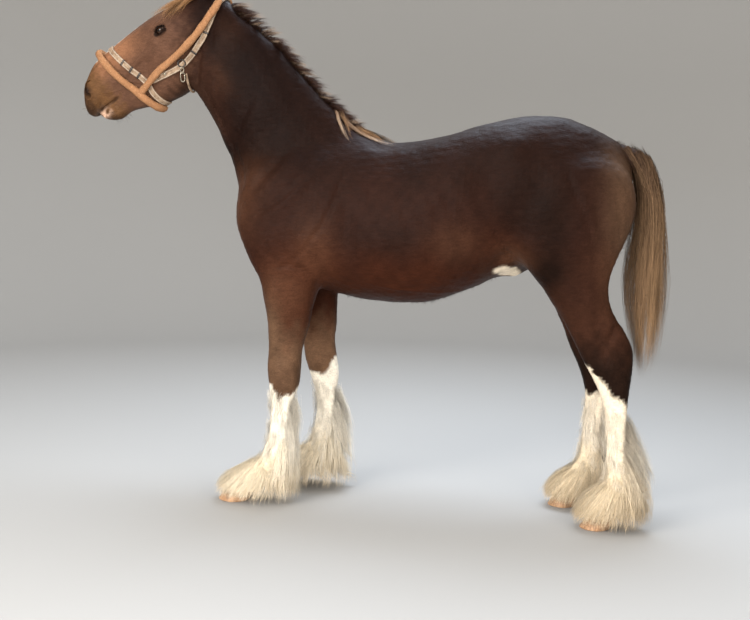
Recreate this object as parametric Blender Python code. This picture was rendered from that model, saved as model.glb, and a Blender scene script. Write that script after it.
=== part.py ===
"""A young shire horse, life size, standing with its near legs apart and its head up.

Metres, +Z up, the horse facing -X with its left side towards -Y. Lengths along the body are
measured from the plumb line through the withers, and CENTRE_X then moves the whole so that the
origin is on the floor at the middle of the box round it.
"""

import math

import bmesh
import bpy
import numpy as np
from mathutils import Vector
from mathutils.bvhtree import BVHTree

CENTRE_X = 0.060
# Everything above the fetlocks stands this much lower than its tables say.
CANNON_LESS = 0.014
CANNON_HEIGHTS = (0.06, 0.36)
GAP = 0.0003

HEAD_PITCH = math.radians(36.6)
POLL = (-0.72, 2.13)

VOXEL = 0.008
BLEND_STEPS = 50
RING_STEP = 0.02
RING_POINTS = 28
HAIR_STEP = 0.05

FORE_HALF_TRACK = 0.150
HIND_HALF_TRACK = 0.150
FAR_FORE_BACK = 0.125
FAR_HIND_FORWARD = 0.140
# Heights between which a far leg takes up its shift.
FORE_TOP = (1.0, 0.4)
HIND_TOP = (1.1, 0.0)
# Side (-1 near, +1 far) and how far that side's hooves stand back (+) or forward (-).
LEGS = [(-1, 0.0, 0.0), (1, FAR_FORE_BACK, -FAR_HIND_FORWARD)]


def clear_scene():
    for obj in list(bpy.data.objects):
        bpy.data.objects.remove(obj)


# Sections of the trunk, front to back: the outline point on the back and on the belly, then the
# half width, how square the section is, and how much wider it is below its middle.
TRUNK = [
    ((-0.585, 1.375), (-0.575, 1.200), 0.085, 2.0, 0.00),
    ((-0.540, 1.450), (-0.545, 1.060), 0.165, 2.1, 0.05),
    ((-0.430, 1.500), (-0.450, 0.985), 0.215, 2.2, 0.10),
    ((-0.280, 1.540), (-0.300, 0.930), 0.232, 2.2, 0.20),
    ((-0.110, 1.562), (-0.120, 0.885), 0.240, 2.1, 0.28),
    ((0.070, 1.528), (0.060, 0.866), 0.256, 2.1, 0.22),
    ((0.250, 1.553), (0.230, 0.874), 0.266, 2.2, 0.15),
    ((0.400, 1.598), (0.390, 0.930), 0.262, 2.2, 0.08),
    ((0.530, 1.632), (0.520, 0.992), 0.250, 2.2, 0.02),
    ((0.660, 1.648), (0.650, 1.030), 0.246, 2.2, -0.02),
    ((0.780, 1.633), (0.770, 1.050), 0.236, 2.1, 0.00),
    ((0.900, 1.583), (0.890, 1.080), 0.205, 2.1, 0.02),
    ((0.985, 1.532), (0.975, 1.150), 0.150, 2.0, 0.05),
    ((1.030, 1.460), (1.025, 1.260), 0.080, 2.0, 0.00),
]

# Sections of the neck from the chest to the poll: crest point, throat point, half width, and so on.
NECK = [
    ((0.020, 1.500), (-0.500, 1.080), 0.150, 2.0, 0.10),
    ((-0.070, 1.560), (-0.570, 1.190), 0.138, 2.0, 0.12),
    ((-0.150, 1.625), (-0.597, 1.300), 0.122, 2.0, 0.12),
    ((-0.245, 1.712), (-0.628, 1.410), 0.104, 2.0, 0.10),
    ((-0.345, 1.818), (-0.672, 1.505), 0.092, 2.0, 0.08),
    ((-0.450, 1.928), (-0.715, 1.595), 0.084, 2.0, 0.05),
    ((-0.560, 2.012), (-0.765, 1.675), 0.079, 2.0, 0.00),
    ((-0.660, 2.070), (-0.815, 1.745), 0.072, 2.0, 0.00),
]

# The skull and upper jaw in the head's own frame: distance from the poll along the face, height of
# the face line and of the palate, half width, squareness, and how much wider it is below.
SKULL = [
    (-0.035, -0.050, -0.170, 0.045, 2.0, 0.0),
    (0.010, 0.000, -0.205, 0.066, 2.1, 0.0),
    (0.080, 0.030, -0.225, 0.082, 2.1, 0.0),
    (0.160, 0.060, -0.230, 0.096, 2.2, -0.05),
    (0.240, 0.078, -0.225, 0.104, 2.2, -0.10),
    (0.320, 0.086, -0.210, 0.094, 2.2, -0.10),
    (0.400, 0.090, -0.185, 0.076, 2.2, 0.00),
    (0.480, 0.091, -0.162, 0.062, 2.2, 0.05),
    (0.550, 0.090, -0.143, 0.056, 2.2, 0.08),
    (0.610, 0.083, -0.128, 0.058, 2.2, 0.08),
    (0.660, 0.056, -0.116, 0.061, 2.2, 0.00),
    (0.705, 0.020, -0.108, 0.058, 2.2, -0.05),
    (0.734, -0.020, -0.102, 0.048, 2.1, 0.00),
    (0.752, -0.050, -0.092, 0.026, 2.0, 0.00),
]
MANDIBLE = [
    (0.215, -0.110, -0.210, 0.050, 2.0, 0.0),
    (0.265, -0.080, -0.250, 0.076, 2.1, 0.0),
    (0.330, -0.070, -0.262, 0.086, 2.2, 0.0),
    (0.400, -0.070, -0.254, 0.078, 2.2, 0.0),
    (0.470, -0.080, -0.235, 0.060, 2.2, -0.1),
    (0.540, -0.090, -0.204, 0.048, 2.1, -0.1),
    (0.595, -0.098, -0.178, 0.043, 2.0, 0.0),
    (0.640, -0.102, -0.180, 0.046, 2.0, 0.0),
    (0.680, -0.106, -0.162, 0.041, 2.0, 0.0),
    (0.705, -0.110, -0.138, 0.026, 2.0, 0.0),
]

# A near foreleg from the shoulder down: front point, back point, distance from the leg's own
# fore-and-aft plane (positive is inwards), half width, squareness, widening.
FORELEG = [
    ((-0.400, 1.420), (-0.150, 1.440), 0.060, 0.060, 2.0, 0.0),
    ((-0.520, 1.300), (-0.090, 1.320), 0.030, 0.094, 2.1, 0.0),
    ((-0.565, 1.180), (-0.095, 1.180), 0.020, 0.105, 2.2, 0.0),
    ((-0.520, 1.050), (-0.130, 1.050), 0.008, 0.098, 2.2, 0.0),
    ((-0.462, 0.950), (-0.195, 0.950), 0.000, 0.084, 2.2, 0.0),
    ((-0.437, 0.850), (-0.226, 0.855), 0.000, 0.070, 2.2, 0.0),
    ((-0.423, 0.750), (-0.246, 0.755), 0.002, 0.057, 2.2, 0.0),
    ((-0.418, 0.665), (-0.270, 0.670), 0.003, 0.050, 2.3, 0.0),
    ((-0.421, 0.585), (-0.276, 0.585), 0.002, 0.054, 2.5, 0.0),
    ((-0.413, 0.515), (-0.282, 0.515), 0.000, 0.048, 2.4, 0.0),
    ((-0.405, 0.440), (-0.308, 0.440), 0.000, 0.036, 2.2, 0.0),
    ((-0.409, 0.330), (-0.314, 0.330), 0.000, 0.035, 2.2, 0.0),
    ((-0.424, 0.255), (-0.316, 0.245), 0.000, 0.042, 2.2, 0.0),
    ((-0.448, 0.200), (-0.330, 0.172), 0.000, 0.047, 2.2, 0.0),
    ((-0.495, 0.155), (-0.372, 0.106), 0.000, 0.050, 2.2, 0.0),
    ((-0.548, 0.116), (-0.430, 0.055), 0.000, 0.060, 2.2, 0.0),
    ((-0.575, 0.080), (-0.460, 0.030), 0.000, 0.060, 2.2, 0.0),
]
HINDLEG = [
    ((0.640, 1.540), (0.900, 1.520), 0.060, 0.070, 2.0, 0.0),
    ((0.560, 1.430), (1.000, 1.430), 0.020, 0.112, 2.1, 0.0),
    ((0.535, 1.300), (1.045, 1.320), 0.010, 0.125, 2.2, 0.0),
    ((0.550, 1.170), (1.030, 1.200), 0.004, 0.122, 2.2, 0.0),
    ((0.610, 1.060), (0.985, 1.080), 0.000, 0.106, 2.2, 0.0),
    ((0.685, 0.975), (0.957, 0.985), 0.000, 0.088, 2.2, 0.0),
    ((0.755, 0.880), (0.972, 0.900), 0.000, 0.071, 2.2, 0.0),
    ((0.815, 0.780), (1.022, 0.815), 0.000, 0.058, 2.2, 0.0),
    ((0.862, 0.690), (1.062, 0.735), 0.000, 0.052, 2.2, 0.0),
    ((0.902, 0.625), (1.064, 0.660), 0.000, 0.052, 2.3, 0.0),
    ((0.935, 0.560), (1.058, 0.580), 0.000, 0.046, 2.3, 0.0),
    ((0.955, 0.500), (1.052, 0.505), 0.000, 0.038, 2.2, 0.0),
    ((0.964, 0.420), (1.053, 0.420), 0.000, 0.034, 2.2, 0.0),
    ((0.972, 0.320), (1.064, 0.320), 0.000, 0.034, 2.2, 0.0),
    ((0.975, 0.250), (1.080, 0.240), 0.000, 0.042, 2.2, 0.0),
    ((0.966, 0.195), (1.078, 0.168), 0.000, 0.046, 2.2, 0.0),
    ((0.930, 0.152), (1.042, 0.104), 0.000, 0.050, 2.2, 0.0),
    ((0.898, 0.116), (1.000, 0.055), 0.000, 0.060, 2.2, 0.0),
    ((0.885, 0.080), (0.980, 0.030), 0.000, 0.060, 2.2, 0.0),
]

# The fleshy part of the tail, from inside the croup down.
DOCK = [
    ((0.935, 1.550), (0.925, 1.460), 0.050, 2.0, 0.0),
    ((1.000, 1.530), (0.970, 1.440), 0.050, 2.0, 0.0),
    ((1.065, 1.500), (1.020, 1.425), 0.044, 2.0, 0.0),
    ((1.105, 1.440), (1.050, 1.400), 0.038, 2.0, 0.0),
    ((1.125, 1.360), (1.068, 1.350), 0.032, 2.0, 0.0),
    ((1.130, 1.260), (1.084, 1.260), 0.026, 2.0, 0.0),
    ((1.128, 1.160), (1.096, 1.160), 0.018, 2.0, 0.0),
]
# The tail's dense middle and the outer bounds of its hair: back point, front point, half width.
TAIL_CORE = [
    ((1.080, 1.470), (1.040, 1.400), 0.030, 2.0, 0.0),
    ((1.135, 1.350), (1.062, 1.320), 0.034, 2.0, 0.0),
    ((1.150, 1.200), (1.066, 1.200), 0.036, 2.0, 0.0),
    ((1.150, 1.050), (1.080, 1.060), 0.028, 2.0, 0.0),
    ((1.135, 0.980), (1.100, 0.990), 0.012, 2.0, 0.0),
]
TAIL_BOUNDS = [
    ((1.095, 1.470), (1.040, 1.400), 0.044, 2.0, 0.0),
    ((1.150, 1.360), (1.054, 1.330), 0.052, 2.0, 0.0),
    ((1.172, 1.240), (1.046, 1.230), 0.060, 2.0, 0.0),
    ((1.180, 1.100), (1.038, 1.100), 0.068, 2.0, 0.0),
    ((1.178, 0.950), (1.030, 0.950), 0.074, 2.0, 0.0),
    ((1.170, 0.820), (1.042, 0.810), 0.068, 2.0, 0.0),
    ((1.160, 0.700), (1.064, 0.700), 0.052, 2.0, 0.0),
    ((1.146, 0.600), (1.080, 0.600), 0.036, 2.0, 0.0),
]
TAIL_LINE = [(1.060, 1.455), (1.102, 1.340), (1.110, 1.230), (1.108, 1.000), (1.106, 0.600)]
# The outer bounds of a near leg's feather, and the line down the middle of leg and hair.
FORE_BOUNDS = [
    ((-0.418, 0.540), (-0.268, 0.520), 0.0, 0.046, 2.0, 0.0),
    ((-0.413, 0.450), (-0.268, 0.430), 0.0, 0.042, 2.0, 0.0),
    ((-0.414, 0.350), (-0.282, 0.340), 0.0, 0.044, 2.0, 0.0),
    ((-0.432, 0.270), (-0.282, 0.250), 0.0, 0.060, 2.0, 0.0),
    ((-0.466, 0.200), (-0.277, 0.170), 0.0, 0.082, 2.2, 0.0),
    ((-0.540, 0.146), (-0.276, 0.090), 0.0, 0.100, 2.3, 0.0),
    ((-0.612, 0.095), (-0.278, 0.010), 0.0, 0.108, 2.3, 0.0),
    ((-0.635, 0.030), (-0.300, -0.060), 0.0, 0.110, 2.3, 0.0),
]
HIND_BOUNDS = [
    ((0.940, 0.580), (1.070, 0.560), 0.0, 0.044, 2.0, 0.0),
    ((0.960, 0.480), (1.078, 0.460), 0.0, 0.040, 2.0, 0.0),
    ((0.970, 0.380), (1.110, 0.370), 0.0, 0.044, 2.0, 0.0),
    ((0.972, 0.280), (1.152, 0.280), 0.0, 0.058, 2.0, 0.0),
    ((0.952, 0.200), (1.164, 0.190), 0.0, 0.078, 2.2, 0.0),
    ((0.900, 0.140), (1.160, 0.090), 0.0, 0.094, 2.3, 0.0),
    ((0.868, 0.085), (1.140, 0.010), 0.0, 0.100, 2.3, 0.0),
    ((0.860, 0.030), (1.100, -0.060), 0.0, 0.102, 2.3, 0.0),
]
# Down the back of the cannon the hair hangs straight from the fetlock; round the hoof it stands
# about the hoof's own middle.
FORE_LINE = [(-0.350, 0.520), (-0.358, 0.340), (-0.364, 0.250), (-0.380, 0.180), (-0.395, 0.110),
             (-0.400, 0.000)]
HIND_LINE = [(1.004, 0.560), (1.010, 0.340), (1.030, 0.250), (1.042, 0.180), (1.045, 0.110), (1.045, 0.000)]
FORE_RING = [(-0.430, 0.180), (-0.480, 0.110), (-0.520, 0.060), (-0.540, 0.000)]
HIND_RING = [(1.010, 0.180), (0.980, 0.110), (0.955, 0.060), (0.945, 0.000)]
FORE_LINES, HIND_LINES = (FORE_LINE, FORE_RING), (HIND_LINE, HIND_RING)
MANE_CREST = [(-0.628, 2.080), (-0.545, 2.015), (-0.440, 1.920), (-0.340, 1.812), (-0.250, 1.718),
              (-0.160, 1.640), (-0.070, 1.575)]
# The off fore's feather is the fullest of the four.
FAR_FEATHER_MORE = 0.045
# Numbers of locks, and the seed for their small differences.
TAIL_LOCKS = 13
MANE_LOCKS = 12
FORELOCK_LOCKS = 5
FEATHER_LOCKS = 11
CORONET_LOCKS = 5
SEED = 11


# Eyes, in the head's frame: centre (along the face, side, height), ball radius, and the gaze.
EYE_AT = (0.256, 0.093, -0.016)
EYE_RADIUS = 0.021
LID = 0.0040
EYE_GAZE = (0.34, 0.93, 0.12)
EYE_OPENING = (0.040, 0.026)

# Ears: base in the head's frame, length, and how they lean (forwards, outwards) for each metre up.
EAR_BASE = (0.030, 0.052, -0.010)
EAR_LENGTH = 0.178
EAR_LEAN = (0.10, 0.20)
EAR_WALL = 0.0055

# How far a strap's inner face lies off the skin, and the length of its straight pieces.
STRAP_CLEAR = 0.0040
STRAP_STEP = 0.035

# Hooves: toe's x, half length, half width at the floor, height of the coronet at toe and heel.
FORE_HOOF = (-0.626, 0.074, 0.068, 0.086, 0.046)
HIND_HOOF = (0.882, 0.068, 0.060, 0.082, 0.046)
TOE_SLOPE = 0.75

COLOURS = {
    "coat": ((0.095, 0.040, 0.022), 0.55),
    "white": ((0.78, 0.73, 0.66), 0.70),
    "hoof": ((0.50, 0.38, 0.27), 0.45),
    "eye": ((0.012, 0.008, 0.006), 0.05),
    "tail": ((0.30, 0.20, 0.11), 0.60),
    "fleece": ((0.62, 0.34, 0.16), 0.90),
    "webbing": ((0.42, 0.40, 0.37), 0.75),
}


# The cuts between nodes, seen from the side, and how much higher a leg's cut runs on its outside.
NECK_CUT = ((-0.610, 2.135), (-0.768, 1.620))
SHOULDER_CUT = ((0.040, 1.658), (-0.700, 1.195))
ELBOW_CUT = ((-0.560, 0.925), (-0.090, 0.935))
STIFLE_CUT = ((0.540, 0.975), (1.110, 1.110))
LEG_CUT_RISE = 0.5
KNEE_Z = 0.500
HOCK_Z = 0.560

# The line of the mouth (along the face, height) and the middle of a nostril.
MOUTH = [(0.590, -0.106), (0.625, -0.106), (0.665, -0.102), (0.700, -0.104), (0.735, -0.108)]
NOSTRIL = (0.708, 0.046, -0.008)

# The halter's routes in the head's frame (along the face, side, height), left half first.
FLEECE_NOSE = [(0.560, 0, 0.11), (0.552, -0.050, 0.05), (0.540, -0.066, -0.014), (0.519, -0.064, -0.091),
               (0.493, -0.060, -0.165), (0.470, -0.030, -0.235), (0.465, 0, -0.25)]
FLEECE_CHEEK = [(0.493, -0.066, -0.162), (0.413, -0.085, -0.151), (0.325, -0.104, -0.145),
                (0.225, -0.103, -0.136), (0.144, -0.10, -0.121), (0.072, -0.09, -0.097),
                (0.008, -0.067, -0.071), (-0.022, 0, -0.03)]
WEB_NOSE = [(0.505, 0, 0.11), (0.500, -0.048, 0.06), (0.491, -0.061, 0.018), (0.470, -0.070, -0.05),
            (0.449, -0.070, -0.123), (0.440, -0.070, -0.150)]
WEB_CHEEK = [(0.425, -0.075, -0.150), (0.340, -0.100, -0.175), (0.256, -0.090, -0.183),
             (0.156, -0.093, -0.156), (0.080, -0.088, -0.116), (0.004, -0.060, -0.063), (-0.004, 0, -0.06)]
WEB_CHIN = [(0.442, -0.075, -0.150), (0.448, -0.064, -0.195), (0.440, -0.035, -0.245), (0.435, 0, -0.255)]
WEB_THROAT = [(0.262, -0.085, -0.195), (0.292, -0.065, -0.236), (0.315, -0.030, -0.270), (0.320, 0, -0.275)]

# Each strap's left half, half width and thickness, the ones against the skin first.
STRAPS = {
    "webbing_nose": (WEB_NOSE, 0.0130, 0.0045),
    "webbing_cheek": (WEB_CHEEK, 0.0125, 0.0045),
    "webbing_chin": (WEB_CHIN, 0.0125, 0.0045),
    "webbing_throat": (WEB_THROAT, 0.0100, 0.0045),
    "fleece_nose": (FLEECE_NOSE, 0.0140, 0.0130),
    "fleece_cheek": (FLEECE_CHEEK, 0.0140, 0.0130),
}

# The colour of each node: the first word here that its name holds.
PAINTS = [
    ("hoof", "hoof"), ("eye", "eye"), ("lower", "white"), ("tail", "tail"),
    ("fleece", "fleece"), ("webbing", "webbing"), ("", "coat"),
]
NAMES = {-1: "left", 1: "right"}

# Soft swellings (+) and hollows (-) of the trunk: centre on one side, half lengths along the body,
# across and up, pitch towards the front in degrees, and height.
MUSCLES = [
    ((-0.560, 0.100, 1.200), (0.080, 0.080, 0.085), 0, 0.016),
    ((-0.585, 0.045, 1.230), (0.080, 0.040, 0.100), 0, 0.016),
    ((-0.590, 0.000, 1.160), (0.100, 0.018, 0.120), 0, -0.014),
    ((-0.230, 0.210, 1.110), (0.120, 0.100, 0.120), 20, 0.020),
    ((-0.290, 0.190, 1.340), (0.220, 0.090, 0.050), -52, 0.012),
    ((-0.440, 0.150, 1.380), (0.200, 0.080, 0.035), -52, -0.014),
    ((-0.075, 0.240, 1.170), (0.060, 0.100, 0.200), 0, -0.010),
    ((0.030, 0.090, 1.530), (0.120, 0.050, 0.050), 0, -0.010),
    ((0.160, 0.260, 1.120), (0.280, 0.120, 0.190), 0, 0.010),
    ((0.470, 0.240, 1.370), (0.100, 0.100, 0.120), 0, -0.014),
    ((0.560, 0.200, 1.510), (0.090, 0.080, 0.080), 0, 0.014),
    ((0.620, 0.210, 1.120), (0.080, 0.090, 0.070), 0, 0.012),
    ((0.545, 0.190, 1.075), (0.080, 0.090, 0.045), -30, -0.010),
    ((0.585, 0.000, 1.005), (0.070, 0.045, 0.050), 0, 0.022),
    ((0.800, 0.110, 1.600), (0.160, 0.070, 0.080), 0, 0.008),
    ((0.780, 0.000, 1.650), (0.260, 0.020, 0.080), 0, -0.008),
    ((1.000, 0.130, 1.300), (0.060, 0.090, 0.160), 0, 0.010),
    ((0.915, 0.240, 1.230), (0.170, 0.080, 0.035), 72, -0.008),
    ((-0.630, 0.100, 1.480), (0.260, 0.080, 0.024), -62, -0.010),
    ((-0.420, 0.100, 1.700), (0.260, 0.060, 0.090), -42, 0.008),
]
# The same on a near foreleg and hind leg, with the side measured from the leg's own middle.
FORE_MUSCLES = [
    ((-0.385, 0.070, 0.880), (0.050, 0.060, 0.090), 0, 0.010),
    ((-0.350, 0.055, 0.580), (0.050, 0.050, 0.040), 0, 0.005),
    ((-0.345, 0.036, 0.400), (0.011, 0.030, 0.110), 0, -0.007),
    ((-0.372, 0.045, 0.222), (0.040, 0.040, 0.035), 0, 0.004),
]
HIND_MUSCLES = [
    ((0.840, 0.075, 0.920), (0.070, 0.070, 0.100), -25, 0.010),
    ((0.985, 0.050, 0.810), (0.022, 0.060, 0.080), 25, -0.010),
    ((0.975, 0.050, 0.665), (0.050, 0.050, 0.045), 0, 0.005),
    ((1.012, 0.036, 0.400), (0.011, 0.030, 0.110), 0, -0.007),
    ((1.025, 0.045, 0.215), (0.040, 0.040, 0.035), 0, 0.004),
]
# On the head, in its own frame: distance along the face, side, height.
HEAD_FORMS = [
    ((0.245, 0.110, 0.018), (0.048, 0.035, 0.026), 0, 0.016),
    ((0.255, 0.115, -0.040), (0.040, 0.035, 0.016), 0, 0.004),
    ((0.150, 0.085, 0.030), (0.035, 0.040, 0.028), 0, -0.012),
    ((0.335, 0.095, -0.145), (0.075, 0.040, 0.080), 0, 0.012),
    ((0.420, 0.080, -0.045), (0.130, 0.030, 0.018), 6, 0.008),
    ((0.470, 0.060, 0.020), (0.090, 0.030, 0.030), 0, -0.005),
    ((0.540, 0.055, -0.060), (0.060, 0.030, 0.040), 0, 0.004),
    ((0.668, 0.062, 0.022), (0.040, 0.030, 0.022), 25, 0.012),
    ((0.690, 0.060, -0.070), (0.040, 0.040, 0.026), 0, 0.006),
    ((0.610, 0.045, -0.150), (0.050, 0.030, 0.014), 0, -0.006),
    ((0.520, 0.000, -0.210), (0.160, 0.022, 0.030), 0, -0.012),
]


def head_point(s, n):
    """The side-view place of a point s along the face from the poll and n above the head's axis."""
    c, d = math.cos(HEAD_PITCH), math.sin(HEAD_PITCH)
    return (POLL[0] - s * c - n * d, POLL[1] - s * d + n * c)


def spline(rows, steps_per_metre):
    """Catmull-Rom through the rows by chord length, sampled evenly."""
    rows = np.asarray(rows, float)
    middle = (rows[:, 0:2] + rows[:, 2:4]) / 2
    at = np.concatenate([[0], np.cumsum(np.linalg.norm(np.diff(middle, axis=0), axis=1))])
    count = max(len(rows), int(at[-1] * steps_per_metre))
    slope = np.gradient(rows, at, axis=0)
    want = np.linspace(0, at[-1], count)
    k = np.clip(np.searchsorted(at, want, side="right") - 1, 0, len(rows) - 2)
    h = (at[k + 1] - at[k])[:, None]
    t = ((want - at[k]) / (at[k + 1] - at[k]))[:, None]
    return (
        (2 * t**3 - 3 * t**2 + 1) * rows[k]
        + (t**3 - 2 * t**2 + t) * h * slope[k]
        + (3 * t**2 - 2 * t**3) * rows[k + 1]
        + (t**3 - t**2) * h * slope[k + 1]
    )


def loft(rows, y=0.0, points=RING_POINTS, step=RING_STEP):
    """Rings through section rows (a, b, offset, half width, power, egg), closed by end fans.

    a and b are the section's two outline points seen from the side. The ring is a superellipse of
    that power between them, and egg makes its lower half wider and its upper half narrower.
    """
    flat = [(*a, *b, *rest) for a, b, *rest in rows]
    fine = spline(flat, 1 / step)
    turn = np.linspace(0, 2 * math.pi, points, endpoint=False)
    c, s = np.cos(turn), np.sin(turn)
    power = fine[:, 6:7]
    up = np.sign(c) * np.abs(c) ** (2 / power)
    side = np.sign(s) * np.abs(s) ** (2 / power)
    half = (fine[:, 0:2] - fine[:, 2:4]) / 2
    mid = (fine[:, 0:2] + fine[:, 2:4]) / 2
    wide = fine[:, 5:6] * (1 - fine[:, 7:8] * up)
    return np.stack(
        [
            mid[:, 0:1] + up * half[:, 0:1],
            y + fine[:, 4:5] + side * wide,
            mid[:, 1:2] + up * half[:, 1:2],
        ],
        axis=2,
    )


def add_rings(bm, rings):
    """Skins a stack of rings and closes both ends with a fan to the ring's middle."""
    rows = [[bm.verts.new(p) for p in ring] for ring in rings]
    count = len(rows[0])
    for low, high in zip(rows, rows[1:]):
        for i in range(count):
            j = (i + 1) % count
            bm.faces.new((low[i], low[j], high[j], high[i]))
    for row, ring in ((rows[0][::-1], rings[0]), (rows[-1], rings[-1])):
        tip = bm.verts.new(ring.mean(axis=0))
        for i in range(count):
            bm.faces.new((row[i], row[(i + 1) % count], tip))


def new_object(name, bm):
    bm.normal_update()
    bmesh.ops.recalc_face_normals(bm, faces=bm.faces)
    mesh = bpy.data.meshes.new(name)
    bm.to_mesh(mesh)
    bm.free()
    obj = bpy.data.objects.new(name, mesh)
    bpy.context.scene.collection.objects.link(obj)
    return obj


def with_offset(rows):
    """Rows of a form on the middle plane get a sideways offset of none."""
    return [(a, b, 0.0, *rest) for a, b, *rest in rows]


def head_rows(rows):
    return [(head_point(s, top), head_point(s, low), 0.0, *rest) for s, top, low, *rest in rows]


def slant(x, z, shift, heights):
    """A far leg's points move by shift at the lower height, and less and less up to the higher."""
    high, low = heights
    return x + shift * np.clip((high - z) / (high - low), 0.0, 1.0)


def leg_rows(rows, side, shift, top):
    """A leg's rows for one side (-1 near, +1 far)."""
    return [
        (*((float(slant(x, z, shift, top)), z) for x, z in (a, b)), -side * inwards, *rest)
        for a, b, inwards, *rest in rows
    ]


def fuller(rows, more):
    """Hair bounds whose rear reaches further back, by more from the fetlock down."""
    return [(a, (b[0] + more * float(1 - ramp(b[1], 0.2, 0.5)), b[1]), *rest) for a, b, *rest in rows]


def evaluated(obj):
    """Applies the object's modifiers to its mesh."""
    graph = bpy.context.evaluated_depsgraph_get()
    mesh = bpy.data.meshes.new_from_object(obj.evaluated_get(graph))
    obj.modifiers.clear()
    obj.data = mesh
    return obj


def points_of(obj):
    co = np.empty(len(obj.data.vertices) * 3, np.float32)
    obj.data.vertices.foreach_get("co", co)
    return co.reshape(-1, 3).astype(float)


def normals_of(obj):
    no = np.empty(len(obj.data.vertices) * 3, np.float32)
    obj.data.vertices.foreach_get("normal", no)
    return no.reshape(-1, 3).astype(float)


def swell(points, centre, radii, pitch):
    """How much of a swelling each point gets: 1 at its centre, and almost 0 at its half lengths."""
    d = points - centre
    c, s = math.cos(math.radians(pitch)), math.sin(math.radians(pitch))
    along = d[:, 0] * c - d[:, 2] * s
    up = d[:, 0] * s + d[:, 2] * c
    q = (along / radii[0]) ** 2 + (d[:, 1] / radii[1]) ** 2 + (up / radii[2]) ** 2
    return np.exp(-2.0 * q)


def sculpt(obj):
    """Moves the skin along its normals by every swelling and hollow, on both sides."""
    points, normals = points_of(obj), normals_of(obj)
    lift = np.zeros(len(points))
    head_tilt = -math.degrees(HEAD_PITCH)
    for side, fore_shift, hind_shift in LEGS:
        for (x, y, z), radii, pitch, height in MUSCLES:
            if y > 0 or side > 0:
                lift += height * swell(points, (x, side * y, z), radii, pitch)
        for forms, shift, top, track in (
            (FORE_MUSCLES, fore_shift, FORE_TOP, FORE_HALF_TRACK),
            (HIND_MUSCLES, hind_shift, HIND_TOP, HIND_HALF_TRACK),
        ):
            for (x, y, z), radii, pitch, height in forms:
                for face in (-1, 1):
                    centre = (float(slant(x, z, shift, top)), side * track + face * y, z)
                    lift += height * swell(points, centre, radii, pitch)
        for (s, y, n), radii, pitch, height in HEAD_FORMS:
            if y > 0 or side > 0:
                x, z = head_point(s, n)
                lift += height * swell(points, (x, side * y, z), radii, head_tilt + pitch)
    obj.data.vertices.foreach_set("co", (points + normals * lift[:, None]).astype(np.float32).ravel())
    obj.data.update()


def weight_group(obj, name, weights):
    """A vertex group holding these weights, rounded to tenths."""
    group = obj.vertex_groups.new(name=name)
    tenths = np.round(weights * 10).astype(int)
    for level in range(1, 11):
        members = np.nonzero(tenths == level)[0]
        if len(members):
            group.add(members.tolist(), level / 10, "REPLACE")
    return group


def ramp(value, low, high):
    """0 below low, 1 above high, and smooth between."""
    t = np.clip((value - low) / (high - low), 0, 1)
    return t * t * (3 - 2 * t)


def whole_flesh():
    """The body without ears, hooves and hair, as one smooth closed surface."""
    bm = bmesh.new()
    add_rings(bm, loft(with_offset(TRUNK), points=48))
    add_rings(bm, loft(with_offset(NECK), points=40))
    add_rings(bm, loft(head_rows(SKULL), points=40))
    add_rings(bm, loft(head_rows(MANDIBLE), points=32))
    for side, fore_shift, hind_shift in LEGS:
        fore = leg_rows(FORELEG, side, fore_shift, FORE_TOP)
        hind = leg_rows(HINDLEG, side, hind_shift, HIND_TOP)
        add_rings(bm, loft(fore, side * FORE_HALF_TRACK))
        add_rings(bm, loft(hind, side * HIND_HALF_TRACK))
    flesh = new_object("flesh", bm)
    remesh = flesh.modifiers.new("skin", "REMESH")
    remesh.mode = "VOXEL"
    remesh.voxel_size = VOXEL
    evaluated(flesh)
    points = points_of(flesh)
    trunk = ramp(points[:, 2], 0.85, 1.05) * ramp(points[:, 0], -0.80, -0.60)
    weight_group(flesh, "trunk", trunk * (1 - ramp(points[:, 0], 1.03, 1.06)))
    broad = flesh.modifiers.new("blend", "SMOOTH")
    broad.factor, broad.iterations, broad.vertex_group = 0.8, BLEND_STEPS, "trunk"
    soften = flesh.modifiers.new("soften", "SMOOTH")
    soften.factor, soften.iterations = 0.5, 8
    evaluated(flesh)
    sculpt(flesh)
    return flesh


def thin_out(flesh, wanted):
    """Collapses edges until each region, given by its weights, has about its number of triangles."""
    bm = bmesh.new()
    bm.from_mesh(flesh.data)
    bmesh.ops.triangulate(bm, faces=bm.faces)
    bm.to_mesh(flesh.data)
    bm.free()
    for name, inside, target in wanted:
        points = points_of(flesh)
        member = inside(points)
        corners = np.empty(len(flesh.data.polygons) * 3, np.int32)
        flesh.data.polygons.foreach_get("vertices", corners)
        own = member[corners.reshape(-1, 3)].all(axis=1).sum()
        total = len(flesh.data.polygons)
        flesh.vertex_groups.clear()
        weight_group(flesh, name, member.astype(float))
        thin = flesh.modifiers.new(name, "DECIMATE")
        thin.vertex_group = name
        thin.vertex_group_factor = 0.01
        thin.ratio = (total - own + target) / total
        evaluated(flesh)


def in_head(points):
    return (points[:, 0] < -0.70) & (points[:, 2] > 1.52)


def in_limbs(points):
    return (points[:, 2] < 0.86) & ~in_head(points)


def in_trunk(points):
    return ~in_head(points) & ~in_limbs(points)


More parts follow.
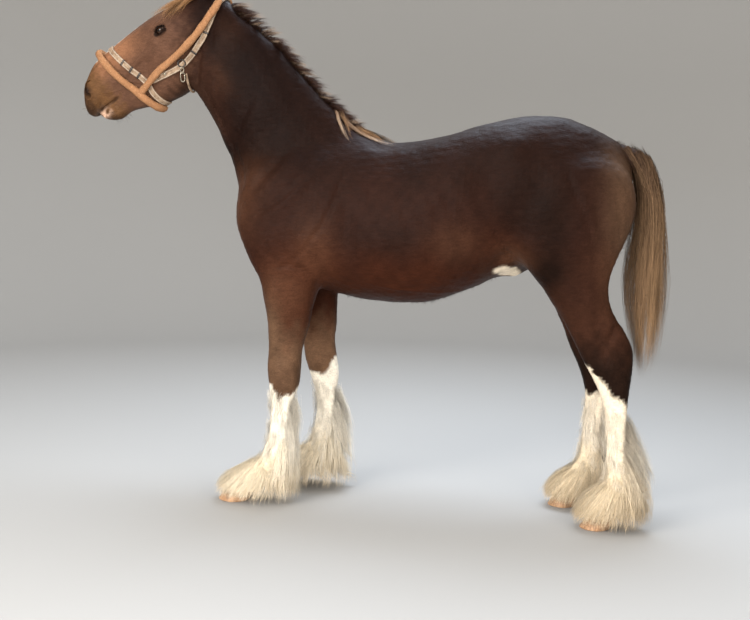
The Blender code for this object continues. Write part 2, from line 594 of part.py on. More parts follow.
def fuse_or_cut(base, others, operation, solver="EXACT"):
    """Joins closed meshes to base, or cuts them out of it, with one Boolean, and removes them."""
    group = bpy.data.collections.new("pieces")
    bpy.context.scene.collection.children.link(group)
    for other in others:
        for owner in list(other.users_collection):
            owner.objects.unlink(other)
        group.objects.link(other)
    boolean = base.modifiers.new("boolean", "BOOLEAN")
    boolean.operand_type = "COLLECTION"
    boolean.collection = group
    boolean.operation = operation
    boolean.solver = solver
    bpy.context.view_layer.update()
    evaluated(base)
    for other in others:
        bpy.data.objects.remove(other)
    bpy.data.collections.remove(group)
    keep_largest(base)


def islands(bm):
    """Lists of the vertices that hang together."""
    seen, found = set(), []
    for start in bm.verts:
        if start in seen:
            continue
        seen.add(start)
        piece, front = [start], [start]
        while front:
            vert = front.pop()
            for edge in vert.link_edges:
                other = edge.other_vert(vert)
                if other not in seen:
                    seen.add(other)
                    piece.append(other)
                    front.append(other)
        found.append(piece)
    return found


def keep_largest(obj):
    """Leaves only the closed surface with the largest box."""
    bm = bmesh.new()
    bm.from_mesh(obj.data)
    pieces = islands(bm)
    if len(pieces) > 1:
        sizes = []
        for piece in pieces:
            co = np.array([v.co for v in piece])
            sizes.append(np.prod(np.ptp(co, axis=0)))
        best = int(np.argmax(sizes))
        spare = [v for i, piece in enumerate(pieces) if i != best for v in piece]
        bmesh.ops.delete(bm, geom=spare, context="VERTS")
        bm.to_mesh(obj.data)
    bm.free()


def swollen(obj, by):
    """A copy of the object with its surface moved outwards, to cut neighbours clear of it."""
    copy = bpy.data.objects.new(obj.name + "_swollen", obj.data.copy())
    bpy.context.scene.collection.objects.link(copy)
    moved = points_of(copy) + by * normals_of(copy)
    copy.data.vertices.foreach_set("co", moved.astype(np.float32).ravel())
    copy.data.update()
    return copy


def slab(a, b, y_low, y_high, rise=0.0):
    """A thin wall across side-view line a to b; at side y its height changes by rise per metre."""
    a, b = np.array(a, float), np.array(b, float)
    along = (b - a) / np.linalg.norm(b - a)
    across = np.array([-along[1], along[0]])
    bm = bmesh.new()
    corners = []
    for y in (y_low, y_high):
        for end in (a, b):
            for half in (-0.5, 0.5):
                x, z = end + across * half * GAP
                corners.append(bm.verts.new((x, y, z + rise * (abs(y) - FORE_HALF_TRACK))))
    for face in ((0, 1, 3, 2), (4, 6, 7, 5), (0, 4, 5, 1), (2, 3, 7, 6), (0, 2, 6, 4), (1, 5, 7, 3)):
        bm.faces.new([corners[i] for i in face])
    return new_object("slab", bm)


def cut_into_nodes(flesh):
    """Thin cuts part the flesh into head, neck, torso and the upper and lower legs."""
    cutters = [slab(*NECK_CUT, -0.25, 0.25), slab(*SHOULDER_CUT, -0.35, 0.35)]
    for side, fore_shift, hind_shift in LEGS:
        y = sorted((side * 0.002, side * 0.36))
        cutters.append(slab(*ELBOW_CUT, *y, LEG_CUT_RISE))
        cutters.append(slab(*STIFLE_CUT, *y, LEG_CUT_RISE))
        for x, z in ((-0.35, KNEE_Z), (0.98, HOCK_Z)):
            shift = fore_shift if x < 0 else hind_shift
            low = (x + shift * 0.5 - 0.16, z)
            cutters.append(slab(low, (low[0] + 0.32, z), *y))
    for cutter in cutters:
        boolean = flesh.modifiers.new("cut", "BOOLEAN")
        boolean.object = cutter
        boolean.operation = "DIFFERENCE"
    evaluated(flesh)
    for cutter in cutters:
        bpy.data.objects.remove(cutter)
    bm = bmesh.new()
    bm.from_mesh(flesh.data)
    nodes = {}
    for piece in islands(bm):
        co = np.array([v.co for v in piece])
        if np.prod(np.ptp(co, axis=0)) < 1e-5:
            continue
        name = node_name(co.mean(axis=0))
        part = bmesh.new()
        copies = {v: part.verts.new(v.co) for v in piece}
        faces = {face for v in piece for face in v.link_faces}
        for face in sorted(faces, key=lambda f: f.index):
            part.faces.new([copies[v] for v in face.verts])
        nodes[name] = new_object(name, part)
    bm.free()
    bpy.data.objects.remove(flesh)
    return nodes


def node_name(middle):
    """The body part whose flesh has its middle here."""
    x, y, z = middle
    if z < 1.0:
        limb = "foreleg" if x < 0.3 else "hindleg"
        level = "lower" if z < (KNEE_Z if x < 0.3 else HOCK_Z) else "upper"
        return f"{limb}_{level}_{'left' if y < 0 else 'right'}"
    if x > -0.2:
        return "torso"
    return "head" if x < -0.72 else "neck"


def head_world(s, y, n):
    x, z = head_point(s, n)
    return np.array([x, y, z])


def head_direction(ds, dy, dn):
    d = head_world(ds, dy, dn) - head_world(0, 0, 0)
    return d / np.linalg.norm(d)


def ball(name, centre, radius, segments=12, rings=7, scale=(1, 1, 1), frame=None):
    """A ball or, with a scale along the axes of frame, an egg-shaped body."""
    bm = bmesh.new()
    bmesh.ops.create_uvsphere(bm, u_segments=segments, v_segments=rings, radius=radius)
    axes = np.eye(3) if frame is None else np.array(frame)
    for vert in bm.verts:
        local = np.array(vert.co) * scale
        vert.co = Vector(np.array(centre) + local @ axes)
    return new_object(name, bm)


def eye_frame(side):
    """Axes of an eye: along its opening, up its lids, and outwards."""
    ds, dy, dn = EYE_GAZE
    out = head_direction(ds, side * dy, dn)
    along = head_direction(1.0, 0.0, 0.12)
    along = along - out * (along @ out)
    along /= np.linalg.norm(along)
    return along, np.cross(out, along), out


def eye_centre(side):
    s, y, n = EYE_AT
    return head_world(s, side * y, n)


def almond(side):
    """The opening between the lids, as a prism from inside the ball to the outside."""
    along, up, out = eye_frame(side)
    length, height = EYE_OPENING
    turn = np.linspace(0, 2 * math.pi, 16, endpoint=False)
    x = np.cos(turn) * length / 2
    y = np.sin(turn) * np.abs(np.sin(turn)) ** 0.4 * height / 2
    rows = []
    for depth, spread in ((0.004, 0.9), (EYE_RADIUS + 0.02, 1.25)):
        rows.append(
            eye_centre(side) + out * depth + spread * (x[:, None] * along + y[:, None] * up)
        )
    bm = bmesh.new()
    add_rings(bm, np.array(rows))
    return new_object("almond", bm)


def four_sided(name, rings, closed=False):
    """A strip of four-cornered sections, its ends capped or joined to each other."""
    bm = bmesh.new()
    rows = [[bm.verts.new(p) for p in ring] for ring in rings]
    pairs = list(zip(rows, rows[1:])) + ([(rows[-1], rows[0])] if closed else [])
    for low, high in pairs:
        for i in range(4):
            j = (i + 1) % 4
            bm.faces.new((low[i], low[j], high[j]))
            bm.faces.new((low[i], high[j], high[i]))
    if not closed:
        bm.faces.new(rows[0][::-1])
        bm.faces.new(rows[-1])
    return new_object(name, bm)


def swept(name, path, outward, half_widths, half_depth):
    """A four-sided flat strip along a path, with its flat face turned outward."""
    ahead = np.gradient(path, axis=0)
    across = np.cross(ahead, outward)
    across /= np.linalg.norm(across, axis=1, keepdims=True)
    wide, deep = across * half_widths[:, None], outward * half_depth
    rings = np.stack([path + wide + deep, path - wide + deep, path - wide - deep, path + wide - deep], 1)
    return four_sided(name, rings)


def surface_tree(obj):
    return BVHTree.FromObject(obj, bpy.context.evaluated_depsgraph_get())


def smooth_route(points, step, closed=False):
    """Points every step metres on a soft curve through the given ones."""
    points = np.array(points, float)
    if closed:
        points = np.vstack([points, points[:1]])
    at = np.concatenate([[0], np.cumsum(np.linalg.norm(np.diff(points, axis=0), axis=1))])
    count = max(4, int(at[-1] / step) + 1)
    want = np.linspace(0, at[-1], count)
    if closed:
        slope = np.roll(points[:-1], -1, 0) - np.roll(points[:-1], 1, 0)
        gaps = np.diff(at)
        slope = slope / (gaps + np.roll(gaps, 1))[:, None]
        slope = np.vstack([slope, slope[:1]])
    else:
        slope = np.gradient(points, at, axis=0)
    k = np.clip(np.searchsorted(at, want, side="right") - 1, 0, len(points) - 2)
    h = (at[k + 1] - at[k])[:, None]
    t = ((want - at[k]) / (at[k + 1] - at[k]))[:, None]
    curve = (
        (2 * t**3 - 3 * t**2 + 1) * points[k]
        + (t**3 - 2 * t**2 + t) * h * slope[k]
        + (3 * t**2 - 2 * t**3) * points[k + 1]
        + (t**3 - t**2) * h * slope[k + 1]
    )
    return curve[:-1] if closed else curve


def laid_on(tree, points, height):
    """Each point dropped on the nearest skin and lifted by height, with the skin's direction there."""
    places, outward = [], []
    for point in points:
        place, normal, _, _ = tree.find_nearest(Vector(point))
        away = Vector(point) - place
        out = away.normalized() if away.length > 0.004 and away.dot(normal) > 0 else normal
        places.append(np.array(place + out * height))
        outward.append(np.array(out))
    outward = np.array(outward)
    blurred = (np.roll(outward, 1, 0) + 2 * outward + np.roll(outward, -1, 0)) / 4
    blurred[0], blurred[-1] = outward[0], outward[-1]
    return np.array(places), blurred / np.linalg.norm(blurred, axis=1, keepdims=True)


def carve_head(head):
    """Lids and sockets, nostrils and the line of the mouth."""
    lids = [ball("lid", eye_centre(side), EYE_RADIUS + LID) for side in (-1, 1)]
    fuse_or_cut(head, lids, "UNION")
    tree = surface_tree(head)
    cutters = []
    for side in (-1, 1):
        cutters.append([ball("socket", eye_centre(side), EYE_RADIUS + GAP), almond(side)])
        s, y, n = NOSTRIL
        axes = (head_direction(0.62, 0, 0.78), head_direction(0.78, 0, -0.62), (0, side, 0))
        centre = head_world(s, side * (y + 0.008), n)
        cutters.append([ball("nostril", centre, 0.02, 12, 6, (1.45, 0.62, 1.0), axes)])
    corner_to_corner = [head_world(s, -0.07, n) for s, n in MOUTH]
    corner_to_corner += [head_world(0.775, 0.0, -0.106)]
    corner_to_corner += [head_world(s, 0.07, n) for s, n in MOUTH[::-1]]
    path, outward = laid_on(tree, smooth_route(corner_to_corner, 0.028), 0.0)
    half = np.full(len(path), 0.0016)
    half[0] = half[-1] = 0.0008
    cutters.append([swept("mouth", path, outward, half, 0.007)])
    for group in cutters:
        fuse_or_cut(head, group, "DIFFERENCE")


def ear(side):
    """A leaf rolled into a cup, open forwards and outwards, with walls that thin to the tip."""
    s, y, n = EAR_BASE
    forward, outwards = EAR_LEAN
    base = head_world(s, side * y, n)
    axis = np.array([-forward, side * outwards, 1.0])
    axis /= np.linalg.norm(axis)
    opening = np.array([-0.86, side * 0.50, 0.0])
    opening -= axis * (opening @ axis)
    opening /= np.linalg.norm(opening)
    across = np.cross(axis, opening)
    u = np.linspace(0, 1, 9)[:, None]
    v = np.linspace(-1, 1, 7)[None, :]
    radius = 0.010 + 0.026 * np.sin(np.pi * np.clip(u * 0.80 + 0.20, 0, 1)) ** 0.8
    radius = radius * (1 - 0.75 * u**3.5)
    spread = np.radians(128 - 52 * u)
    angle = spread * v
    wall = EAR_WALL * (1 - 0.62 * u)
    curl = 0.012 * u**2

    def skin(r):
        middle = base + axis * (u * EAR_LENGTH)[..., None] - opening * curl[..., None]
        middle = middle - across * (side * 0.010 * u**3)[..., None]
        return (
            middle
            - opening * (r * np.cos(angle))[..., None]
            + across * (r * np.sin(angle))[..., None]
        )

    outer, inner = skin(radius), skin(np.maximum(radius - wall, 0.0012))
    bm = bmesh.new()
    faces = [[[bm.verts.new(p) for p in row] for row in grid] for grid in (outer, inner)]
    rows, columns = len(outer), outer.shape[1]
    for i in range(rows - 1):
        for j in range(columns - 1):
            for grid, flip in ((faces[0], 1), (faces[1], -1)):
                a, b, c, d = grid[i][j], grid[i][j + 1], grid[i + 1][j + 1], grid[i + 1][j]
                bm.faces.new((a, b, c)[::flip])
                bm.faces.new((a, c, d)[::flip])
    rim = [(i, 0) for i in range(rows)] + [(rows - 1, j) for j in range(1, columns)]
    rim += [(i, columns - 1) for i in range(rows - 2, -1, -1)] + [(0, j) for j in range(columns - 2, 0, -1)]
    for (i, j), (k, m) in zip(rim, rim[1:] + rim[:1]):
        a, b, c, d = faces[0][i][j], faces[0][k][m], faces[1][k][m], faces[1][i][j]
        bm.faces.new((a, b, c))
        bm.faces.new((a, c, d))
    return new_object("ear_left" if side < 0 else "ear_right", bm)


def hoof(name, sizes, y, shift):
    """A hoof: rounded in front, straighter at the heels, leaning back up to the slanted coronet."""
    toe, half_length, half_width, toe_height, heel_height = sizes
    turn = np.linspace(0, 2 * math.pi, 20, endpoint=False)
    level = np.linspace(0, 1, 4)[:, None]
    heel = np.cos(turn) < 0
    reach = np.where(heel, 0.82, 1.0) * np.cos(turn)
    height = level * (heel_height + (toe_height - heel_height) * (1 + np.cos(turn)) / 2)
    narrow = 1 - 0.17 * level
    x = toe + half_length + shift - half_length * narrow * reach + TOE_SLOPE * height * 0.72
    side = half_width * (1 - 0.19 * level) * np.sin(turn) * np.where(heel, 0.96, 1.0)
    bm = bmesh.new()
    rings = np.stack([x, y + side, height], axis=2)
    add_rings(bm, rings)
    return new_object(name, bm)


def core(rows, y=0.0, points=10):
    bm = bmesh.new()
    add_rings(bm, loft(rows, y, points, HAIR_STEP))
    return new_object("core", bm)


def lock(path, outward, half_width, half_thick, twist=0.0):
    """A flat lock with a lens section: full from the root to past the middle, then drawn to a tip."""
    path, outward = np.array(path, float), np.array(outward, float)
    count = len(path) - 1
    ahead = np.gradient(path, axis=0)
    ahead /= np.linalg.norm(ahead, axis=1, keepdims=True)
    across = np.cross(ahead, outward)
    across /= np.linalg.norm(across, axis=1, keepdims=True)
    lift = np.cross(across, ahead)
    t = np.linspace(0, 1, len(path))
    full = (0.70 + 0.30 * np.sin(np.pi * np.clip(t * 1.3, 0, 1))) * (1 - t**2.6)
    turn = (twist * t)[:, None]
    wide = (across * np.cos(turn) + lift * np.sin(turn)) * (half_width * full)[:, None]
    deep = (lift * np.cos(turn) - across * np.sin(turn)) * (half_thick * (1 - 0.75 * t**2))[:, None]
    rings = np.stack([path + wide, path + deep, path - wide, path - deep], axis=1)[:count]
    bm = bmesh.new()
    rows = [[bm.verts.new(p) for p in ring] for ring in rings]
    for low, high in zip(rows, rows[1:]):
        for i in range(4):
            j = (i + 1) % 4
            bm.faces.new((low[i], low[j], high[j]))
            bm.faces.new((low[i], high[j], high[i]))
    tip = bm.verts.new(path[-1])
    for i in range(4):
        bm.faces.new((rows[-1][i], rows[-1][(i + 1) % 4], tip))
    bm.faces.new(rows[0])
    return new_object("lock", bm)


def along(points, t):
    """The point a fraction t of the way along a line of points."""
    points = np.array(points, float)
    at = np.concatenate([[0], np.cumsum(np.linalg.norm(np.diff(points, axis=0), axis=1))])
    return np.array([np.interp(t * at[-1], at, points[:, i]) for i in range(points.shape[1])])


def on_skin(tree, guess, lift):
    near, normal, _, _ = tree.find_nearest(Vector(guess))
    return np.array(near + normal * lift), np.array(normal)


def mane_locks(tree, draw):
    """Short scraggly locks rooted along the crest; most fall on the far side, some on the near."""
    made = []
    for i in range(MANE_LOCKS):
        t = (i + 0.5) / MANE_LOCKS
        x, z = along(MANE_CREST, t)
        lie = along(MANE_CREST, min(t + 0.03, 1)) - along(MANE_CREST, max(t - 0.03, 0))
        lie = np.array([lie[0], 0.0, lie[1]]) / np.linalg.norm(lie)
        down = np.array([lie[2], 0.0, -lie[0]])
        side = -1 if i % 5 == 2 else 1
        length = draw.uniform(0.13, 0.18) * (0.7 if side < 0 else 1.0)
        fall = down + lie * (draw.uniform(0.25, 0.55) + 0.5 * t)
        fall /= np.linalg.norm(fall)
        crest, up = on_skin(tree, (x, side * 0.004, z), 0.0)
        path = [crest - up * 0.014, crest + up * 0.008 + np.array([0, side * 0.010, 0])]
        outward = [up, up + np.array([0, side * 0.6, 0])]
        for far in (0.30, 0.65, 1.0):
            lift = 0.008 + 0.010 * far + draw.uniform(0.0, 0.005)
            guess = crest + fall * far * length + np.array([0.0, side * (0.03 + 0.05 * far), 0.0])
            place, normal = on_skin(tree, guess, lift)
            path.append(place)
            outward.append(normal)
        made.append(lock(path, outward, draw.uniform(0.016, 0.021), 0.0045))
    return made


def forelock_locks(tree, draw):
    """Locks rooted between the ears that fall over the forehead, to each side of its middle."""
    made = []
    for i in range(FORELOCK_LOCKS):
        spread = (i - (FORELOCK_LOCKS - 1) / 2) / ((FORELOCK_LOCKS - 1) / 2)
        length = draw.uniform(0.16, 0.24) * (1 - 0.25 * abs(spread))
        start = 0.012 + 0.012 * (i % 2)
        root, normal = on_skin(tree, head_world(start, spread * 0.016, 0.05), -0.012)
        path, outward = [root], [normal]
        for t in (0.15, 0.45, 0.75, 1.0):
            y = spread * (0.018 + 0.058 * t) + draw.uniform(-0.006, 0.006)
            lift = 0.007 + 0.004 * t + 0.004 * (i % 2)
            place, normal = on_skin(tree, head_world(start + length * t, y, 0.14), lift)
            path.append(place)
            outward.append(normal)
        made.append(lock(path, outward, draw.uniform(0.014, 0.018), 0.004))
    return made


def reach(trees, centre, out):
    """How far the outermost of these surfaces lies from a middle point, in a level direction."""
    far = 0.0
    for tree in trees:
        start = Vector(centre + out * 0.5)
        hit, _, _, distance = tree.ray_cast(start, Vector(-out), 0.5)
        if hit is not None:
            far = max(far, 0.5 - distance)
    return far


def hanging_lock(skins, bounds, line, place, turn, drop, share, size, draw, wave=0.0):
    """A lock that leaves the skin and hangs between it and the hair's outer bounds.

    line gives the middle of the limb by height, turn the level direction from it, with 0 to the
    rear, drop the heights of root and tip, and share how near to the outer bounds the tip comes.
    """
    high, low = drop
    side, shift, top = place
    out = np.array([math.cos(turn), math.sin(turn), 0.0])
    heights = np.array([z for _, z in line])[::-1]
    middles = np.array([x for x, _ in line])[::-1]
    path, phase = [], draw.uniform(0, 6.28)
    for f in (0.0, 0.18, 0.55, 1.0):
        z = high + (low - high) * f
        x = float(slant(np.interp(z, heights, middles), z, shift, top))
        centre = np.array([x, side, z])
        inner, outer = reach(skins, centre, out), reach([bounds], centre, out)
        outer = max(outer, inner + 0.004)
        if f == 0.0:
            away = inner - 0.011
        else:
            blend = share * min(1.0, f * 2.0) ** 0.7
            away = inner + 0.003 + (outer - inner - 0.003) * blend
        bend = wave * math.sin(phase + 8 * f) * f
        path.append(centre + out * away + np.array([-out[1], out[0], 0.0]) * bend)
    return lock(path, [out + np.array([0, 0, 0.15])] * 4, *size)


def tail_locks(tail, draw):
    """Long waving locks from all round the dock, hanging down to thin tips at uneven heights."""
    skins = [surface_tree(tail)]
    hull = core(with_offset(TAIL_BOUNDS), 0.0, 16)
    bounds = surface_tree(hull)
    made = []
    for i in range(TAIL_LOCKS):
        turn = i * 2.399
        high = 1.43 - 0.30 * (i % 12) / 12
        low = draw.uniform(0.605, 0.67) if i % 2 else draw.uniform(0.66, 0.84)
        share = draw.uniform(0.75, 1.0) if i % 3 else draw.uniform(0.45, 0.7)
        size = (draw.uniform(0.022, 0.030), 0.008)
        place = (0.0, 0.0, FORE_TOP)
        made.append(
            hanging_lock(skins, bounds, TAIL_LINE, place, turn, (high, low), share, size, draw, 0.012)
        )
    bpy.data.objects.remove(hull)
    return made


def feather_locks(lower, horn, rows, lines, side, track, shift, top, draw):
    """Feather down the back of the cannon and fetlock, and hair all round over the coronet."""
    skins = [surface_tree(lower), surface_tree(horn)]
    y = side * track
    more = FAR_FEATHER_MORE if top is FORE_TOP and side > 0 else 0.0
    hull = core(leg_rows(fuller(rows, more), side, shift, top), y, 16)
    bounds = surface_tree(hull)
    made = []
    for i in range(FEATHER_LOCKS):
        t = i / (FEATHER_LOCKS - 1)
        high = KNEE_Z - 0.030 - 0.300 * t**0.6
        turn = (-1) ** i * (0.10 + 0.35 * ((i * 0.618) % 1) + 1.25 * t * ((i * 0.382) % 1))
        low = max(0.012, high - draw.uniform(0.20, 0.26))
        share = draw.uniform(0.85, 1.05)
        size = (draw.uniform(0.026, 0.036), 0.008)
        place = (y, shift, top)
        made.append(
            hanging_lock(skins, bounds, lines[0], place, turn, (high, low), share, size, draw, 0.004)
        )
    for i in range(CORONET_LOCKS):
        turn = math.pi + (-2.3 + 4.6 * i / (CORONET_LOCKS - 1))
        front = (1 - math.cos(turn)) / 2
        high = 0.150 - 0.010 * front
        low = 0.020 + 0.036 * front
        size = (draw.uniform(0.032, 0.038), 0.008)
        share = 0.7 - 0.5 * front
        made.append(
            hanging_lock(skins, bounds, lines[1], (y, shift, top), turn, (high, low), share, size, draw)
        )
    bpy.data.objects.remove(hull)
    return made


def strap(name, tree, route, half_width, thick, closed):
    """A flat strap whose two edges each follow the skin, just clear of it."""
    middle, outward = laid_on(tree, smooth_route(route, STRAP_STEP, closed), 0.0)
    ahead = np.roll(middle, -1, 0) - np.roll(middle, 1, 0) if closed else np.gradient(middle, axis=0)
    across = np.cross(ahead, outward)
    across *= half_width / np.linalg.norm(across, axis=1, keepdims=True)
    left, right = (laid_on(tree, middle + way * across, 0.0)[0] for way in (1, -1))
    low, high = outward * STRAP_CLEAR, outward * (STRAP_CLEAR + thick)
    rings = np.stack([left + high, right + high, right + low, left + low], axis=1)
    return four_sided(name, rings, closed)


def both_sides(half):
    """The whole route of a strap from its left half, which ends or begins on the middle plane."""
    mirrored = [(s, -y, n) for s, y, n in half if y]
    if half[0][1] == 0 and half[-1][1] == 0:
        return [head_world(*p) for p in half + mirrored[::-1]], True
    if half[0][1] == 0:
        return [head_world(*p) for p in half[::-1] + mirrored], False
    return [head_world(*p) for p in half + mirrored[::-1]], False


def halter(tree, wearer):
    """Two halters worn together: webbing against the skin, and a fleece-covered one over it."""
    made = {}
    for name, (half, half_width, thick) in STRAPS.items():
        route, closed = both_sides(half)
        made[name] = strap(name, tree, route, half_width, thick, closed)
    order = list(made)
    for i, name in enumerate(order):
        blockers = [swollen(node, GAP * 1.3) for node in wearer]
        blockers += [swollen(made[other], by) for other in order[:i] for by in (0.0, GAP)]
        for blocker in blockers:
            fuse_or_cut(made[name], [blocker], "DIFFERENCE", "MANIFOLD")
    return made


def place_whole(obj):
    """Moves a node to the shared origin, and shortens the cannons."""
    points = points_of(obj)
    points[:, 0] += CENTRE_X
    points[:, 2] -= CANNON_LESS * ramp(points[:, 2], *CANNON_HEIGHTS)
    obj.data.vertices.foreach_set("co", points.astype(np.float32).ravel())


def paint(obj, colour):
    """Gives the object a material of its own."""
    rgb, roughness = COLOURS[colour]
    material = bpy.data.materials.new(obj.name)
    material.use_nodes = True
    shader = material.node_tree.nodes["Principled BSDF"]
    shader.inputs["Base Color"].default_value = (*rgb, 1.0)
    shader.inputs["Roughness"].default_value = roughness
    obj.data.materials.clear()
    obj.data.materials.append(material)
    obj.data.update()


def main():
    clear_scene()
    flesh = whole_flesh()
    thin_out(flesh, [("trunk", in_trunk, 1500), ("limbs", in_limbs, 1250), ("head", in_head, 1700)])
    nodes = cut_into_nodes(flesh)
    head, neck, torso = nodes["head"], nodes["neck"], nodes["torso"]
    carve_head(head)
    for side in (-1, 1):
        nodes["eye_" + NAMES[side]] = ball("eye_" + NAMES[side], eye_centre(side), EYE_RADIUS)
    bare_skin = surface_tree(head)
    draw = np.random.default_rng(SEED)
    fuse_or_cut(head, forelock_locks(bare_skin, draw), "UNION")
    fuse_or_cut(neck, mane_locks(surface_tree(neck), draw), "UNION", "MANIFOLD")
    fuse_or_cut(neck, [swollen(torso, GAP * 1.3)], "DIFFERENCE", "MANIFOLD")
    fuse_or_cut(head, [swollen(neck, GAP * 1.3)], "DIFFERENCE", "MANIFOLD")
    for side in (-1, 1):
        one = ear(side)
        fuse_or_cut(one, [swollen(head, GAP * 1.3)], "DIFFERENCE")
        nodes[one.name] = one
    nodes.update(halter(bare_skin, [head, neck, nodes["ear_left"], nodes["ear_right"]]))
    for side, fore_shift, hind_shift in LEGS:
        name = NAMES[side]
        for limb, foot, rows, lines, track, shift, top in (
            ("foreleg", FORE_HOOF, FORE_BOUNDS, FORE_LINES, FORE_HALF_TRACK, fore_shift, FORE_TOP),
            ("hindleg", HIND_HOOF, HIND_BOUNDS, HIND_LINES, HIND_HALF_TRACK, hind_shift, HIND_TOP),
        ):
            horn = hoof(f"hoof_{limb[:4]}_{name}", foot, side * track, shift)
            lower = nodes[f"{limb}_lower_{name}"]
            locks = feather_locks(lower, horn, rows, lines, side, track, shift, top, draw)
            fuse_or_cut(lower, locks, "UNION")
            fuse_or_cut(lower, [swollen(horn, GAP * 1.3)], "DIFFERENCE", "MANIFOLD")
            fuse_or_cut(lower, [swollen(nodes[f"{limb}_upper_{name}"], GAP)], "DIFFERENCE", "MANIFOLD")
            nodes[horn.name] = horn
    tail = core(with_offset(DOCK))
    tail.name = "tail"
    nodes["tail"] = tail
    fuse_or_cut(tail, [core(with_offset(TAIL_CORE))], "UNION")
    fuse_or_cut(tail, tail_locks(tail, draw), "UNION")
    for name in ("torso", "hindleg_upper_left", "hindleg_upper_right"):
        fuse_or_cut(tail, [swollen(nodes[name], GAP * 1.3)], "DIFFERENCE", "MANIFOLD")
    for name, obj in nodes.items():
        obj.name = name
        place_whole(obj)
        for word, colour in PAINTS:
            if word in name:
                paint(obj, colour)
                break


main()
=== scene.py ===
"""The looks of a life-size model of a young shire horse in its halter.

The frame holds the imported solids. One skin, worked out from the same section tables as they are, takes
the place of all the flesh, and the mane, forelock, tail, feather and short coat lie over it as thin
tapered locks. Shapes are worked out in the tables' own frame, in metres: +Z up, the horse facing -X,
its left (near) side towards -Y, and x from the plumb line through the withers. settled() then moves
each finished piece into the part's frame.
"""

import math

import bmesh
import bpy
import numpy as np
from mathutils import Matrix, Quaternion, Vector
from mathutils.bvhtree import BVHTree


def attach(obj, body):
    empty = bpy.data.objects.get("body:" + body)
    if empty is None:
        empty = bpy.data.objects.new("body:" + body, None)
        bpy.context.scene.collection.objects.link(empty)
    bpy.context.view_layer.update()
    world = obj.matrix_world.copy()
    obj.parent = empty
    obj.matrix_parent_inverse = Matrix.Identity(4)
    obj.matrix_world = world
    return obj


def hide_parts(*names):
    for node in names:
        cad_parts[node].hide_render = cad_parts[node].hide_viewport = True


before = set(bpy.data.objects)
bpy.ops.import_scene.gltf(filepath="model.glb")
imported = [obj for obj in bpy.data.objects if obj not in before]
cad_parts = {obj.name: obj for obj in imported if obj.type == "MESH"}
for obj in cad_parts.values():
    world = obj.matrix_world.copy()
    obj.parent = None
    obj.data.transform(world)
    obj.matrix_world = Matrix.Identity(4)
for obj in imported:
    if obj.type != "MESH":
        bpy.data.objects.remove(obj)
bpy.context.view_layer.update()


# The skin's grid, how many rounds it is smoothed where limbs join and all over, and how far it lies
# inside the solids.
VOXEL = 0.0118
BLEND_STEPS = 24
SOFTEN_STEPS = 5
COAT_DEPTH = 0.002
SEED = 11

SIDES = (-1, 1)
NAMES = {-1: "left", 1: "right"}

# How far everything is moved back from the tables' frame, and how much shorter the cannons are, growing
# between two heights.
CENTRE_X = 0.060
CANNON_LESS = 0.014
CANNON_HEIGHTS = (0.06, 0.36)
# The head's tilt below level, and the poll, where its own frame starts.
HEAD_PITCH = math.radians(36.6)
POLL = (-0.72, 2.13)
# Half the width between the feet, how far each far foot is moved, and the heights between which a far
# leg leans to it.
FORE_HALF_TRACK = 0.150
HIND_HALF_TRACK = 0.150
FAR_FORE_BACK = 0.125
FAR_HIND_FORWARD = 0.140
FORE_TOP = (1.0, 0.4)
HIND_TOP = (1.1, 0.0)
LEGS = ((-1, 0.0, 0.0), (1, FAR_FORE_BACK, -FAR_HIND_FORWARD))
# Between fore and hind legs, in the tables' frame.
MID_X = 0.3
# The ear's mesh: rows along it and columns round it.
EAR_ROWS = 34
EAR_COLUMNS = 27

# Sections of the trunk, front to back: the outline point on the back and on the belly, then the
# half width, how square the section is, and how much wider it is below its middle.
TRUNK = [
    ((-0.585, 1.375), (-0.575, 1.200), 0.085, 2.0, 0.00),
    ((-0.540, 1.450), (-0.545, 1.060), 0.165, 2.1, 0.05),
    ((-0.430, 1.500), (-0.450, 0.985), 0.215, 2.2, 0.10),
    ((-0.280, 1.540), (-0.300, 0.930), 0.232, 2.2, 0.20),
    ((-0.110, 1.562), (-0.120, 0.885), 0.240, 2.1, 0.28),
    ((0.070, 1.528), (0.060, 0.866), 0.256, 2.1, 0.22),
    ((0.250, 1.553), (0.230, 0.874), 0.266, 2.2, 0.15),
    ((0.400, 1.598), (0.390, 0.930), 0.262, 2.2, 0.08),
    ((0.530, 1.632), (0.520, 0.992), 0.250, 2.2, 0.02),
    ((0.660, 1.648), (0.650, 1.030), 0.246, 2.2, -0.02),
    ((0.780, 1.633), (0.770, 1.050), 0.236, 2.1, 0.00),
    ((0.900, 1.583), (0.890, 1.080), 0.205, 2.1, 0.02),
    ((0.985, 1.532), (0.975, 1.150), 0.150, 2.0, 0.05),
    ((1.030, 1.460), (1.025, 1.260), 0.080, 2.0, 0.00),
]

# Sections of the neck from the chest to the poll: crest point, throat point, half width, and so on.
NECK = [
    ((0.020, 1.500), (-0.500, 1.080), 0.150, 2.0, 0.10),
    ((-0.070, 1.560), (-0.570, 1.190), 0.138, 2.0, 0.12),
    ((-0.150, 1.625), (-0.597, 1.300), 0.122, 2.0, 0.12),
    ((-0.245, 1.712), (-0.628, 1.410), 0.104, 2.0, 0.10),
    ((-0.345, 1.818), (-0.672, 1.505), 0.092, 2.0, 0.08),
    ((-0.450, 1.928), (-0.715, 1.595), 0.084, 2.0, 0.05),
    ((-0.560, 2.012), (-0.765, 1.675), 0.079, 2.0, 0.00),
    ((-0.660, 2.070), (-0.815, 1.745), 0.072, 2.0, 0.00),
]

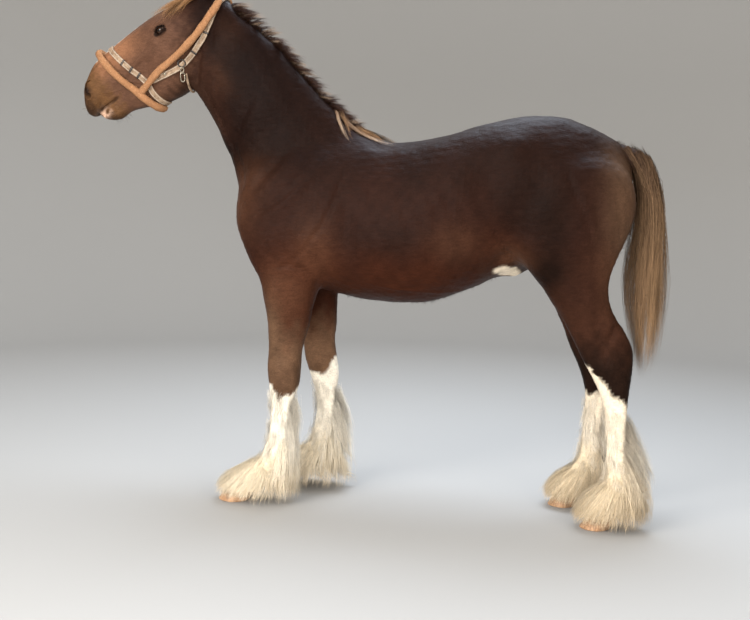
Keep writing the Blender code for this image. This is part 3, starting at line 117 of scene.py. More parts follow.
# The skull and upper jaw in the head's own frame: distance from the poll along the face, height of
# the face line and of the palate, half width, squareness, and how much wider it is below.
SKULL = [
    (-0.035, -0.050, -0.170, 0.045, 2.0, 0.0),
    (0.010, 0.000, -0.205, 0.066, 2.1, 0.0),
    (0.080, 0.030, -0.225, 0.082, 2.1, 0.0),
    (0.160, 0.060, -0.230, 0.096, 2.2, -0.05),
    (0.240, 0.078, -0.225, 0.104, 2.2, -0.10),
    (0.320, 0.086, -0.210, 0.094, 2.2, -0.10),
    (0.400, 0.090, -0.185, 0.076, 2.2, 0.00),
    (0.480, 0.091, -0.162, 0.062, 2.2, 0.05),
    (0.550, 0.090, -0.143, 0.056, 2.2, 0.08),
    (0.610, 0.083, -0.128, 0.058, 2.2, 0.08),
    (0.660, 0.056, -0.116, 0.061, 2.2, 0.00),
    (0.705, 0.020, -0.108, 0.058, 2.2, -0.05),
    (0.734, -0.020, -0.102, 0.048, 2.1, 0.00),
    (0.752, -0.050, -0.092, 0.026, 2.0, 0.00),
]
MANDIBLE = [
    (0.215, -0.110, -0.210, 0.050, 2.0, 0.0),
    (0.265, -0.080, -0.250, 0.076, 2.1, 0.0),
    (0.330, -0.070, -0.262, 0.086, 2.2, 0.0),
    (0.400, -0.070, -0.254, 0.078, 2.2, 0.0),
    (0.470, -0.080, -0.235, 0.060, 2.2, -0.1),
    (0.540, -0.090, -0.204, 0.048, 2.1, -0.1),
    (0.595, -0.098, -0.178, 0.043, 2.0, 0.0),
    (0.640, -0.102, -0.180, 0.046, 2.0, 0.0),
    (0.680, -0.106, -0.162, 0.041, 2.0, 0.0),
    (0.705, -0.110, -0.138, 0.026, 2.0, 0.0),
]

# A near foreleg from the shoulder down: front point, back point, distance from the leg's own
# fore-and-aft plane (positive is inwards), half width, squareness, widening.
FORELEG = [
    ((-0.400, 1.420), (-0.150, 1.440), 0.060, 0.060, 2.0, 0.0),
    ((-0.520, 1.300), (-0.090, 1.320), 0.030, 0.094, 2.1, 0.0),
    ((-0.565, 1.180), (-0.095, 1.180), 0.020, 0.105, 2.2, 0.0),
    ((-0.520, 1.050), (-0.130, 1.050), 0.008, 0.098, 2.2, 0.0),
    ((-0.462, 0.950), (-0.195, 0.950), 0.000, 0.084, 2.2, 0.0),
    ((-0.437, 0.850), (-0.226, 0.855), 0.000, 0.070, 2.2, 0.0),
    ((-0.423, 0.750), (-0.246, 0.755), 0.002, 0.057, 2.2, 0.0),
    ((-0.418, 0.665), (-0.270, 0.670), 0.003, 0.050, 2.3, 0.0),
    ((-0.421, 0.585), (-0.276, 0.585), 0.002, 0.054, 2.5, 0.0),
    ((-0.413, 0.515), (-0.282, 0.515), 0.000, 0.048, 2.4, 0.0),
    ((-0.405, 0.440), (-0.308, 0.440), 0.000, 0.036, 2.2, 0.0),
    ((-0.409, 0.330), (-0.314, 0.330), 0.000, 0.035, 2.2, 0.0),
    ((-0.424, 0.255), (-0.316, 0.245), 0.000, 0.042, 2.2, 0.0),
    ((-0.448, 0.200), (-0.330, 0.172), 0.000, 0.047, 2.2, 0.0),
    ((-0.495, 0.155), (-0.372, 0.106), 0.000, 0.050, 2.2, 0.0),
    ((-0.548, 0.116), (-0.430, 0.055), 0.000, 0.060, 2.2, 0.0),
    ((-0.575, 0.080), (-0.460, 0.030), 0.000, 0.060, 2.2, 0.0),
]
HINDLEG = [
    ((0.640, 1.540), (0.900, 1.520), 0.060, 0.070, 2.0, 0.0),
    ((0.560, 1.430), (1.000, 1.430), 0.020, 0.112, 2.1, 0.0),
    ((0.535, 1.300), (1.045, 1.320), 0.010, 0.125, 2.2, 0.0),
    ((0.550, 1.170), (1.030, 1.200), 0.004, 0.122, 2.2, 0.0),
    ((0.610, 1.060), (0.985, 1.080), 0.000, 0.106, 2.2, 0.0),
    ((0.685, 0.975), (0.957, 0.985), 0.000, 0.088, 2.2, 0.0),
    ((0.755, 0.880), (0.972, 0.900), 0.000, 0.071, 2.2, 0.0),
    ((0.815, 0.780), (1.022, 0.815), 0.000, 0.058, 2.2, 0.0),
    ((0.862, 0.690), (1.062, 0.735), 0.000, 0.052, 2.2, 0.0),
    ((0.902, 0.625), (1.064, 0.660), 0.000, 0.052, 2.3, 0.0),
    ((0.935, 0.560), (1.058, 0.580), 0.000, 0.046, 2.3, 0.0),
    ((0.955, 0.500), (1.052, 0.505), 0.000, 0.038, 2.2, 0.0),
    ((0.964, 0.420), (1.053, 0.420), 0.000, 0.034, 2.2, 0.0),
    ((0.972, 0.320), (1.064, 0.320), 0.000, 0.034, 2.2, 0.0),
    ((0.975, 0.250), (1.080, 0.240), 0.000, 0.042, 2.2, 0.0),
    ((0.966, 0.195), (1.078, 0.168), 0.000, 0.046, 2.2, 0.0),
    ((0.930, 0.152), (1.042, 0.104), 0.000, 0.050, 2.2, 0.0),
    ((0.898, 0.116), (1.000, 0.055), 0.000, 0.060, 2.2, 0.0),
    ((0.885, 0.080), (0.980, 0.030), 0.000, 0.060, 2.2, 0.0),
]

# The fleshy part of the tail, from inside the croup down.
DOCK = [
    ((0.935, 1.550), (0.925, 1.460), 0.050, 2.0, 0.0),
    ((1.000, 1.530), (0.970, 1.440), 0.050, 2.0, 0.0),
    ((1.065, 1.500), (1.020, 1.425), 0.044, 2.0, 0.0),
    ((1.105, 1.440), (1.050, 1.400), 0.038, 2.0, 0.0),
    ((1.125, 1.360), (1.068, 1.350), 0.032, 2.0, 0.0),
    ((1.130, 1.260), (1.084, 1.260), 0.026, 2.0, 0.0),
    ((1.128, 1.160), (1.096, 1.160), 0.018, 2.0, 0.0),
]
# The outer bounds of the tail's hair: back point, front point, half width.
TAIL_BOUNDS = [
    ((1.095, 1.470), (1.030, 1.400), 0.048, 2.0, 0.0),
    ((1.150, 1.360), (1.010, 1.330), 0.060, 2.0, 0.0),
    ((1.172, 1.240), (1.002, 1.230), 0.068, 2.0, 0.0),
    ((1.180, 1.100), (1.002, 1.100), 0.072, 2.0, 0.0),
    ((1.178, 0.950), (1.010, 0.950), 0.074, 2.0, 0.0),
    ((1.170, 0.820), (1.042, 0.810), 0.068, 2.0, 0.0),
    ((1.160, 0.700), (1.064, 0.700), 0.052, 2.0, 0.0),
    ((1.146, 0.600), (1.080, 0.600), 0.036, 2.0, 0.0),
]
# Where the tail's hair is rooted: share of the way down, x and z.
TAIL_ROOTS = [(0, 0.985, 1.500), (0.3, 1.060, 1.462), (0.6, 1.100, 1.360), (1, 1.112, 1.150)]
# The middle line the tail's hair hangs about: x and z, from the top down.
TAIL_LINE = [(1.060, 1.455), (1.102, 1.340), (1.110, 1.230), (1.108, 1.000), (1.106, 0.600)]
# The outer bounds of a near leg's feather, and the line down the middle of leg and hair.
FORE_BOUNDS = [
    ((-0.418, 0.540), (-0.268, 0.520), 0.0, 0.046, 2.0, 0.0),
    ((-0.413, 0.450), (-0.268, 0.430), 0.0, 0.042, 2.0, 0.0),
    ((-0.414, 0.350), (-0.282, 0.340), 0.0, 0.044, 2.0, 0.0),
    ((-0.432, 0.270), (-0.282, 0.250), 0.0, 0.060, 2.0, 0.0),
    ((-0.466, 0.200), (-0.277, 0.170), 0.0, 0.082, 2.2, 0.0),
    ((-0.540, 0.146), (-0.276, 0.090), 0.0, 0.100, 2.3, 0.0),
    ((-0.612, 0.095), (-0.278, 0.010), 0.0, 0.108, 2.3, 0.0),
    ((-0.635, 0.030), (-0.300, -0.060), 0.0, 0.110, 2.3, 0.0),
]
HIND_BOUNDS = [
    ((0.940, 0.580), (1.070, 0.560), 0.0, 0.044, 2.0, 0.0),
    ((0.960, 0.480), (1.078, 0.460), 0.0, 0.040, 2.0, 0.0),
    ((0.970, 0.380), (1.110, 0.370), 0.0, 0.044, 2.0, 0.0),
    ((0.972, 0.280), (1.152, 0.280), 0.0, 0.058, 2.0, 0.0),
    ((0.952, 0.200), (1.164, 0.190), 0.0, 0.078, 2.2, 0.0),
    ((0.900, 0.140), (1.160, 0.090), 0.0, 0.094, 2.3, 0.0),
    ((0.868, 0.085), (1.140, 0.010), 0.0, 0.100, 2.3, 0.0),
    ((0.860, 0.030), (1.100, -0.060), 0.0, 0.102, 2.3, 0.0),
]
# Down the back of the cannon the hair hangs straight from the fetlock; round the hoof it stands
# about the hoof's own middle.
FORE_LINE = [(-0.350, 0.520), (-0.358, 0.340), (-0.364, 0.250), (-0.380, 0.180), (-0.395, 0.110),
             (-0.400, 0.000)]
HIND_LINE = [(1.004, 0.560), (1.010, 0.340), (1.030, 0.250), (1.042, 0.180), (1.045, 0.110), (1.045, 0.000)]
FORE_RING = [(-0.430, 0.180), (-0.480, 0.110), (-0.520, 0.060), (-0.540, 0.000)]
HIND_RING = [(1.010, 0.180), (0.980, 0.110), (0.955, 0.060), (0.945, 0.000)]
FORE_LINES, HIND_LINES = (FORE_LINE, FORE_RING), (HIND_LINE, HIND_RING)
# The crest from the poll to the withers: x and z.
MANE_CREST = [(-0.628, 2.080), (-0.545, 2.015), (-0.440, 1.920), (-0.340, 1.812), (-0.250, 1.718),
              (-0.160, 1.640), (-0.070, 1.575)]
# The off fore's feather is the fullest of the four.
FAR_FEATHER_MORE = 0.045

# Eyes, in the head's frame: centre (along the face, side, height), ball radius, and the gaze.
EYE_AT = (0.256, 0.093, -0.016)
EYE_RADIUS = 0.021
LID = 0.0040
EYE_GAZE = (0.34, 0.93, 0.12)
EYE_OPENING = (0.048, 0.0235)

# Ears: base in the head's frame, length, and how they lean (forwards, outwards) for each metre up.
EAR_BASE = (0.030, 0.052, -0.010)
EAR_LENGTH = 0.178
EAR_LEAN = (0.10, 0.20)
EAR_WALL = 0.0055

# Hooves: toe's x, half length, half width at the floor, height of the coronet at toe and heel.
FORE_HOOF = (-0.626, 0.074, 0.068, 0.086, 0.046)
HIND_HOOF = (0.882, 0.068, 0.060, 0.082, 0.046)
TOE_SLOPE = 0.75

# The line of the mouth (along the face, height) and the middle of a nostril.
MOUTH = [(0.590, -0.106), (0.625, -0.106), (0.665, -0.102), (0.700, -0.104), (0.735, -0.108)]
NOSTRIL = (0.708, 0.046, -0.008)

# The halter's routes in the head's frame (along the face, side, height), left half first.
FLEECE_NOSE = [(0.560, 0, 0.11), (0.552, -0.050, 0.05), (0.540, -0.066, -0.014), (0.519, -0.064, -0.091),
               (0.493, -0.060, -0.165), (0.470, -0.030, -0.235), (0.465, 0, -0.25)]
FLEECE_CHEEK = [(0.493, -0.066, -0.162), (0.413, -0.085, -0.151), (0.325, -0.104, -0.145),
                (0.225, -0.103, -0.136), (0.144, -0.10, -0.121), (0.072, -0.09, -0.097),
                (0.008, -0.067, -0.071), (-0.022, 0, -0.03)]
WEB_NOSE = [(0.505, 0, 0.11), (0.500, -0.048, 0.06), (0.491, -0.061, 0.018), (0.470, -0.070, -0.05),
            (0.449, -0.070, -0.123), (0.440, -0.070, -0.150)]
WEB_CHEEK = [(0.425, -0.075, -0.150), (0.340, -0.100, -0.175), (0.256, -0.090, -0.183),
             (0.156, -0.093, -0.156), (0.080, -0.088, -0.116), (0.004, -0.060, -0.063), (-0.004, 0, -0.06)]
WEB_CHIN = [(0.442, -0.075, -0.150), (0.448, -0.064, -0.195), (0.440, -0.035, -0.245), (0.435, 0, -0.255)]
WEB_THROAT = [(0.262, -0.085, -0.195), (0.292, -0.065, -0.236), (0.315, -0.030, -0.270), (0.320, 0, -0.275)]

# Each strap's left half and half width, and the thickness of those that lie flat.
STRAPS = {
    "webbing_nose": (WEB_NOSE, 0.0130, 0.0045),
    "webbing_cheek": (WEB_CHEEK, 0.0125, 0.0045),
    "webbing_chin": (WEB_CHIN, 0.0125, 0.0045),
    "webbing_throat": (WEB_THROAT, 0.0100, None),
    "fleece_nose": (FLEECE_NOSE, 0.0140, None),
    "fleece_cheek": (FLEECE_CHEEK, 0.0140, None),
}

# Soft swellings (+) and hollows (-) of the trunk: centre on one side, half lengths along the body,
# across and up, pitch towards the front in degrees, and height.
MUSCLES = [
    ((-0.560, 0.100, 1.200), (0.080, 0.080, 0.085), 0, 0.016),
    ((-0.585, 0.045, 1.230), (0.080, 0.040, 0.100), 0, 0.016),
    ((-0.590, 0.000, 1.160), (0.100, 0.018, 0.120), 0, -0.014),
    ((-0.230, 0.210, 1.110), (0.120, 0.100, 0.120), 20, 0.020),
    ((-0.290, 0.190, 1.340), (0.220, 0.090, 0.050), -52, 0.012),
    ((-0.440, 0.150, 1.380), (0.200, 0.080, 0.035), -52, -0.014),
    ((-0.075, 0.240, 1.170), (0.060, 0.100, 0.200), 0, -0.010),
    ((0.030, 0.090, 1.530), (0.120, 0.050, 0.050), 0, -0.010),
    ((0.160, 0.260, 1.120), (0.280, 0.120, 0.190), 0, 0.010),
    ((0.470, 0.240, 1.370), (0.100, 0.100, 0.120), 0, -0.014),
    ((0.560, 0.200, 1.510), (0.090, 0.080, 0.080), 0, 0.014),
    ((0.620, 0.210, 1.120), (0.080, 0.090, 0.070), 0, 0.012),
    ((0.545, 0.190, 1.075), (0.080, 0.090, 0.045), -30, -0.010),
    ((0.585, 0.000, 1.005), (0.070, 0.045, 0.050), 0, 0.022),
    ((0.800, 0.110, 1.600), (0.160, 0.070, 0.080), 0, 0.008),
    ((0.780, 0.000, 1.650), (0.260, 0.020, 0.080), 0, -0.008),
    ((1.000, 0.130, 1.300), (0.060, 0.090, 0.160), 0, 0.010),
    ((0.915, 0.240, 1.230), (0.170, 0.080, 0.035), 72, -0.008),
    ((-0.630, 0.100, 1.480), (0.260, 0.080, 0.024), -62, -0.010),
    ((-0.420, 0.100, 1.700), (0.260, 0.060, 0.090), -42, 0.008),
]
# The same on a near foreleg and hind leg, with the side measured from the leg's own middle.
FORE_MUSCLES = [
    ((-0.385, 0.070, 0.880), (0.050, 0.060, 0.090), 0, 0.010),
    ((-0.350, 0.055, 0.580), (0.050, 0.050, 0.040), 0, 0.005),
    ((-0.345, 0.036, 0.400), (0.011, 0.030, 0.110), 0, -0.007),
    ((-0.372, 0.045, 0.222), (0.040, 0.040, 0.035), 0, 0.004),
]
HIND_MUSCLES = [
    ((0.840, 0.075, 0.920), (0.070, 0.070, 0.100), -25, 0.010),
    ((0.985, 0.050, 0.810), (0.022, 0.060, 0.080), 25, -0.010),
    ((0.975, 0.050, 0.665), (0.050, 0.050, 0.045), 0, 0.005),
    ((1.012, 0.036, 0.400), (0.011, 0.030, 0.110), 0, -0.007),
    ((1.025, 0.045, 0.215), (0.040, 0.040, 0.035), 0, 0.004),
]
# On the head, in its own frame: distance along the face, side, height.
HEAD_FORMS = [
    ((0.245, 0.110, 0.018), (0.048, 0.035, 0.026), 0, 0.016),
    ((0.255, 0.115, -0.040), (0.040, 0.035, 0.016), 0, 0.004),
    ((0.150, 0.085, 0.030), (0.035, 0.040, 0.028), 0, -0.012),
    ((0.335, 0.095, -0.145), (0.075, 0.040, 0.080), 0, 0.012),
    ((0.420, 0.080, -0.045), (0.130, 0.030, 0.018), 6, 0.008),
    ((0.470, 0.060, 0.020), (0.090, 0.030, 0.030), 0, -0.005),
    ((0.540, 0.055, -0.060), (0.060, 0.030, 0.040), 0, 0.004),
    ((0.668, 0.062, 0.022), (0.040, 0.030, 0.022), 25, 0.012),
    ((0.690, 0.060, -0.070), (0.040, 0.040, 0.026), 0, 0.006),
    ((0.610, 0.045, -0.150), (0.050, 0.030, 0.014), 0, -0.006),
    ((0.520, 0.000, -0.210), (0.160, 0.022, 0.030), 0, -0.012),
]

# A nostril's bent middle line (along the face, side, height), and its half width at its upper and
# lower end.
NOSTRIL_LINE = [(0.652, 0.056, 0.020), (0.668, 0.058, 0.023), (0.684, 0.058, 0.016), (0.695, 0.055, 0.001),
                (0.697, 0.053, -0.016), (0.690, 0.055, -0.029)]
NOSTRIL_WIDTHS = (0.0030, 0.0105)

# Lines raised (+) or sunk (-) in the side of the head: height, half width, and route (along, height).
FACE_LINES = [
    (0.0050, 0.0080, [(0.315, -0.036), (0.380, -0.043), (0.450, -0.056), (0.490, -0.062)]),
    (0.0020, 0.0032, [(0.300, -0.012), (0.360, -0.020), (0.430, -0.040), (0.500, -0.030), (0.580, 0.010)]),
    (0.0024, 0.0034, [(0.440, -0.240), (0.452, -0.180), (0.470, -0.120), (0.520, -0.075), (0.575, -0.050)]),
    (0.0016, 0.0028, [(0.500, -0.090), (0.545, -0.095), (0.590, -0.080), (0.635, -0.055)]),
    (-0.0034, 0.0080, [(0.395, -0.075), (0.425, -0.120), (0.436, -0.175), (0.430, -0.225)]),
    (-0.0050, 0.0110, [(0.085, -0.090), (0.150, -0.150), (0.215, -0.215), (0.262, -0.262)]),
    (0.0030, 0.0070, [(0.330, 0.058), (0.420, 0.062), (0.520, 0.060), (0.600, 0.045)]),
    (-0.0016, 0.0024, [(0.222, 0.004), (0.236, 0.022), (0.258, 0.028), (0.280, 0.018)]),
    (-0.0012, 0.0022, [(0.232, -0.048), (0.255, -0.054), (0.282, -0.046)]),
    (-0.0010, 0.0022, [(0.236, -0.058), (0.262, -0.064), (0.292, -0.054)]),
    (-0.0016, 0.0024, [(0.580, -0.094), (0.574, -0.106), (0.580, -0.120)]),
    (-0.0012, 0.0022, [(0.570, -0.090), (0.564, -0.106), (0.569, -0.124)]),
    (-0.0022, 0.0040, [(0.650, -0.150), (0.668, -0.134), (0.694, -0.128)]),
    (-0.0016, 0.0030, [(0.676, -0.048), (0.694, -0.056), (0.716, -0.050)]),
]

# Where the white of each leg ends: height for each place round the leg, from the inside of its back
# (-2) over its front (0) to the outside of its back (2).
FORE_WHITE = {
    -1: [(-2.0, 0.500), (-1.2, 0.500), (-0.4, 0.515), (0.0, 0.520), (0.5, 0.512), (0.95, 0.440),
         (1.35, 0.485), (2.0, 0.500)],
    1: [(-2.0, 0.600), (-1.5, 0.590), (-1.1, 0.520), (0.0, 0.515), (1.0, 0.500), (1.5, 0.560), (2.0, 0.600)],
}
HIND_WHITE = {
    -1: [(-2.0, 0.530), (-1.0, 0.550), (-0.4, 0.620), (0.0, 0.650), (0.35, 0.640), (0.9, 0.545),
         (1.5, 0.530), (2.0, 0.525)],
    1: [(-2.0, 0.505), (0.0, 0.510), (2.0, 0.505)],
}
# Dark places of the face, dark skin with painted shade: in a nostril, round the eye, in the mouth's groove
# and at its corner. The middle of one (along, height), its half lengths and how dark.
FACE_DARK_SKIN_AND_SHADE = [
    ((0.690, -0.004), (0.024, 0.034), 0.95),
    ((0.256, -0.016), (0.026, 0.020), 0.55),
    ((0.690, -0.106), (0.055, 0.007), 0.80),
    ((0.610, -0.108), (0.030, 0.006), 0.70),
]

# The camera: turned from the side, pitched down and rolled in degrees; its distance, height and lens.
CAMERA_TURNS = (11, 6.45, 1.5)
CAMERA_AWAY = 4.8
CAMERA_HEIGHT = 1.356
CAMERA_LENS = 55.2
SENSOR_WIDTH = 36
# The studio's dish: where the flat floor ends, the curve's radius, the wall's height, its tone; the
# world's tone and strength; and each lamp's place, aim, width, power and tone.
FLOOR_REACH = 4.8
FLOOR_CURVE = 2.4
WALL_HEIGHT = 5.5
FLOOR_BELOW = 0.0002
FLOOR_SIDES = 120
FLOOR_TONE = (0.36, 0.35, 0.335, 1)
WORLD_TONE = (1.0, 0.985, 0.96, 1)
WORLD_STRENGTH = 0.95
WARM = (1.0, 0.97, 0.93)
LAMPS = {
    "key": ((-2.4, -4.8, 3.4), (0, 0, 0.9), 3.0, 330, WARM),
    "fill": ((3.6, -4.2, 2.2), (0.2, 0, 0.8), 3.0, 130, WARM),
    "low": ((0.3, -5.0, 1.3), (0, 0, 0.35), 2.4, 170, WARM),
    "top": ((0.6, 1.2, 4.2), (0.2, 0, 1.4), 2.6, 240, (0.72, 0.84, 1.0)),
}
GLOSSY_LAMPS = ("key", "top")

FLESH = ["torso", "neck", "head", "ear_left", "ear_right"]
FLESH += [
    f"{limb}_{part}_{side}"
    for limb in ("foreleg", "hindleg")
    for part in ("upper", "lower")
    for side in ("left", "right")
]

# Numbers of guide hairs, of hairs round each, and of hairs and tufts that need no guide.
FEATHER_GUIDES = 100
CORONET_GUIDES = 155
CANNON_GUIDES = 90
FEATHER_HAIRS = 20
CANNON_HAIRS = 18
TAIL_GUIDES = 90
TAIL_HAIRS = 24
MANE_GUIDES = 120
MANE_HAIRS = 13
STREAK_HAIRS = 26
FORELOCK_GUIDES = 110
FORELOCK_HAIRS = 16
CREST_TUFTS = 170
CREST_HAIRS = 4400
COAT_TUFTS = 30000
TUFTS_PER_PIECE = 19000
EAR_HAIRS = 1200
UPPER_LASHES = 95
LOWER_LASHES = 26
WHISKERS = 120
WOOL_TUFTS = {"fleece_nose": 2200, "fleece_cheek": 2800}
GOLDEN_TURN = 2.399
# The chart's way across the middle plane: the axis, where it starts and its scale.
NEAR_MIDDLE = (1, -0.0625, 8.0)

# The halter's metalwork (along the face, height): keepers on its straps, rivets and rings.
STRAP_KEEPERS = {
    "webbing_nose": [(0.487, -0.004), (0.470, -0.052), (0.455, -0.100)],
    "webbing_cheek": [(0.200, -0.170), (0.110, -0.130)],
}
HALTER_RIVETS = [(0.352, -0.172), (0.404, -0.158)]
RING_AT = (0.262, -0.180)
SNAP_BARREL = [0.0030, 0.0048, 0.0052, 0.0052, 0.0048, 0.0030]
# How far off the skin a strap's inner face lies, and the fleece tube's inner face and its size.
STRAP_OFF = {"webbing_nose": 0.0022, "webbing_cheek": 0.0034, "webbing_chin": 0.0022}
FLEECE_OFF = 0.0060
FLEECE_HALF = 0.0150
FLEECE_THICK = 0.024

# Pale locks over the withers: start along the crest (0 to 1), run back, drop and way aside.
WITHERS_STREAKS = [
    (0.80, 0.300, 0.175, 0.050),
    (0.81, 0.270, 0.165, 0.040),
    (0.79, 0.095, 0.140, 0.085),
    (0.83, 0.240, 0.140, 0.045),
]

# Lines raised (+) or sunk (-) in neck, trunk and limbs: height, half width, and route (x, z).
BODY_LINES = [
    (-0.0060, 0.016, [(-0.770, 1.780), (-0.700, 1.640), (-0.620, 1.500), (-0.560, 1.380), (-0.530, 1.300)]),
    (-0.0045, 0.014, [(-0.190, 1.480), (-0.260, 1.380), (-0.350, 1.290), (-0.440, 1.230), (-0.520, 1.180)]),
    (-0.0045, 0.012, [(-0.100, 1.420), (-0.130, 1.300), (-0.180, 1.180), (-0.250, 1.080), (-0.330, 1.010)]),
    (-0.0050, 0.011, [(-0.210, 0.960), (-0.250, 1.000), (-0.310, 1.020), (-0.370, 1.010)]),
    (-0.0050, 0.012, [(0.480, 1.240), (0.530, 1.150), (0.580, 1.060), (0.600, 0.990)]),
    (-0.0040, 0.014, [(0.760, 1.480), (0.800, 1.360), (0.860, 1.240), (0.900, 1.120), (0.905, 1.000)]),
    (-0.0035, 0.010, [(0.900, 0.860), (0.930, 0.780), (0.960, 0.700), (0.985, 0.640)]),
    (0.0030, 0.006, [(0.000, 0.955), (0.140, 0.935), (0.280, 0.925), (0.400, 0.930)]),
]


# Small tools

def ramp(value, low, high):
    """0 below low, 1 above high, and t*t*(3 - 2t) between."""
    t = np.clip((value - low) / (high - low), 0, 1)
    return t * t * (3 - 2 * t)


def hump(value, middle, half):
    """A bell curve of height 1: exp(-((value - middle) / half) squared)."""
    return np.exp(-(((value - middle) / half) ** 2))


def mix(a, b, share):
    """a where share is 0 and b where it is 1, for each point."""
    return a + (np.asarray(b) - a) * np.asarray(share)[..., None]


def unit(vectors):
    """Vectors scaled to length 1."""
    return vectors / np.maximum(np.linalg.norm(vectors, axis=-1, keepdims=True), 1e-9)


def circle(count):
    """Angles evenly round a circle, the last one short of the first."""
    return np.linspace(0, 2 * math.pi, count, endpoint=False)


def squarer(values, power):
    """Sines or cosines raised to a power with their sign kept: below 1 they make an oval squarer."""
    return np.sign(values) * np.abs(values) ** power


def run_of(points):
    """How far along a broken line each of its points lies."""
    return np.concatenate([[0], np.cumsum(np.linalg.norm(np.diff(points, axis=0), axis=1))])


def square_to(out):
    """A unit way and two more square to it and to each other."""
    out = unit(np.array(out, float))
    side = unit(np.cross(out, (0.3, 0.5, 0.8)))
    return out, side, np.cross(out, side)


def all_of(tone, count):
    """One tone for every one of count points."""
    return np.broadcast_to(tone, (count, 3))


def wander(points, size, seed):
    """A smooth uneven number from -1 to 1 at each point: the mean of seven sine waves of about that size."""
    draw = np.random.default_rng(seed)
    ways = unit(draw.normal(size=(7, 3))) * draw.uniform(0.6, 1.6, (7, 1))
    phases = draw.uniform(0, 2 * math.pi, 7)
    return np.sin(points @ ways.T * (2 * math.pi / size) + phases).mean(axis=-1) * 1.9


def settled(points):
    """Tables' frame to part's frame: the cannons are shorter, and x starts under the whole's middle."""
    moved = np.array(points, float)
    moved[..., 2] -= CANNON_LESS * ramp(moved[..., 2], *CANNON_HEIGHTS)
    moved[..., 0] += CENTRE_X
    return moved


def head_places(s, y, n):
    """Head frame to the tables' frame: s along the face from the poll, y sideways, n above its axis."""
    c, d = math.cos(HEAD_PITCH), math.sin(HEAD_PITCH)
    s, y, n = np.broadcast_arrays(s, y, n)
    return np.stack([POLL[0] - s * c - n * d, y * 1.0, POLL[1] - s * d + n * c], axis=-1)


def head_frame(points):
    """The reverse of head_places: arrays s, y and n of the points."""
    c, d = math.cos(HEAD_PITCH), math.sin(HEAD_PITCH)
    dx, dz = points[..., 0] - POLL[0], points[..., 2] - POLL[1]
    return -dx * c - dz * d, points[..., 1], -dx * d + dz * c


def head_way(ds, dy, dn):
    """A unit direction in the tables' frame from one in the head's frame."""
    return unit(head_places(ds, dy, dn) - head_places(0.0, 0.0, 0.0))


# Meshes from arrays

def mesh_object(name, points, quads=(), triangles=()):
    """A smooth-shaded object from an array of points and arrays of four- and three-cornered faces."""
    quads = np.asarray(quads, np.int64).reshape(-1, 4)
    triangles = np.asarray(triangles, np.int64).reshape(-1, 3)
    corners = np.concatenate([quads.ravel(), triangles.ravel()])
    starts = np.concatenate([np.arange(len(quads)) * 4, quads.size + np.arange(len(triangles)) * 3])
    mesh = bpy.data.meshes.new(name)
    mesh.vertices.add(len(points))
    mesh.vertices.foreach_set("co", np.asarray(points, np.float32).ravel())
    mesh.loops.add(len(corners))
    mesh.loops.foreach_set("vertex_index", corners.astype(np.int32))
    mesh.polygons.add(len(starts))
    mesh.polygons.foreach_set("loop_start", starts.astype(np.int32))
    mesh.update(calc_edges=True)
    mesh.shade_smooth()
    obj = bpy.data.objects.new(name, mesh)
    bpy.context.scene.collection.objects.link(obj)
    return obj


def grid_faces(rows, columns, around=False):
    """Quads of a grid of points, row by row; around joins its last column to its first."""
    i = np.arange(rows - 1)[:, None] * columns
    j = np.arange(columns if around else columns - 1)[None, :]
    k = (j + 1) % columns
    return np.stack([i + j, i + k, i + columns + k, i + columns + j], axis=-1).reshape(-1, 4)


def tube(rings):
    """A stack of closed rings (rows, around, 3) skinned with quads, with a fan to its middle at each end."""
    rows, around = rings.shape[:2]
    points = np.vstack([rings.reshape(-1, 3), rings[0].mean(axis=0), rings[-1].mean(axis=0)])
    j = np.arange(around)
    k = (j + 1) % around
    last = (rows - 1) * around
    start = np.stack([k, j, np.full(around, rows * around)], axis=1)
    end = np.stack([last + j, last + k, np.full(around, rows * around + 1)], axis=1)
    return points, grid_faces(rows, around, True), np.vstack([start, end])


def closed_tube(rings):
    """A stack of rings whose last one joins the first."""
    rows, around = rings.shape[:2]
    return rings.reshape(-1, 3), grid_faces(rows + 1, around, True) % (rows * around), np.zeros((0, 3), int)


def joined(parts):
    """Several (points, quads, triangles) put into one."""
    points, quads, triangles, first = [], [], [], 0
    for own, four, three in parts:
        points.append(own)
        quads.append(np.asarray(four).reshape(-1, 4) + first)
        triangles.append(np.asarray(three).reshape(-1, 3) + first)
        first += len(own)
    return np.vstack(points), np.vstack(quads), np.vstack(triangles)


def faced_out(obj):
    """Turns every face of a closed mesh outwards."""
    bm = bmesh.new()
    bm.from_mesh(obj.data)
    bm.normal_update()
    bmesh.ops.recalc_face_normals(bm, faces=bm.faces)
    bm.to_mesh(obj.data)
    bm.free()
    return obj


def applied(obj):
    """Makes the modifiers' result the object's own mesh."""
    graph = bpy.context.evaluated_depsgraph_get()
    mesh = bpy.data.meshes.new_from_object(obj.evaluated_get(graph))
    obj.modifiers.clear()
    obj.data = mesh
    return obj


def values_of(items, word):
    """A three-number value of each of a mesh's items, as an array."""
    found = np.empty(len(items) * 3, np.float32)
    items.foreach_get(word, found)
    return found.reshape(-1, 3).astype(float)


def points_of(obj):
    """The mesh's points as an array."""
    return values_of(obj.data.vertices, "co")


def normals_of(obj):
    """The direction of the surface at each of the mesh's points."""
    return values_of(obj.data.vertices, "normal")


def move_points(obj, points):
    """Puts the mesh's points at new places."""
    obj.data.vertices.foreach_set("co", points.astype(np.float32).ravel())
    obj.data.update()


def weights_on(obj, name, weights):
    """A vertex group that holds these weights, rounded to tenths."""
    group = obj.vertex_groups.new(name=name)
    tenths = np.round(weights * 10).astype(int)
    for level in range(1, 11):
        members = np.nonzero(tenths == level)[0]
        if len(members):
            group.add(members.tolist(), level / 10, "REPLACE")


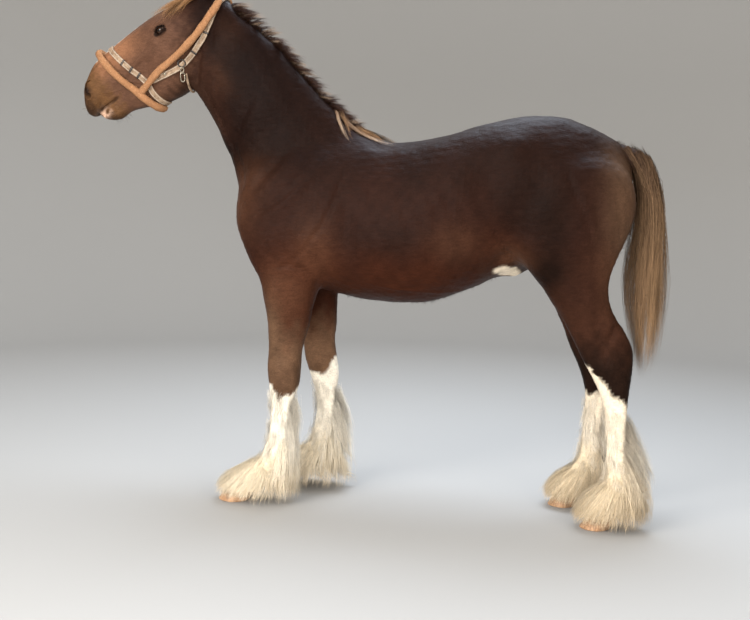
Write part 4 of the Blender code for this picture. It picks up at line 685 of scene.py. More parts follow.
def smooth_by(obj, weights, factor, rounds):
    """Moves each point towards its neighbours' mean, by its weight, that many rounds."""
    weights_on(obj, "smooth", weights)
    soften = obj.modifiers.new("smooth", "SMOOTH")
    soften.factor, soften.iterations, soften.vertex_group = factor, rounds, "smooth"
    applied(obj)
    obj.vertex_groups.clear()


def cut_or_joined(obj, others, operation, solver="MANIFOLD"):
    """One Boolean of closed meshes on obj, which are then removed."""
    for other in others:
        boolean = obj.modifiers.new("boolean", "BOOLEAN")
        boolean.object, boolean.operation, boolean.solver = other, operation, solver
    applied(obj)
    for other in others:
        bpy.data.objects.remove(other)


def tree_of(obj):
    """A search tree of the object's surface."""
    return BVHTree.FromObject(obj, bpy.context.evaluated_depsgraph_get())


# From section tables to the skin

def spline(rows, steps_per_metre):
    """Rows of numbers read evenly off a smooth curve through them, in cubic pieces with mean slopes."""
    rows = np.asarray(rows, float)
    at = run_of((rows[:, 0:2] + rows[:, 2:4]) / 2)
    want = np.linspace(0, at[-1], max(len(rows), int(at[-1] * steps_per_metre)))
    return cubic(rows, np.gradient(rows, at, axis=0), at, want)


def hermite(t, h, start, leave, end, arrive):
    """A smooth step of length h from start to end with given slopes at both, where t runs from 0 to 1:
    (2t^3 - 3t^2 + 1) start + (t^3 - 2t^2 + t) h leave + (3t^2 - 2t^3) end + (t^3 - t^2) h arrive."""
    go = (2 * t**3 - 3 * t**2 + 1) * start + (t**3 - 2 * t**2 + t) * h * leave
    return go + (3 * t**2 - 2 * t**3) * end + (t**3 - t**2) * h * arrive


def cubic(rows, slope, at, want):
    """Rows known at some places along a curve, with their slopes there, read at the wanted places."""
    k = np.clip(np.searchsorted(at, want, side="right") - 1, 0, len(rows) - 2)
    h = (at[k + 1] - at[k])[:, None]
    t = (want - at[k])[:, None] / h
    return hermite(t, h, rows[k], slope[k], rows[k + 1], slope[k + 1])


def smooth_route(points, step, closed=False):
    """Points every step metres on a soft curve through the given ones, by the same cubic pieces."""
    points = np.array(points, float)
    if closed:
        points = np.vstack([points, points[:1]])
    at = run_of(points)
    want = np.linspace(0, at[-1], max(4, int(at[-1] / step) + 1))
    if closed:
        gaps = np.diff(at)
        chord = np.roll(points[:-1], -1, 0) - np.roll(points[:-1], 1, 0)
        slope = chord / (gaps + np.roll(gaps, 1))[:, None]
        slope = np.vstack([slope, slope[:1]])
    else:
        slope = np.gradient(points, at, axis=0)
    curve = cubic(points, slope, at, want)
    return curve[:-1] if closed else curve


def loft(rows, y=0.0, points=32, step=0.02):
    """Rings through section rows: between the two outline points seen from the side each ring is a
    superellipse |c|^(2/power), |s|^(2/power) of the row's half width, wider below by its last number."""
    fine = spline([(*a, *b, *rest) for a, b, *rest in rows], 1 / step)
    front, back = fine[:, 0:2], fine[:, 2:4]
    offset, half_width, power, widening = (fine[:, i:i + 1] for i in range(4, 8))
    c, s = np.cos(circle(points)), np.sin(circle(points))
    up, side = squarer(c, 2 / power), squarer(s, 2 / power)
    half, mid = (front - back) / 2, (front + back) / 2
    across = y + offset + side * half_width * (1 - widening * up)
    return np.stack([mid[:, 0:1] + up * half[:, 0:1], across, mid[:, 1:2] + up * half[:, 1:2]], axis=2)


def with_offset(rows):
    """Rows of the middle line's forms with a sideways offset of nought put in."""
    return [(a, b, 0.0, *rest) for a, b, *rest in rows]


def head_rows(rows):
    """Head-frame rows (s, top, low, ...) as outline points seen from the side."""
    def seen(s, n):
        return tuple(head_places(s, 0, n)[[0, 2]])

    return [(seen(s, top), seen(s, low), 0.0, *rest) for s, top, low, *rest in rows]


def slant(x, z, shift, heights):
    """A far leg's points move by shift at the lower height, and less and less up to the higher."""
    high, low = heights
    return x + shift * np.clip((high - z) / (high - low), 0.0, 1.0)


def leg_rows(rows, side, shift, top):
    """A leg's rows on one side, leaning by shift, with its offset inwards turned to that side."""
    return [
        (*((float(slant(x, z, shift, top)), z) for x, z in (a, b)), -side * inwards, *rest)
        for a, b, inwards, *rest in rows
    ]


def fuller(rows, more):
    """Hair bounds whose rear reaches further back, by more from the fetlock down."""
    return [(a, (b[0] + more * float(1 - ramp(b[1], 0.2, 0.5)), b[1]), *rest) for a, b, *rest in rows]


def swell(points, centre, radii, pitch):
    """exp(-2q) for each point, where q is its squared distance from the centre in half lengths."""
    d = points - centre
    c, s = math.cos(math.radians(pitch)), math.sin(math.radians(pitch))
    along, up = d[:, 0] * c - d[:, 2] * s, d[:, 0] * s + d[:, 2] * c
    q = (along / radii[0]) ** 2 + (d[:, 1] / radii[1]) ** 2 + (up / radii[2]) ** 2
    return np.exp(-2.0 * q)


def muscles(points):
    """The height of every swelling and hollow of the tables at each point, on both sides."""
    lift = np.zeros(len(points))

    def raise_by(form, place):
        _, radii, pitch, height = form
        return height * swell(points, place, radii, pitch)

    for side, fore_shift, hind_shift in LEGS:
        for form in MUSCLES:
            x, y, z = form[0]
            if y > 0 or side > 0:
                lift += raise_by(form, (x, side * y, z))
        for forms, shift, top, track in (
            (FORE_MUSCLES, fore_shift, FORE_TOP, FORE_HALF_TRACK),
            (HIND_MUSCLES, hind_shift, HIND_TOP, HIND_HALF_TRACK),
        ):
            for form in forms:
                x, y, z = form[0]
                for face in SIDES:
                    lift += raise_by(form, (float(slant(x, z, shift, top)), side * track + face * y, z))
        for (s, y, n), radii, pitch, height in HEAD_FORMS:
            if y > 0 or side > 0:
                x, _, z = head_places(s, y, n)
                tilt = pitch - math.degrees(HEAD_PITCH)
                lift += height * swell(points, (x, side * y, z), radii, tilt)
    return lift


def line_distance(points, route):
    """Each point's distance from a broken line, and how far along it (0 to 1) its nearest place is."""
    route = np.asarray(route, float)
    best, where = np.full(len(points), 1e9), np.zeros(len(points))
    count = len(route) - 1
    for i, (a, b) in enumerate(zip(route, route[1:])):
        ab = b - a
        t = np.clip(((points - a) @ ab) / (ab @ ab), 0, 1)
        d = np.linalg.norm(points - a - t[:, None] * ab, axis=1)
        near = d < best
        best[near], where[near] = d[near], (i + t[near]) / count
    return best, where


def eye_frame(side):
    """Axes of an eye: along its opening, up its lids, and outwards."""
    ds, dy, dn = EYE_GAZE
    out = head_way(ds, side * dy, dn)
    along = head_way(1.0, 0.0, 0.12)
    along = unit(along - out * (along @ out))
    return along, np.cross(out, along) * (1 if np.cross(out, along)[2] > 0 else -1), out


def eye_centre(side):
    """The middle of an eyeball."""
    s, y, n = EYE_AT
    return head_places(s, side * y, n)


def in_head(points):
    """Which points belong to the head."""
    return (points[:, 0] < -0.70) & (points[:, 2] > 1.52)


def in_face_detail(points):
    """Which points lie near an eye or on the muzzle."""
    s, y, n = head_frame(points)
    eyes = (np.hypot(s - EYE_AT[0], n + 0.012) < 0.062) & (np.abs(y) > 0.03)
    return in_head(points) & (eyes | (s > 0.56))


def refine(obj, inside):
    """Splits in four each face whose corners all lie inside, then rounds that region a little."""
    bm = bmesh.new()
    bm.from_mesh(obj.data)
    member = inside(points_of(obj))
    edges = [e for e in bm.edges if member[e.verts[0].index] and member[e.verts[1].index]]
    bmesh.ops.subdivide_edges(bm, edges=edges, cuts=1, use_grid_fill=True)
    bm.to_mesh(obj.data)
    bm.free()
    smooth_by(obj, inside(points_of(obj)).astype(float), 0.5, 3)


def whole_flesh():
    """Every loft in one, remeshed on a fine grid, smoothed where limbs join, with its muscles raised."""
    parts = [tube(loft(with_offset(TRUNK), points=48)), tube(loft(with_offset(NECK), points=40))]
    parts += [tube(loft(head_rows(rows), points=40)) for rows in (SKULL, MANDIBLE)]
    for side, fore_shift, hind_shift in LEGS:
        fore = leg_rows(FORELEG, side, fore_shift, FORE_TOP)
        hind = leg_rows(HINDLEG, side, hind_shift, HIND_TOP)
        parts += [tube(loft(fore, side * FORE_HALF_TRACK)), tube(loft(hind, side * HIND_HALF_TRACK))]
    flesh = faced_out(mesh_object("skin", *joined(parts)))
    remesh = flesh.modifiers.new("grid", "REMESH")
    remesh.mode, remesh.voxel_size = "VOXEL", VOXEL
    applied(flesh)
    points = points_of(flesh)
    trunk = ramp(points[:, 2], 0.85, 1.05) * ramp(points[:, 0], -0.80, -0.60)
    smooth_by(flesh, trunk * (1 - ramp(points[:, 0], 1.03, 1.06)), 0.8, BLEND_STEPS)
    smooth_by(flesh, np.ones(len(points)), 0.5, SOFTEN_STEPS)
    points = points_of(flesh)
    move_points(flesh, points + normals_of(flesh) * muscles(points)[:, None])
    return flesh


def side_view(points):
    """Points of the head as seen from its side: distance along the face and height, in columns."""
    s, _, n = head_frame(points)
    return np.stack([s, n], axis=-1)


def carve_face(skin):
    """Folds, lips, nostrils and lids of the refined head. Each line in the tables rises or sinks by its
    height times a bell curve of the distance from it, and the mouth is a groove between two soft lips."""
    points, normals = points_of(skin), normals_of(skin)
    seen = side_view(points)
    face = in_head(points)
    lift = np.zeros(len(points))
    flank = face & (np.abs(points[:, 1]) > 0.02)
    for height, half, route in FACE_LINES:
        distance, _ = line_distance(seen[flank], route)
        lift[flank] += height * hump(distance, 0, half)
    distance, _ = line_distance(seen[face], MOUTH + [(0.790, -0.108)])
    corner = ramp(seen[face][:, 0], MOUTH[0][0] - 0.008, MOUTH[0][0] + 0.012)
    lift[face] += (0.0026 * hump(distance, 0.012, 0.0065) - 0.0062 * hump(distance, 0, 0.0030)) * corner
    points = points + normals * lift[:, None]
    for side in SIDES:
        points = lids(nostril(points, side), side)
    move_points(skin, points)
    smooth_by(skin, in_face_detail(points) * 0.6, 0.5, 2)


def nostril(points, side):
    """A comma laid on the rounded corner of the muzzle: points near its bent line sink inwards, deepest at
    its wide lower end, and a soft rim rises round it."""
    route = []
    for s, y, n in NOSTRIL_LINE:
        guess = head_places(s, side * y, n)
        route.append(points[np.argmin(np.linalg.norm(points - guess, axis=1))])
    near = (np.linalg.norm(points - route[3], axis=1) < 0.075) & (points[:, 1] * side > 0.008)
    distance, along = line_distance(points[near], route)
    width = NOSTRIL_WIDTHS[0] + (NOSTRIL_WIDTHS[1] - NOSTRIL_WIDTHS[0]) * along**1.3
    sink = 1 - ramp(distance, width * 0.40, width * 1.10)
    rim = np.exp(-(((distance - width * 1.45) / 0.0050) ** 2)) * (0.5 + 0.8 * along)
    moved = points.copy()
    moved[near] += head_way(-0.62, -side * 0.70, 0.10) * ((0.014 + 0.014 * along) * sink)[:, None]
    moved[near] += head_way(0.45, side * 0.85, 0.05) * (0.0040 * rim)[:, None]
    return moved


def lids(points, side):
    """Skin near the eye lies on a ball a lid's thickness larger than the eye, and sinks behind the eye
    inside the almond opening; a crease runs over the upper lid."""
    along, up, out = eye_frame(side)
    centre = eye_centre(side)
    d = points - centre
    a, b, c = d @ along, d @ up, d @ out
    reach = np.linalg.norm(d, axis=1)
    near = (reach < 0.075) & (c > -0.012)
    ball = EYE_RADIUS + LID
    spread = np.hypot(a, b)
    height = np.sqrt(np.maximum(ball**2 - spread**2, 0.0))
    blend = 1 - ramp(spread, ball * 0.86, ball * 1.5)
    raised = np.maximum(c, c + (height - c) * blend)
    crease = -0.0028 * np.exp(-(((spread - ball * 1.12) / 0.0035) ** 2)) * ramp(b, -0.004, 0.010)
    below = -0.0014 * np.exp(-(((spread - ball * 1.25) / 0.004) ** 2)) * ramp(-b, 0.0, 0.012)
    move = np.where(near, raised - c + (crease + below), 0.0)
    return points + move[:, None] * out


def almond_prism(side):
    """The opening between the lids, as a closed prism from inside the ball to the outside."""
    along, up, out = eye_frame(side)
    x, y = almond(circle(48))
    rows = [
        eye_centre(side) + out * depth + spread * (x[:, None] * along + y[:, None] * up)
        for depth, spread in ((0.001, 0.80), (EYE_RADIUS * 0.8, 0.98), (EYE_RADIUS + 0.02, 1.30))
    ]
    return faced_out(mesh_object("almond", *tube(np.array(rows))))


def almond(turn):
    """The lids' outline: an ellipse with pointed corners, its front corner lower and longer."""
    length, height = EYE_OPENING
    x = np.cos(turn) * length / 2
    y = np.sin(turn) * np.abs(np.sin(turn)) ** 0.45 * height / 2
    return x + 0.0015 * np.cos(turn) ** 2 * np.sign(np.cos(turn)), y - 0.0022 * np.cos(turn)


def round_ball(name, centre, radius, rows=40, around=64, out=(0, 0, 1)):
    """A ball of rings about the axis out."""
    out, side, up = square_to(out)
    pitch = np.linspace(0, math.pi, rows)[1:-1, None, None]
    turn = circle(around)[None, :, None]
    ring = np.sin(pitch) * (np.cos(turn) * side + np.sin(turn) * up)
    return faced_out(mesh_object(name, *tube(centre + radius * (ring + np.cos(pitch) * out))))


def ear_shell(side):
    """A leaf rolled into a cup: at height u along the ear and turn v round it, the point lies off the
    ear's axis by a radius that swells and then tapers as 1 - 0.75 u^3.5; the inner wall follows."""
    s, y, n = EAR_BASE
    forward, outwards = EAR_LEAN
    base = head_places(s, side * y, n)
    axis = unit(np.array([-forward, side * outwards, 1.0]))
    opening = np.array([-0.86, side * 0.50, 0.0])
    opening = unit(opening - axis * (opening @ axis))
    across = np.cross(axis, opening)
    u = np.linspace(0, 1, EAR_ROWS)[:, None]
    v = np.linspace(-1, 1, EAR_COLUMNS)[None, :]
    radius = 0.010 + 0.026 * np.sin(np.pi * np.clip(u * 0.80 + 0.20, 0, 1)) ** 0.8
    radius = radius * (1 - 0.75 * u**3.5)
    angle = np.radians(128 - 52 * u) * v
    # The rim turns in a little towards the base and out again at mid height.
    rim = np.abs(v) ** 6 * (0.0030 * np.cos(u * 5.0))
    wall = EAR_WALL * (1 - 0.62 * u) * (1 - 0.55 * np.abs(v) ** 5)

    def wall_at(r):
        middle = base + axis * (u * EAR_LENGTH)[..., None] - opening * (0.012 * u**2)[..., None]
        middle = middle - across * (side * 0.010 * u**3)[..., None]
        return middle - opening * (r * np.cos(angle))[..., None] + across * (r * np.sin(angle))[..., None]

    outer = wall_at(radius + rim)
    inner = wall_at(np.maximum(radius + rim - wall, 0.0012))
    rings = np.concatenate([outer, inner[:, ::-1]], axis=1)
    rows, around = rings.shape[:2]
    j = np.arange(EAR_COLUMNS - 1)
    cap = np.stack([j, j + 1, around - 2 - j, around - 1 - j], axis=1)
    quads = np.vstack([grid_faces(rows, around, True), cap, cap[:, ::-1] + (rows - 1) * around])
    return faced_out(mesh_object("ear", rings.reshape(-1, 3), quads)), inner, axis, opening


def body_unevenness(points):
    """Small rises and hollows of the trunk: soft lumps, faint ribs that slope back, and the creases in the
    tables, each a bell curve of the distance from its route in the side view."""
    x, y, z = points.T
    trunk = (1 - in_head(points)) * ramp(z, 0.62, 0.80)
    lift = trunk * (0.0016 * wander(points, 0.10, 51) + 0.0007 * wander(points, 0.035, 52))
    barrel = hump(x, 0.18, 0.30) * hump(z, 1.20, 0.20)
    lift += 0.0006 * barrel * np.sin((x + 0.35 * (z - 1.2)) * 2 * math.pi / 0.062)
    flat = np.stack([x, z], axis=1)
    for height, half, route in BODY_LINES:
        distance, along = line_distance(flat, route)
        ends = ramp(along, 0.0, 0.2) * (1 - ramp(along, 0.8, 1.0))
        lift += height * np.exp(-((distance / half) ** 2)) * ends * (np.abs(y) > 0.05)
    return lift


def make_skin():
    """The whole skin with ears, lids, nostrils and mouth, drawn in by the coat's depth, and a search tree
    of it from before the ears were joined."""
    skin = whole_flesh()
    refine(skin, in_head)
    refine(skin, in_face_detail)
    carve_face(skin)
    points = points_of(skin)
    move_points(skin, points + normals_of(skin) * body_unevenness(points)[:, None])
    cutters = [round_ball("socket", eye_centre(side), EYE_RADIUS + 0.0004) for side in SIDES]
    cut_or_joined(skin, cutters + [almond_prism(side) for side in SIDES], "DIFFERENCE")
    points = points_of(skin)
    inset = COAT_DEPTH * (1 - 0.7 * in_head(points))
    move_points(skin, points - normals_of(skin) * inset[:, None])
    bare = tree_of(skin)
    cut_or_joined(skin, [ear_shell(side)[0] for side in SIDES], "UNION")
    points = points_of(skin)
    s, y, n = EAR_BASE
    far = [np.linalg.norm(points - head_places(s, side * y, n + 0.045), axis=1) for side in SIDES]
    smooth_by(skin, 1 - ramp(np.minimum(*far), 0.030, 0.052), 0.5, 6)
    return skin, bare


# Colours of skin and coat

def rgb(red, green, blue):
    """A colour given from 0 to 255 as the shaders' own numbers: ((c + 0.055) / 1.055) ^ 2.4."""
    return ((np.array([red, green, blue]) / 255 + 0.055) / 1.055) ** 2.4


BAY = rgb(38, 21, 15)
BAY_DARK = rgb(25, 14, 10)
BAY_RED = rgb(54, 27, 16)
BAY_LIGHT = rgb(78, 50, 35)
NECK_DARK = rgb(21, 11, 8)
POINTS_DARK = rgb(26, 16, 11)
FACE = rgb(86, 60, 46)
FACE_LIGHT = rgb(150, 104, 74)
MUZZLE_TAN = rgb(88, 61, 38)
# Dark skin of muzzle and lips, also used for the painted shade in nostrils, mouth and round the eyes.
DARK_SKIN_AND_SHADE = rgb(38, 27, 22)
WHITE = rgb(250, 240, 222)
WHITE_WARM = rgb(240, 222, 190)
# Soil on the white feet; on the hind legs also painted shade.
WHITE_SOIL_AND_SHADE = rgb(214, 186, 146)
TAIL_DARK = rgb(44, 31, 25)
TAIL_BROWN = rgb(104, 80, 62)
TAIL_GOLD = rgb(172, 138, 102)
FLEECE = rgb(150, 108, 76)
FLEECE_PALE = rgb(196, 154, 116)
GASKIN_BROWN = rgb(54, 32, 22)
# Soil with painted shade on the ends of the hind feather.
FOOT_DIRT_AND_SHADE = rgb(172, 144, 106)
# Painted shade for the creases at stifle, flank and groin.
PAINTED_CREASE_SHADE = rgb(20, 11, 7)
STREAK_PALE = rgb(206, 176, 146)
KNEE_BROWN = rgb(96, 72, 54)
# Dark lid skin with painted shade round the eye.
LID_DARK_AND_SHADE = rgb(24, 16, 13)
EAR_BROWN = rgb(66, 44, 33)
MANE_BROWN = rgb(96, 64, 46)
MANE_GOLD = rgb(176, 134, 92)
LIP_PALE = rgb(196, 160, 136)
LASH_DARK = rgb(20, 13, 10)
WHISKER_BROWN = rgb(60, 44, 36)
TAPE_PALE = rgb(172, 148, 124)
TAPE_GRIME = rgb(104, 82, 64)
THREAD = rgb(206, 196, 182)
HORN = rgb(202, 160, 122)
HORN_DARK = rgb(142, 104, 76)
HORN_SOILED = rgb(104, 80, 60)
IRON = (0.16, 0.14, 0.13)
BRASS = (0.62, 0.54, 0.42)
IRIS, PUPIL, EYE_RIM = rgb(40, 23, 13), rgb(6, 5, 4), rgb(58, 42, 34)

# Places of the body with a tone of their own, and creases at stifle and flank with painted shade: middle,
# half lengths, pitch, tone and share.
COAT_SPOTS = [
    ((-0.560, 0.060, 1.220), (0.16, 0.20, 0.20), 0, BAY_LIGHT, 0.85),
    ((-0.520, 0.110, 1.400), (0.16, 0.14, 0.14), -50, BAY_LIGHT, 0.50),
    ((-0.330, 0.230, 0.900), (0.14, 0.12, 0.16), 0, BAY_LIGHT, 0.60),
    ((-0.220, 0.200, 1.020), (0.12, 0.12, 0.10), 0, BAY_RED, 0.60),
    ((0.560, 0.220, 1.120), (0.16, 0.14, 0.12), 0, BAY_RED, 0.60),
    ((-0.400, 0.190, 0.720), (0.07, 0.10, 0.22), 0, KNEE_BROWN, 0.75),
    ((0.640, 0.230, 1.280), (0.20, 0.14, 0.22), 0, BAY_DARK, 0.80),
    ((0.620, 0.200, 1.040), (0.10, 0.14, 0.10), 0, POINTS_DARK, 0.70),
    ((0.980, 0.120, 1.280), (0.10, 0.16, 0.28), 0, KNEE_BROWN, 0.80),
    # Painted shade in the crease at the stifle.
    ((0.730, 0.210, 1.030), (0.09, 0.14, 0.10), 0, PAINTED_CREASE_SHADE, 0.95),
    ((-0.640, 0.080, 1.900), (0.10, 0.12, 0.12), 0, BAY_LIGHT, 0.45),
    # Painted shade down the crease between flank and thigh.
    ((0.740, 0.220, 1.200), (0.10, 0.14, 0.24), 0, PAINTED_CREASE_SHADE, 0.55),
    ((0.585, 0.200, 1.070), (0.09, 0.14, 0.07), 30, BAY_LIGHT, 0.70),
    ((0.950, 0.150, 1.020), (0.07, 0.14, 0.16), 0, BAY_LIGHT, 0.60),
    ((-0.210, 0.230, 1.080), (0.11, 0.14, 0.16), 0, BAY_LIGHT, 0.45),
    ((0.100, 0.250, 1.130), (0.20, 0.16, 0.10), 0, BAY_DARK, 0.45),
    ((0.360, 0.250, 1.130), (0.14, 0.16, 0.10), 0, BAY_LIGHT, 0.30),
    ((-0.700, 0.060, 1.780), (0.12, 0.12, 0.12), 0, BAY_LIGHT, 0.50),
    ((0.860, 0.200, 0.960), (0.14, 0.12, 0.12), 0, BAY, 0.50),
]

# Places where the neck is less dark, or darker: middle, half lengths, pitch and how much more.
NECK_LIGHTS = [
    ((-0.700, 0.050, 1.760), (0.09, 0.16, 0.26), -50, -0.6),
    ((-0.640, 0.060, 2.030), (0.12, 0.16, 0.09), 0, -0.6),
    ((-0.560, 0.080, 1.820), (0.14, 0.16, 0.12), 0, 0.15),
]
# The pale patch at the groin and the shade behind it: middle, half lengths and pitch.
BELLY_PATCH = ((0.570, 0.085, 1.005), (0.105, 0.125, 0.050), 22)
GROIN_SHADE = ((0.672, 0.0, 0.972), (0.045, 0.08, 0.050), 0)


def spot(points, centre, half, pitch=0.0):
    """1 at the centre fading to 0 at the half lengths, on both sides of the body."""
    both = np.stack([points[:, 0], np.abs(points[:, 1]), points[:, 2]], axis=1)
    return np.clip(swell(both, np.array(centre), half, pitch) * 1.3, 0, 1)


def middle_at(z, rows):
    """The x of a limb's middle at each height, from its section rows."""
    heights = [(a[1] + b[1]) / 2 for a, b, *_ in rows][::-1]
    return np.interp(z, heights, [(a[0] + b[0]) / 2 for a, b, *_ in rows][::-1])


def round_leg(points, rows, shift, top, track):
    """How far round its leg each point lies: 0 at the front, 1 on the outside or inside, 2 at the back,
    and a second number that is 1 outside and -1 inside."""
    x, y, z = points.T
    dx = x - slant(middle_at(z, rows), z, shift, top)
    dy = (np.abs(y) - track) * 1.3
    return 2 * np.abs(np.arctan2(np.abs(dy), -dx)) / math.pi, np.sign(dy)


def white_legs(points):
    """The share of white hair on each leg: all below a line that rises and falls round the leg."""
    x, y, z = points.T
    share = np.zeros(len(points))
    edge = 0.010 * wander(points, 0.035, 21) + 0.012 * wander(points, 0.10, 22)
    for side, fore_shift, hind_shift in LEGS:
        for rows, shift, top, track, heights in (
            (FORELEG, fore_shift, FORE_TOP, FORE_HALF_TRACK, FORE_WHITE[side]),
            (HINDLEG, hind_shift, HIND_TOP, HIND_HALF_TRACK, HIND_WHITE[side]),
        ):
            own = (y * side > 0) & ((x < MID_X) == (rows is FORELEG)) & (z < 0.9)
            turn, outside = round_leg(points[own], rows, shift, top, track)
            limit = np.interp(np.where(outside > 0, turn, -turn), *zip(*heights)) + edge[own]
            share[own] = 1 - ramp(z[own], limit - 0.008, limit + 0.008)
    return share


def coat_colour(points):
    """The coat's colour at each point, for skin and hair alike: dark bay on back, neck and thighs, redder
    below and behind, tan on the face, dark on the lower legs, and white on feet, blaze and belly. Painted
    shade darkens the creases at stifle, flank and groin, and with soil the white of the hind legs; painted
    light, with the paler hair a bay has there, lightens the inner faces of the forelegs."""
    x, y, z = points.T
    fore = x < MID_X
    uneven, fine = wander(points, 0.30, 3), wander(points, 0.06, 5)
    colour = mix(all_of(BAY, len(x)), BAY_DARK, 0.75 * ramp(z + 0.05 * uneven, 1.22, 1.52))
    low = np.where(x[:, None] > 0.45, GASKIN_BROWN, BAY_RED)
    colour = mix(colour, low, 0.85 * (1 - ramp(z + 0.04 * uneven, 0.95, 1.18)))
    for centre, half, pitch, tone, share in COAT_SPOTS:
        colour = mix(colour, tone, share * spot(points, centre, half, pitch))
    legs = 1 - ramp(z + 0.03 * fine, 0.62, 0.84)
    # The forelegs' inner faces are paler: partly the paler inner hair of a bay, partly painted light on
    # those faces.
    inside = ramp(FORE_HALF_TRACK - np.abs(y), -0.03, 0.05) * fore
    tone = np.where(fore[:, None], KNEE_BROWN * (1 + 0.55 * inside[:, None]), POINTS_DARK)
    colour = mix(colour, tone, np.where(fore, 0.80, 0.92) * legs)
    mottle = ramp(wander(points, 0.14, 61) + 0.6 * wander(points, 0.05, 62), -0.8, 1.2)
    colour = mix(colour, POINTS_DARK, 0.38 * legs * mottle)
    neck = ramp(-x, 0.10, 0.45) * ramp(z, 1.30, 1.50)
    for centre, half, pitch, more in NECK_LIGHTS:
        neck *= 1 + more * spot(points, centre, half, pitch)
    colour = mix(colour, NECK_DARK, 0.85 * neck)
    belly = ramp(spot(points, *BELLY_PATCH) + 0.12 * fine, 0.38, 0.60)
    tone = mix(all_of(WHITE, len(x)), WHITE_WARM, ramp(-z + 0.03 * fine, -0.34, -0.16))
    tone = mix(tone, WHITE_SOIL_AND_SHADE, 0.75 * ramp(-z + 0.02 * fine, -0.12, -0.02))
    # The hind legs' white is browner and darker: soil, and painted shade of the hind feet.
    tone = mix(tone, WHITE_SOIL_AND_SHADE, 0.40 * ramp(x, 0.3, 0.5))
    colour = mix(colour, tone * 0.90, np.maximum(white_legs(points), belly))
    # Painted shade in the groin, behind the pale patch.
    colour = mix(colour, PAINTED_CREASE_SHADE, spot(points, *GROIN_SHADE))
    head = ramp(-(x + 0.35 * (z - 1.9)), 0.68, 0.80) * ramp(z, 1.48, 1.56)
    colour = mix(colour, face_colour(points), head)
    colour = mix(colour, EAR_BROWN, 0.85 * ramp(z, 2.105, 2.140) * (x < -0.55))
    return colour * (1 + 0.10 * fine + 0.06 * wander(points, 0.018, 9))[:, None]


def face_colour(points):
    """Tan with a paler nose, darker jaw and lips, a white blaze down the middle and pale lower lip. Dark
    skin with painted shade darkens the nostrils, the mouth's groove and corner, and a ring round each eye.
    """
    s, y, n = head_frame(points)
    fine = wander(points, 0.035, 31)
    far = np.abs(y)
    colour = all_of(FACE, len(s))
    for tone, share in (
        (FACE_LIGHT, 0.7 * ramp(s, 0.30, 0.50) * ramp(n, -0.06, 0.06)),
        (BAY_DARK, 0.75 * (1 - ramp(n + 0.30 * (s - 0.30) + 0.02 * fine, -0.27, -0.16))),
        (BAY, 0.90 * (1 - ramp(s + 0.30 * n + 0.02 * fine, 0.08, 0.27))),
        (MUZZLE_TAN, ramp(s + 0.015 * fine, 0.56, 0.64)),
        (DARK_SKIN_AND_SHADE, 0.75 * ramp(s - 0.45 * n + 0.012 * fine, 0.690, 0.760)),
    ):
        colour = mix(colour, tone, share)
    # Dark skin and painted shade in the nostril, round the eye and in the mouth's groove and corner.
    for (sc, nc), half, share in FACE_DARK_SKIN_AND_SHADE:
        away = ((s - sc) / half[0]) ** 2 + ((n - nc) / half[1]) ** 2
        near = np.exp(-1.5 * away) * ramp(far, 0.015, 0.03)
        colour = mix(colour, DARK_SKIN_AND_SHADE, np.clip(share * near * 1.2, 0, 1))
    # A dark ring round each eye: the dark skin of the lids and painted shade round the eye.
    for side in SIDES:
        along, up, out = eye_frame(side)
        d = points - eye_centre(side)
        around = np.hypot(d @ along / EYE_OPENING[0], d @ up / EYE_OPENING[1]) * 2
        colour = mix(colour, LID_DARK_AND_SHADE, 0.95 * (1 - ramp(around + 0.1 * fine, 1.25, 1.75)) * (d @ out > 0))
    width = 0.017 + 0.019 * hump(s, 0.25, 0.11) + 0.014 * hump(s, 0.74, 0.04)
    blaze = 1 - ramp(far + 0.004 * fine, width - 0.003, width + 0.004)
    blaze = blaze * ramp(s, 0.07, 0.10) * (1 - ramp(s, 0.745, 0.76)) * ramp(n, -0.07, -0.04)
    lip = hump(s, 0.700, 0.045) * hump(n, -0.128, 0.020) * ramp(fine, -0.8, 0.6)
    colour = mix(colour, WHITE, np.clip(blaze, 0, 1))
    return mix(colour, LIP_PALE, np.clip(1.1 * lip, 0, 1))


def tint(obj, colours):
    """Keeps a colour at each point of the mesh, which the materials read by the name tint."""
    layer = obj.data.color_attributes.new("tint", "FLOAT_COLOR", "POINT")
    full = np.ones((len(colours), 4), np.float32)
    full[:, :3] = np.clip(colours, 0, 1)
    layer.data.foreach_set("color", full.ravel())


# Materials

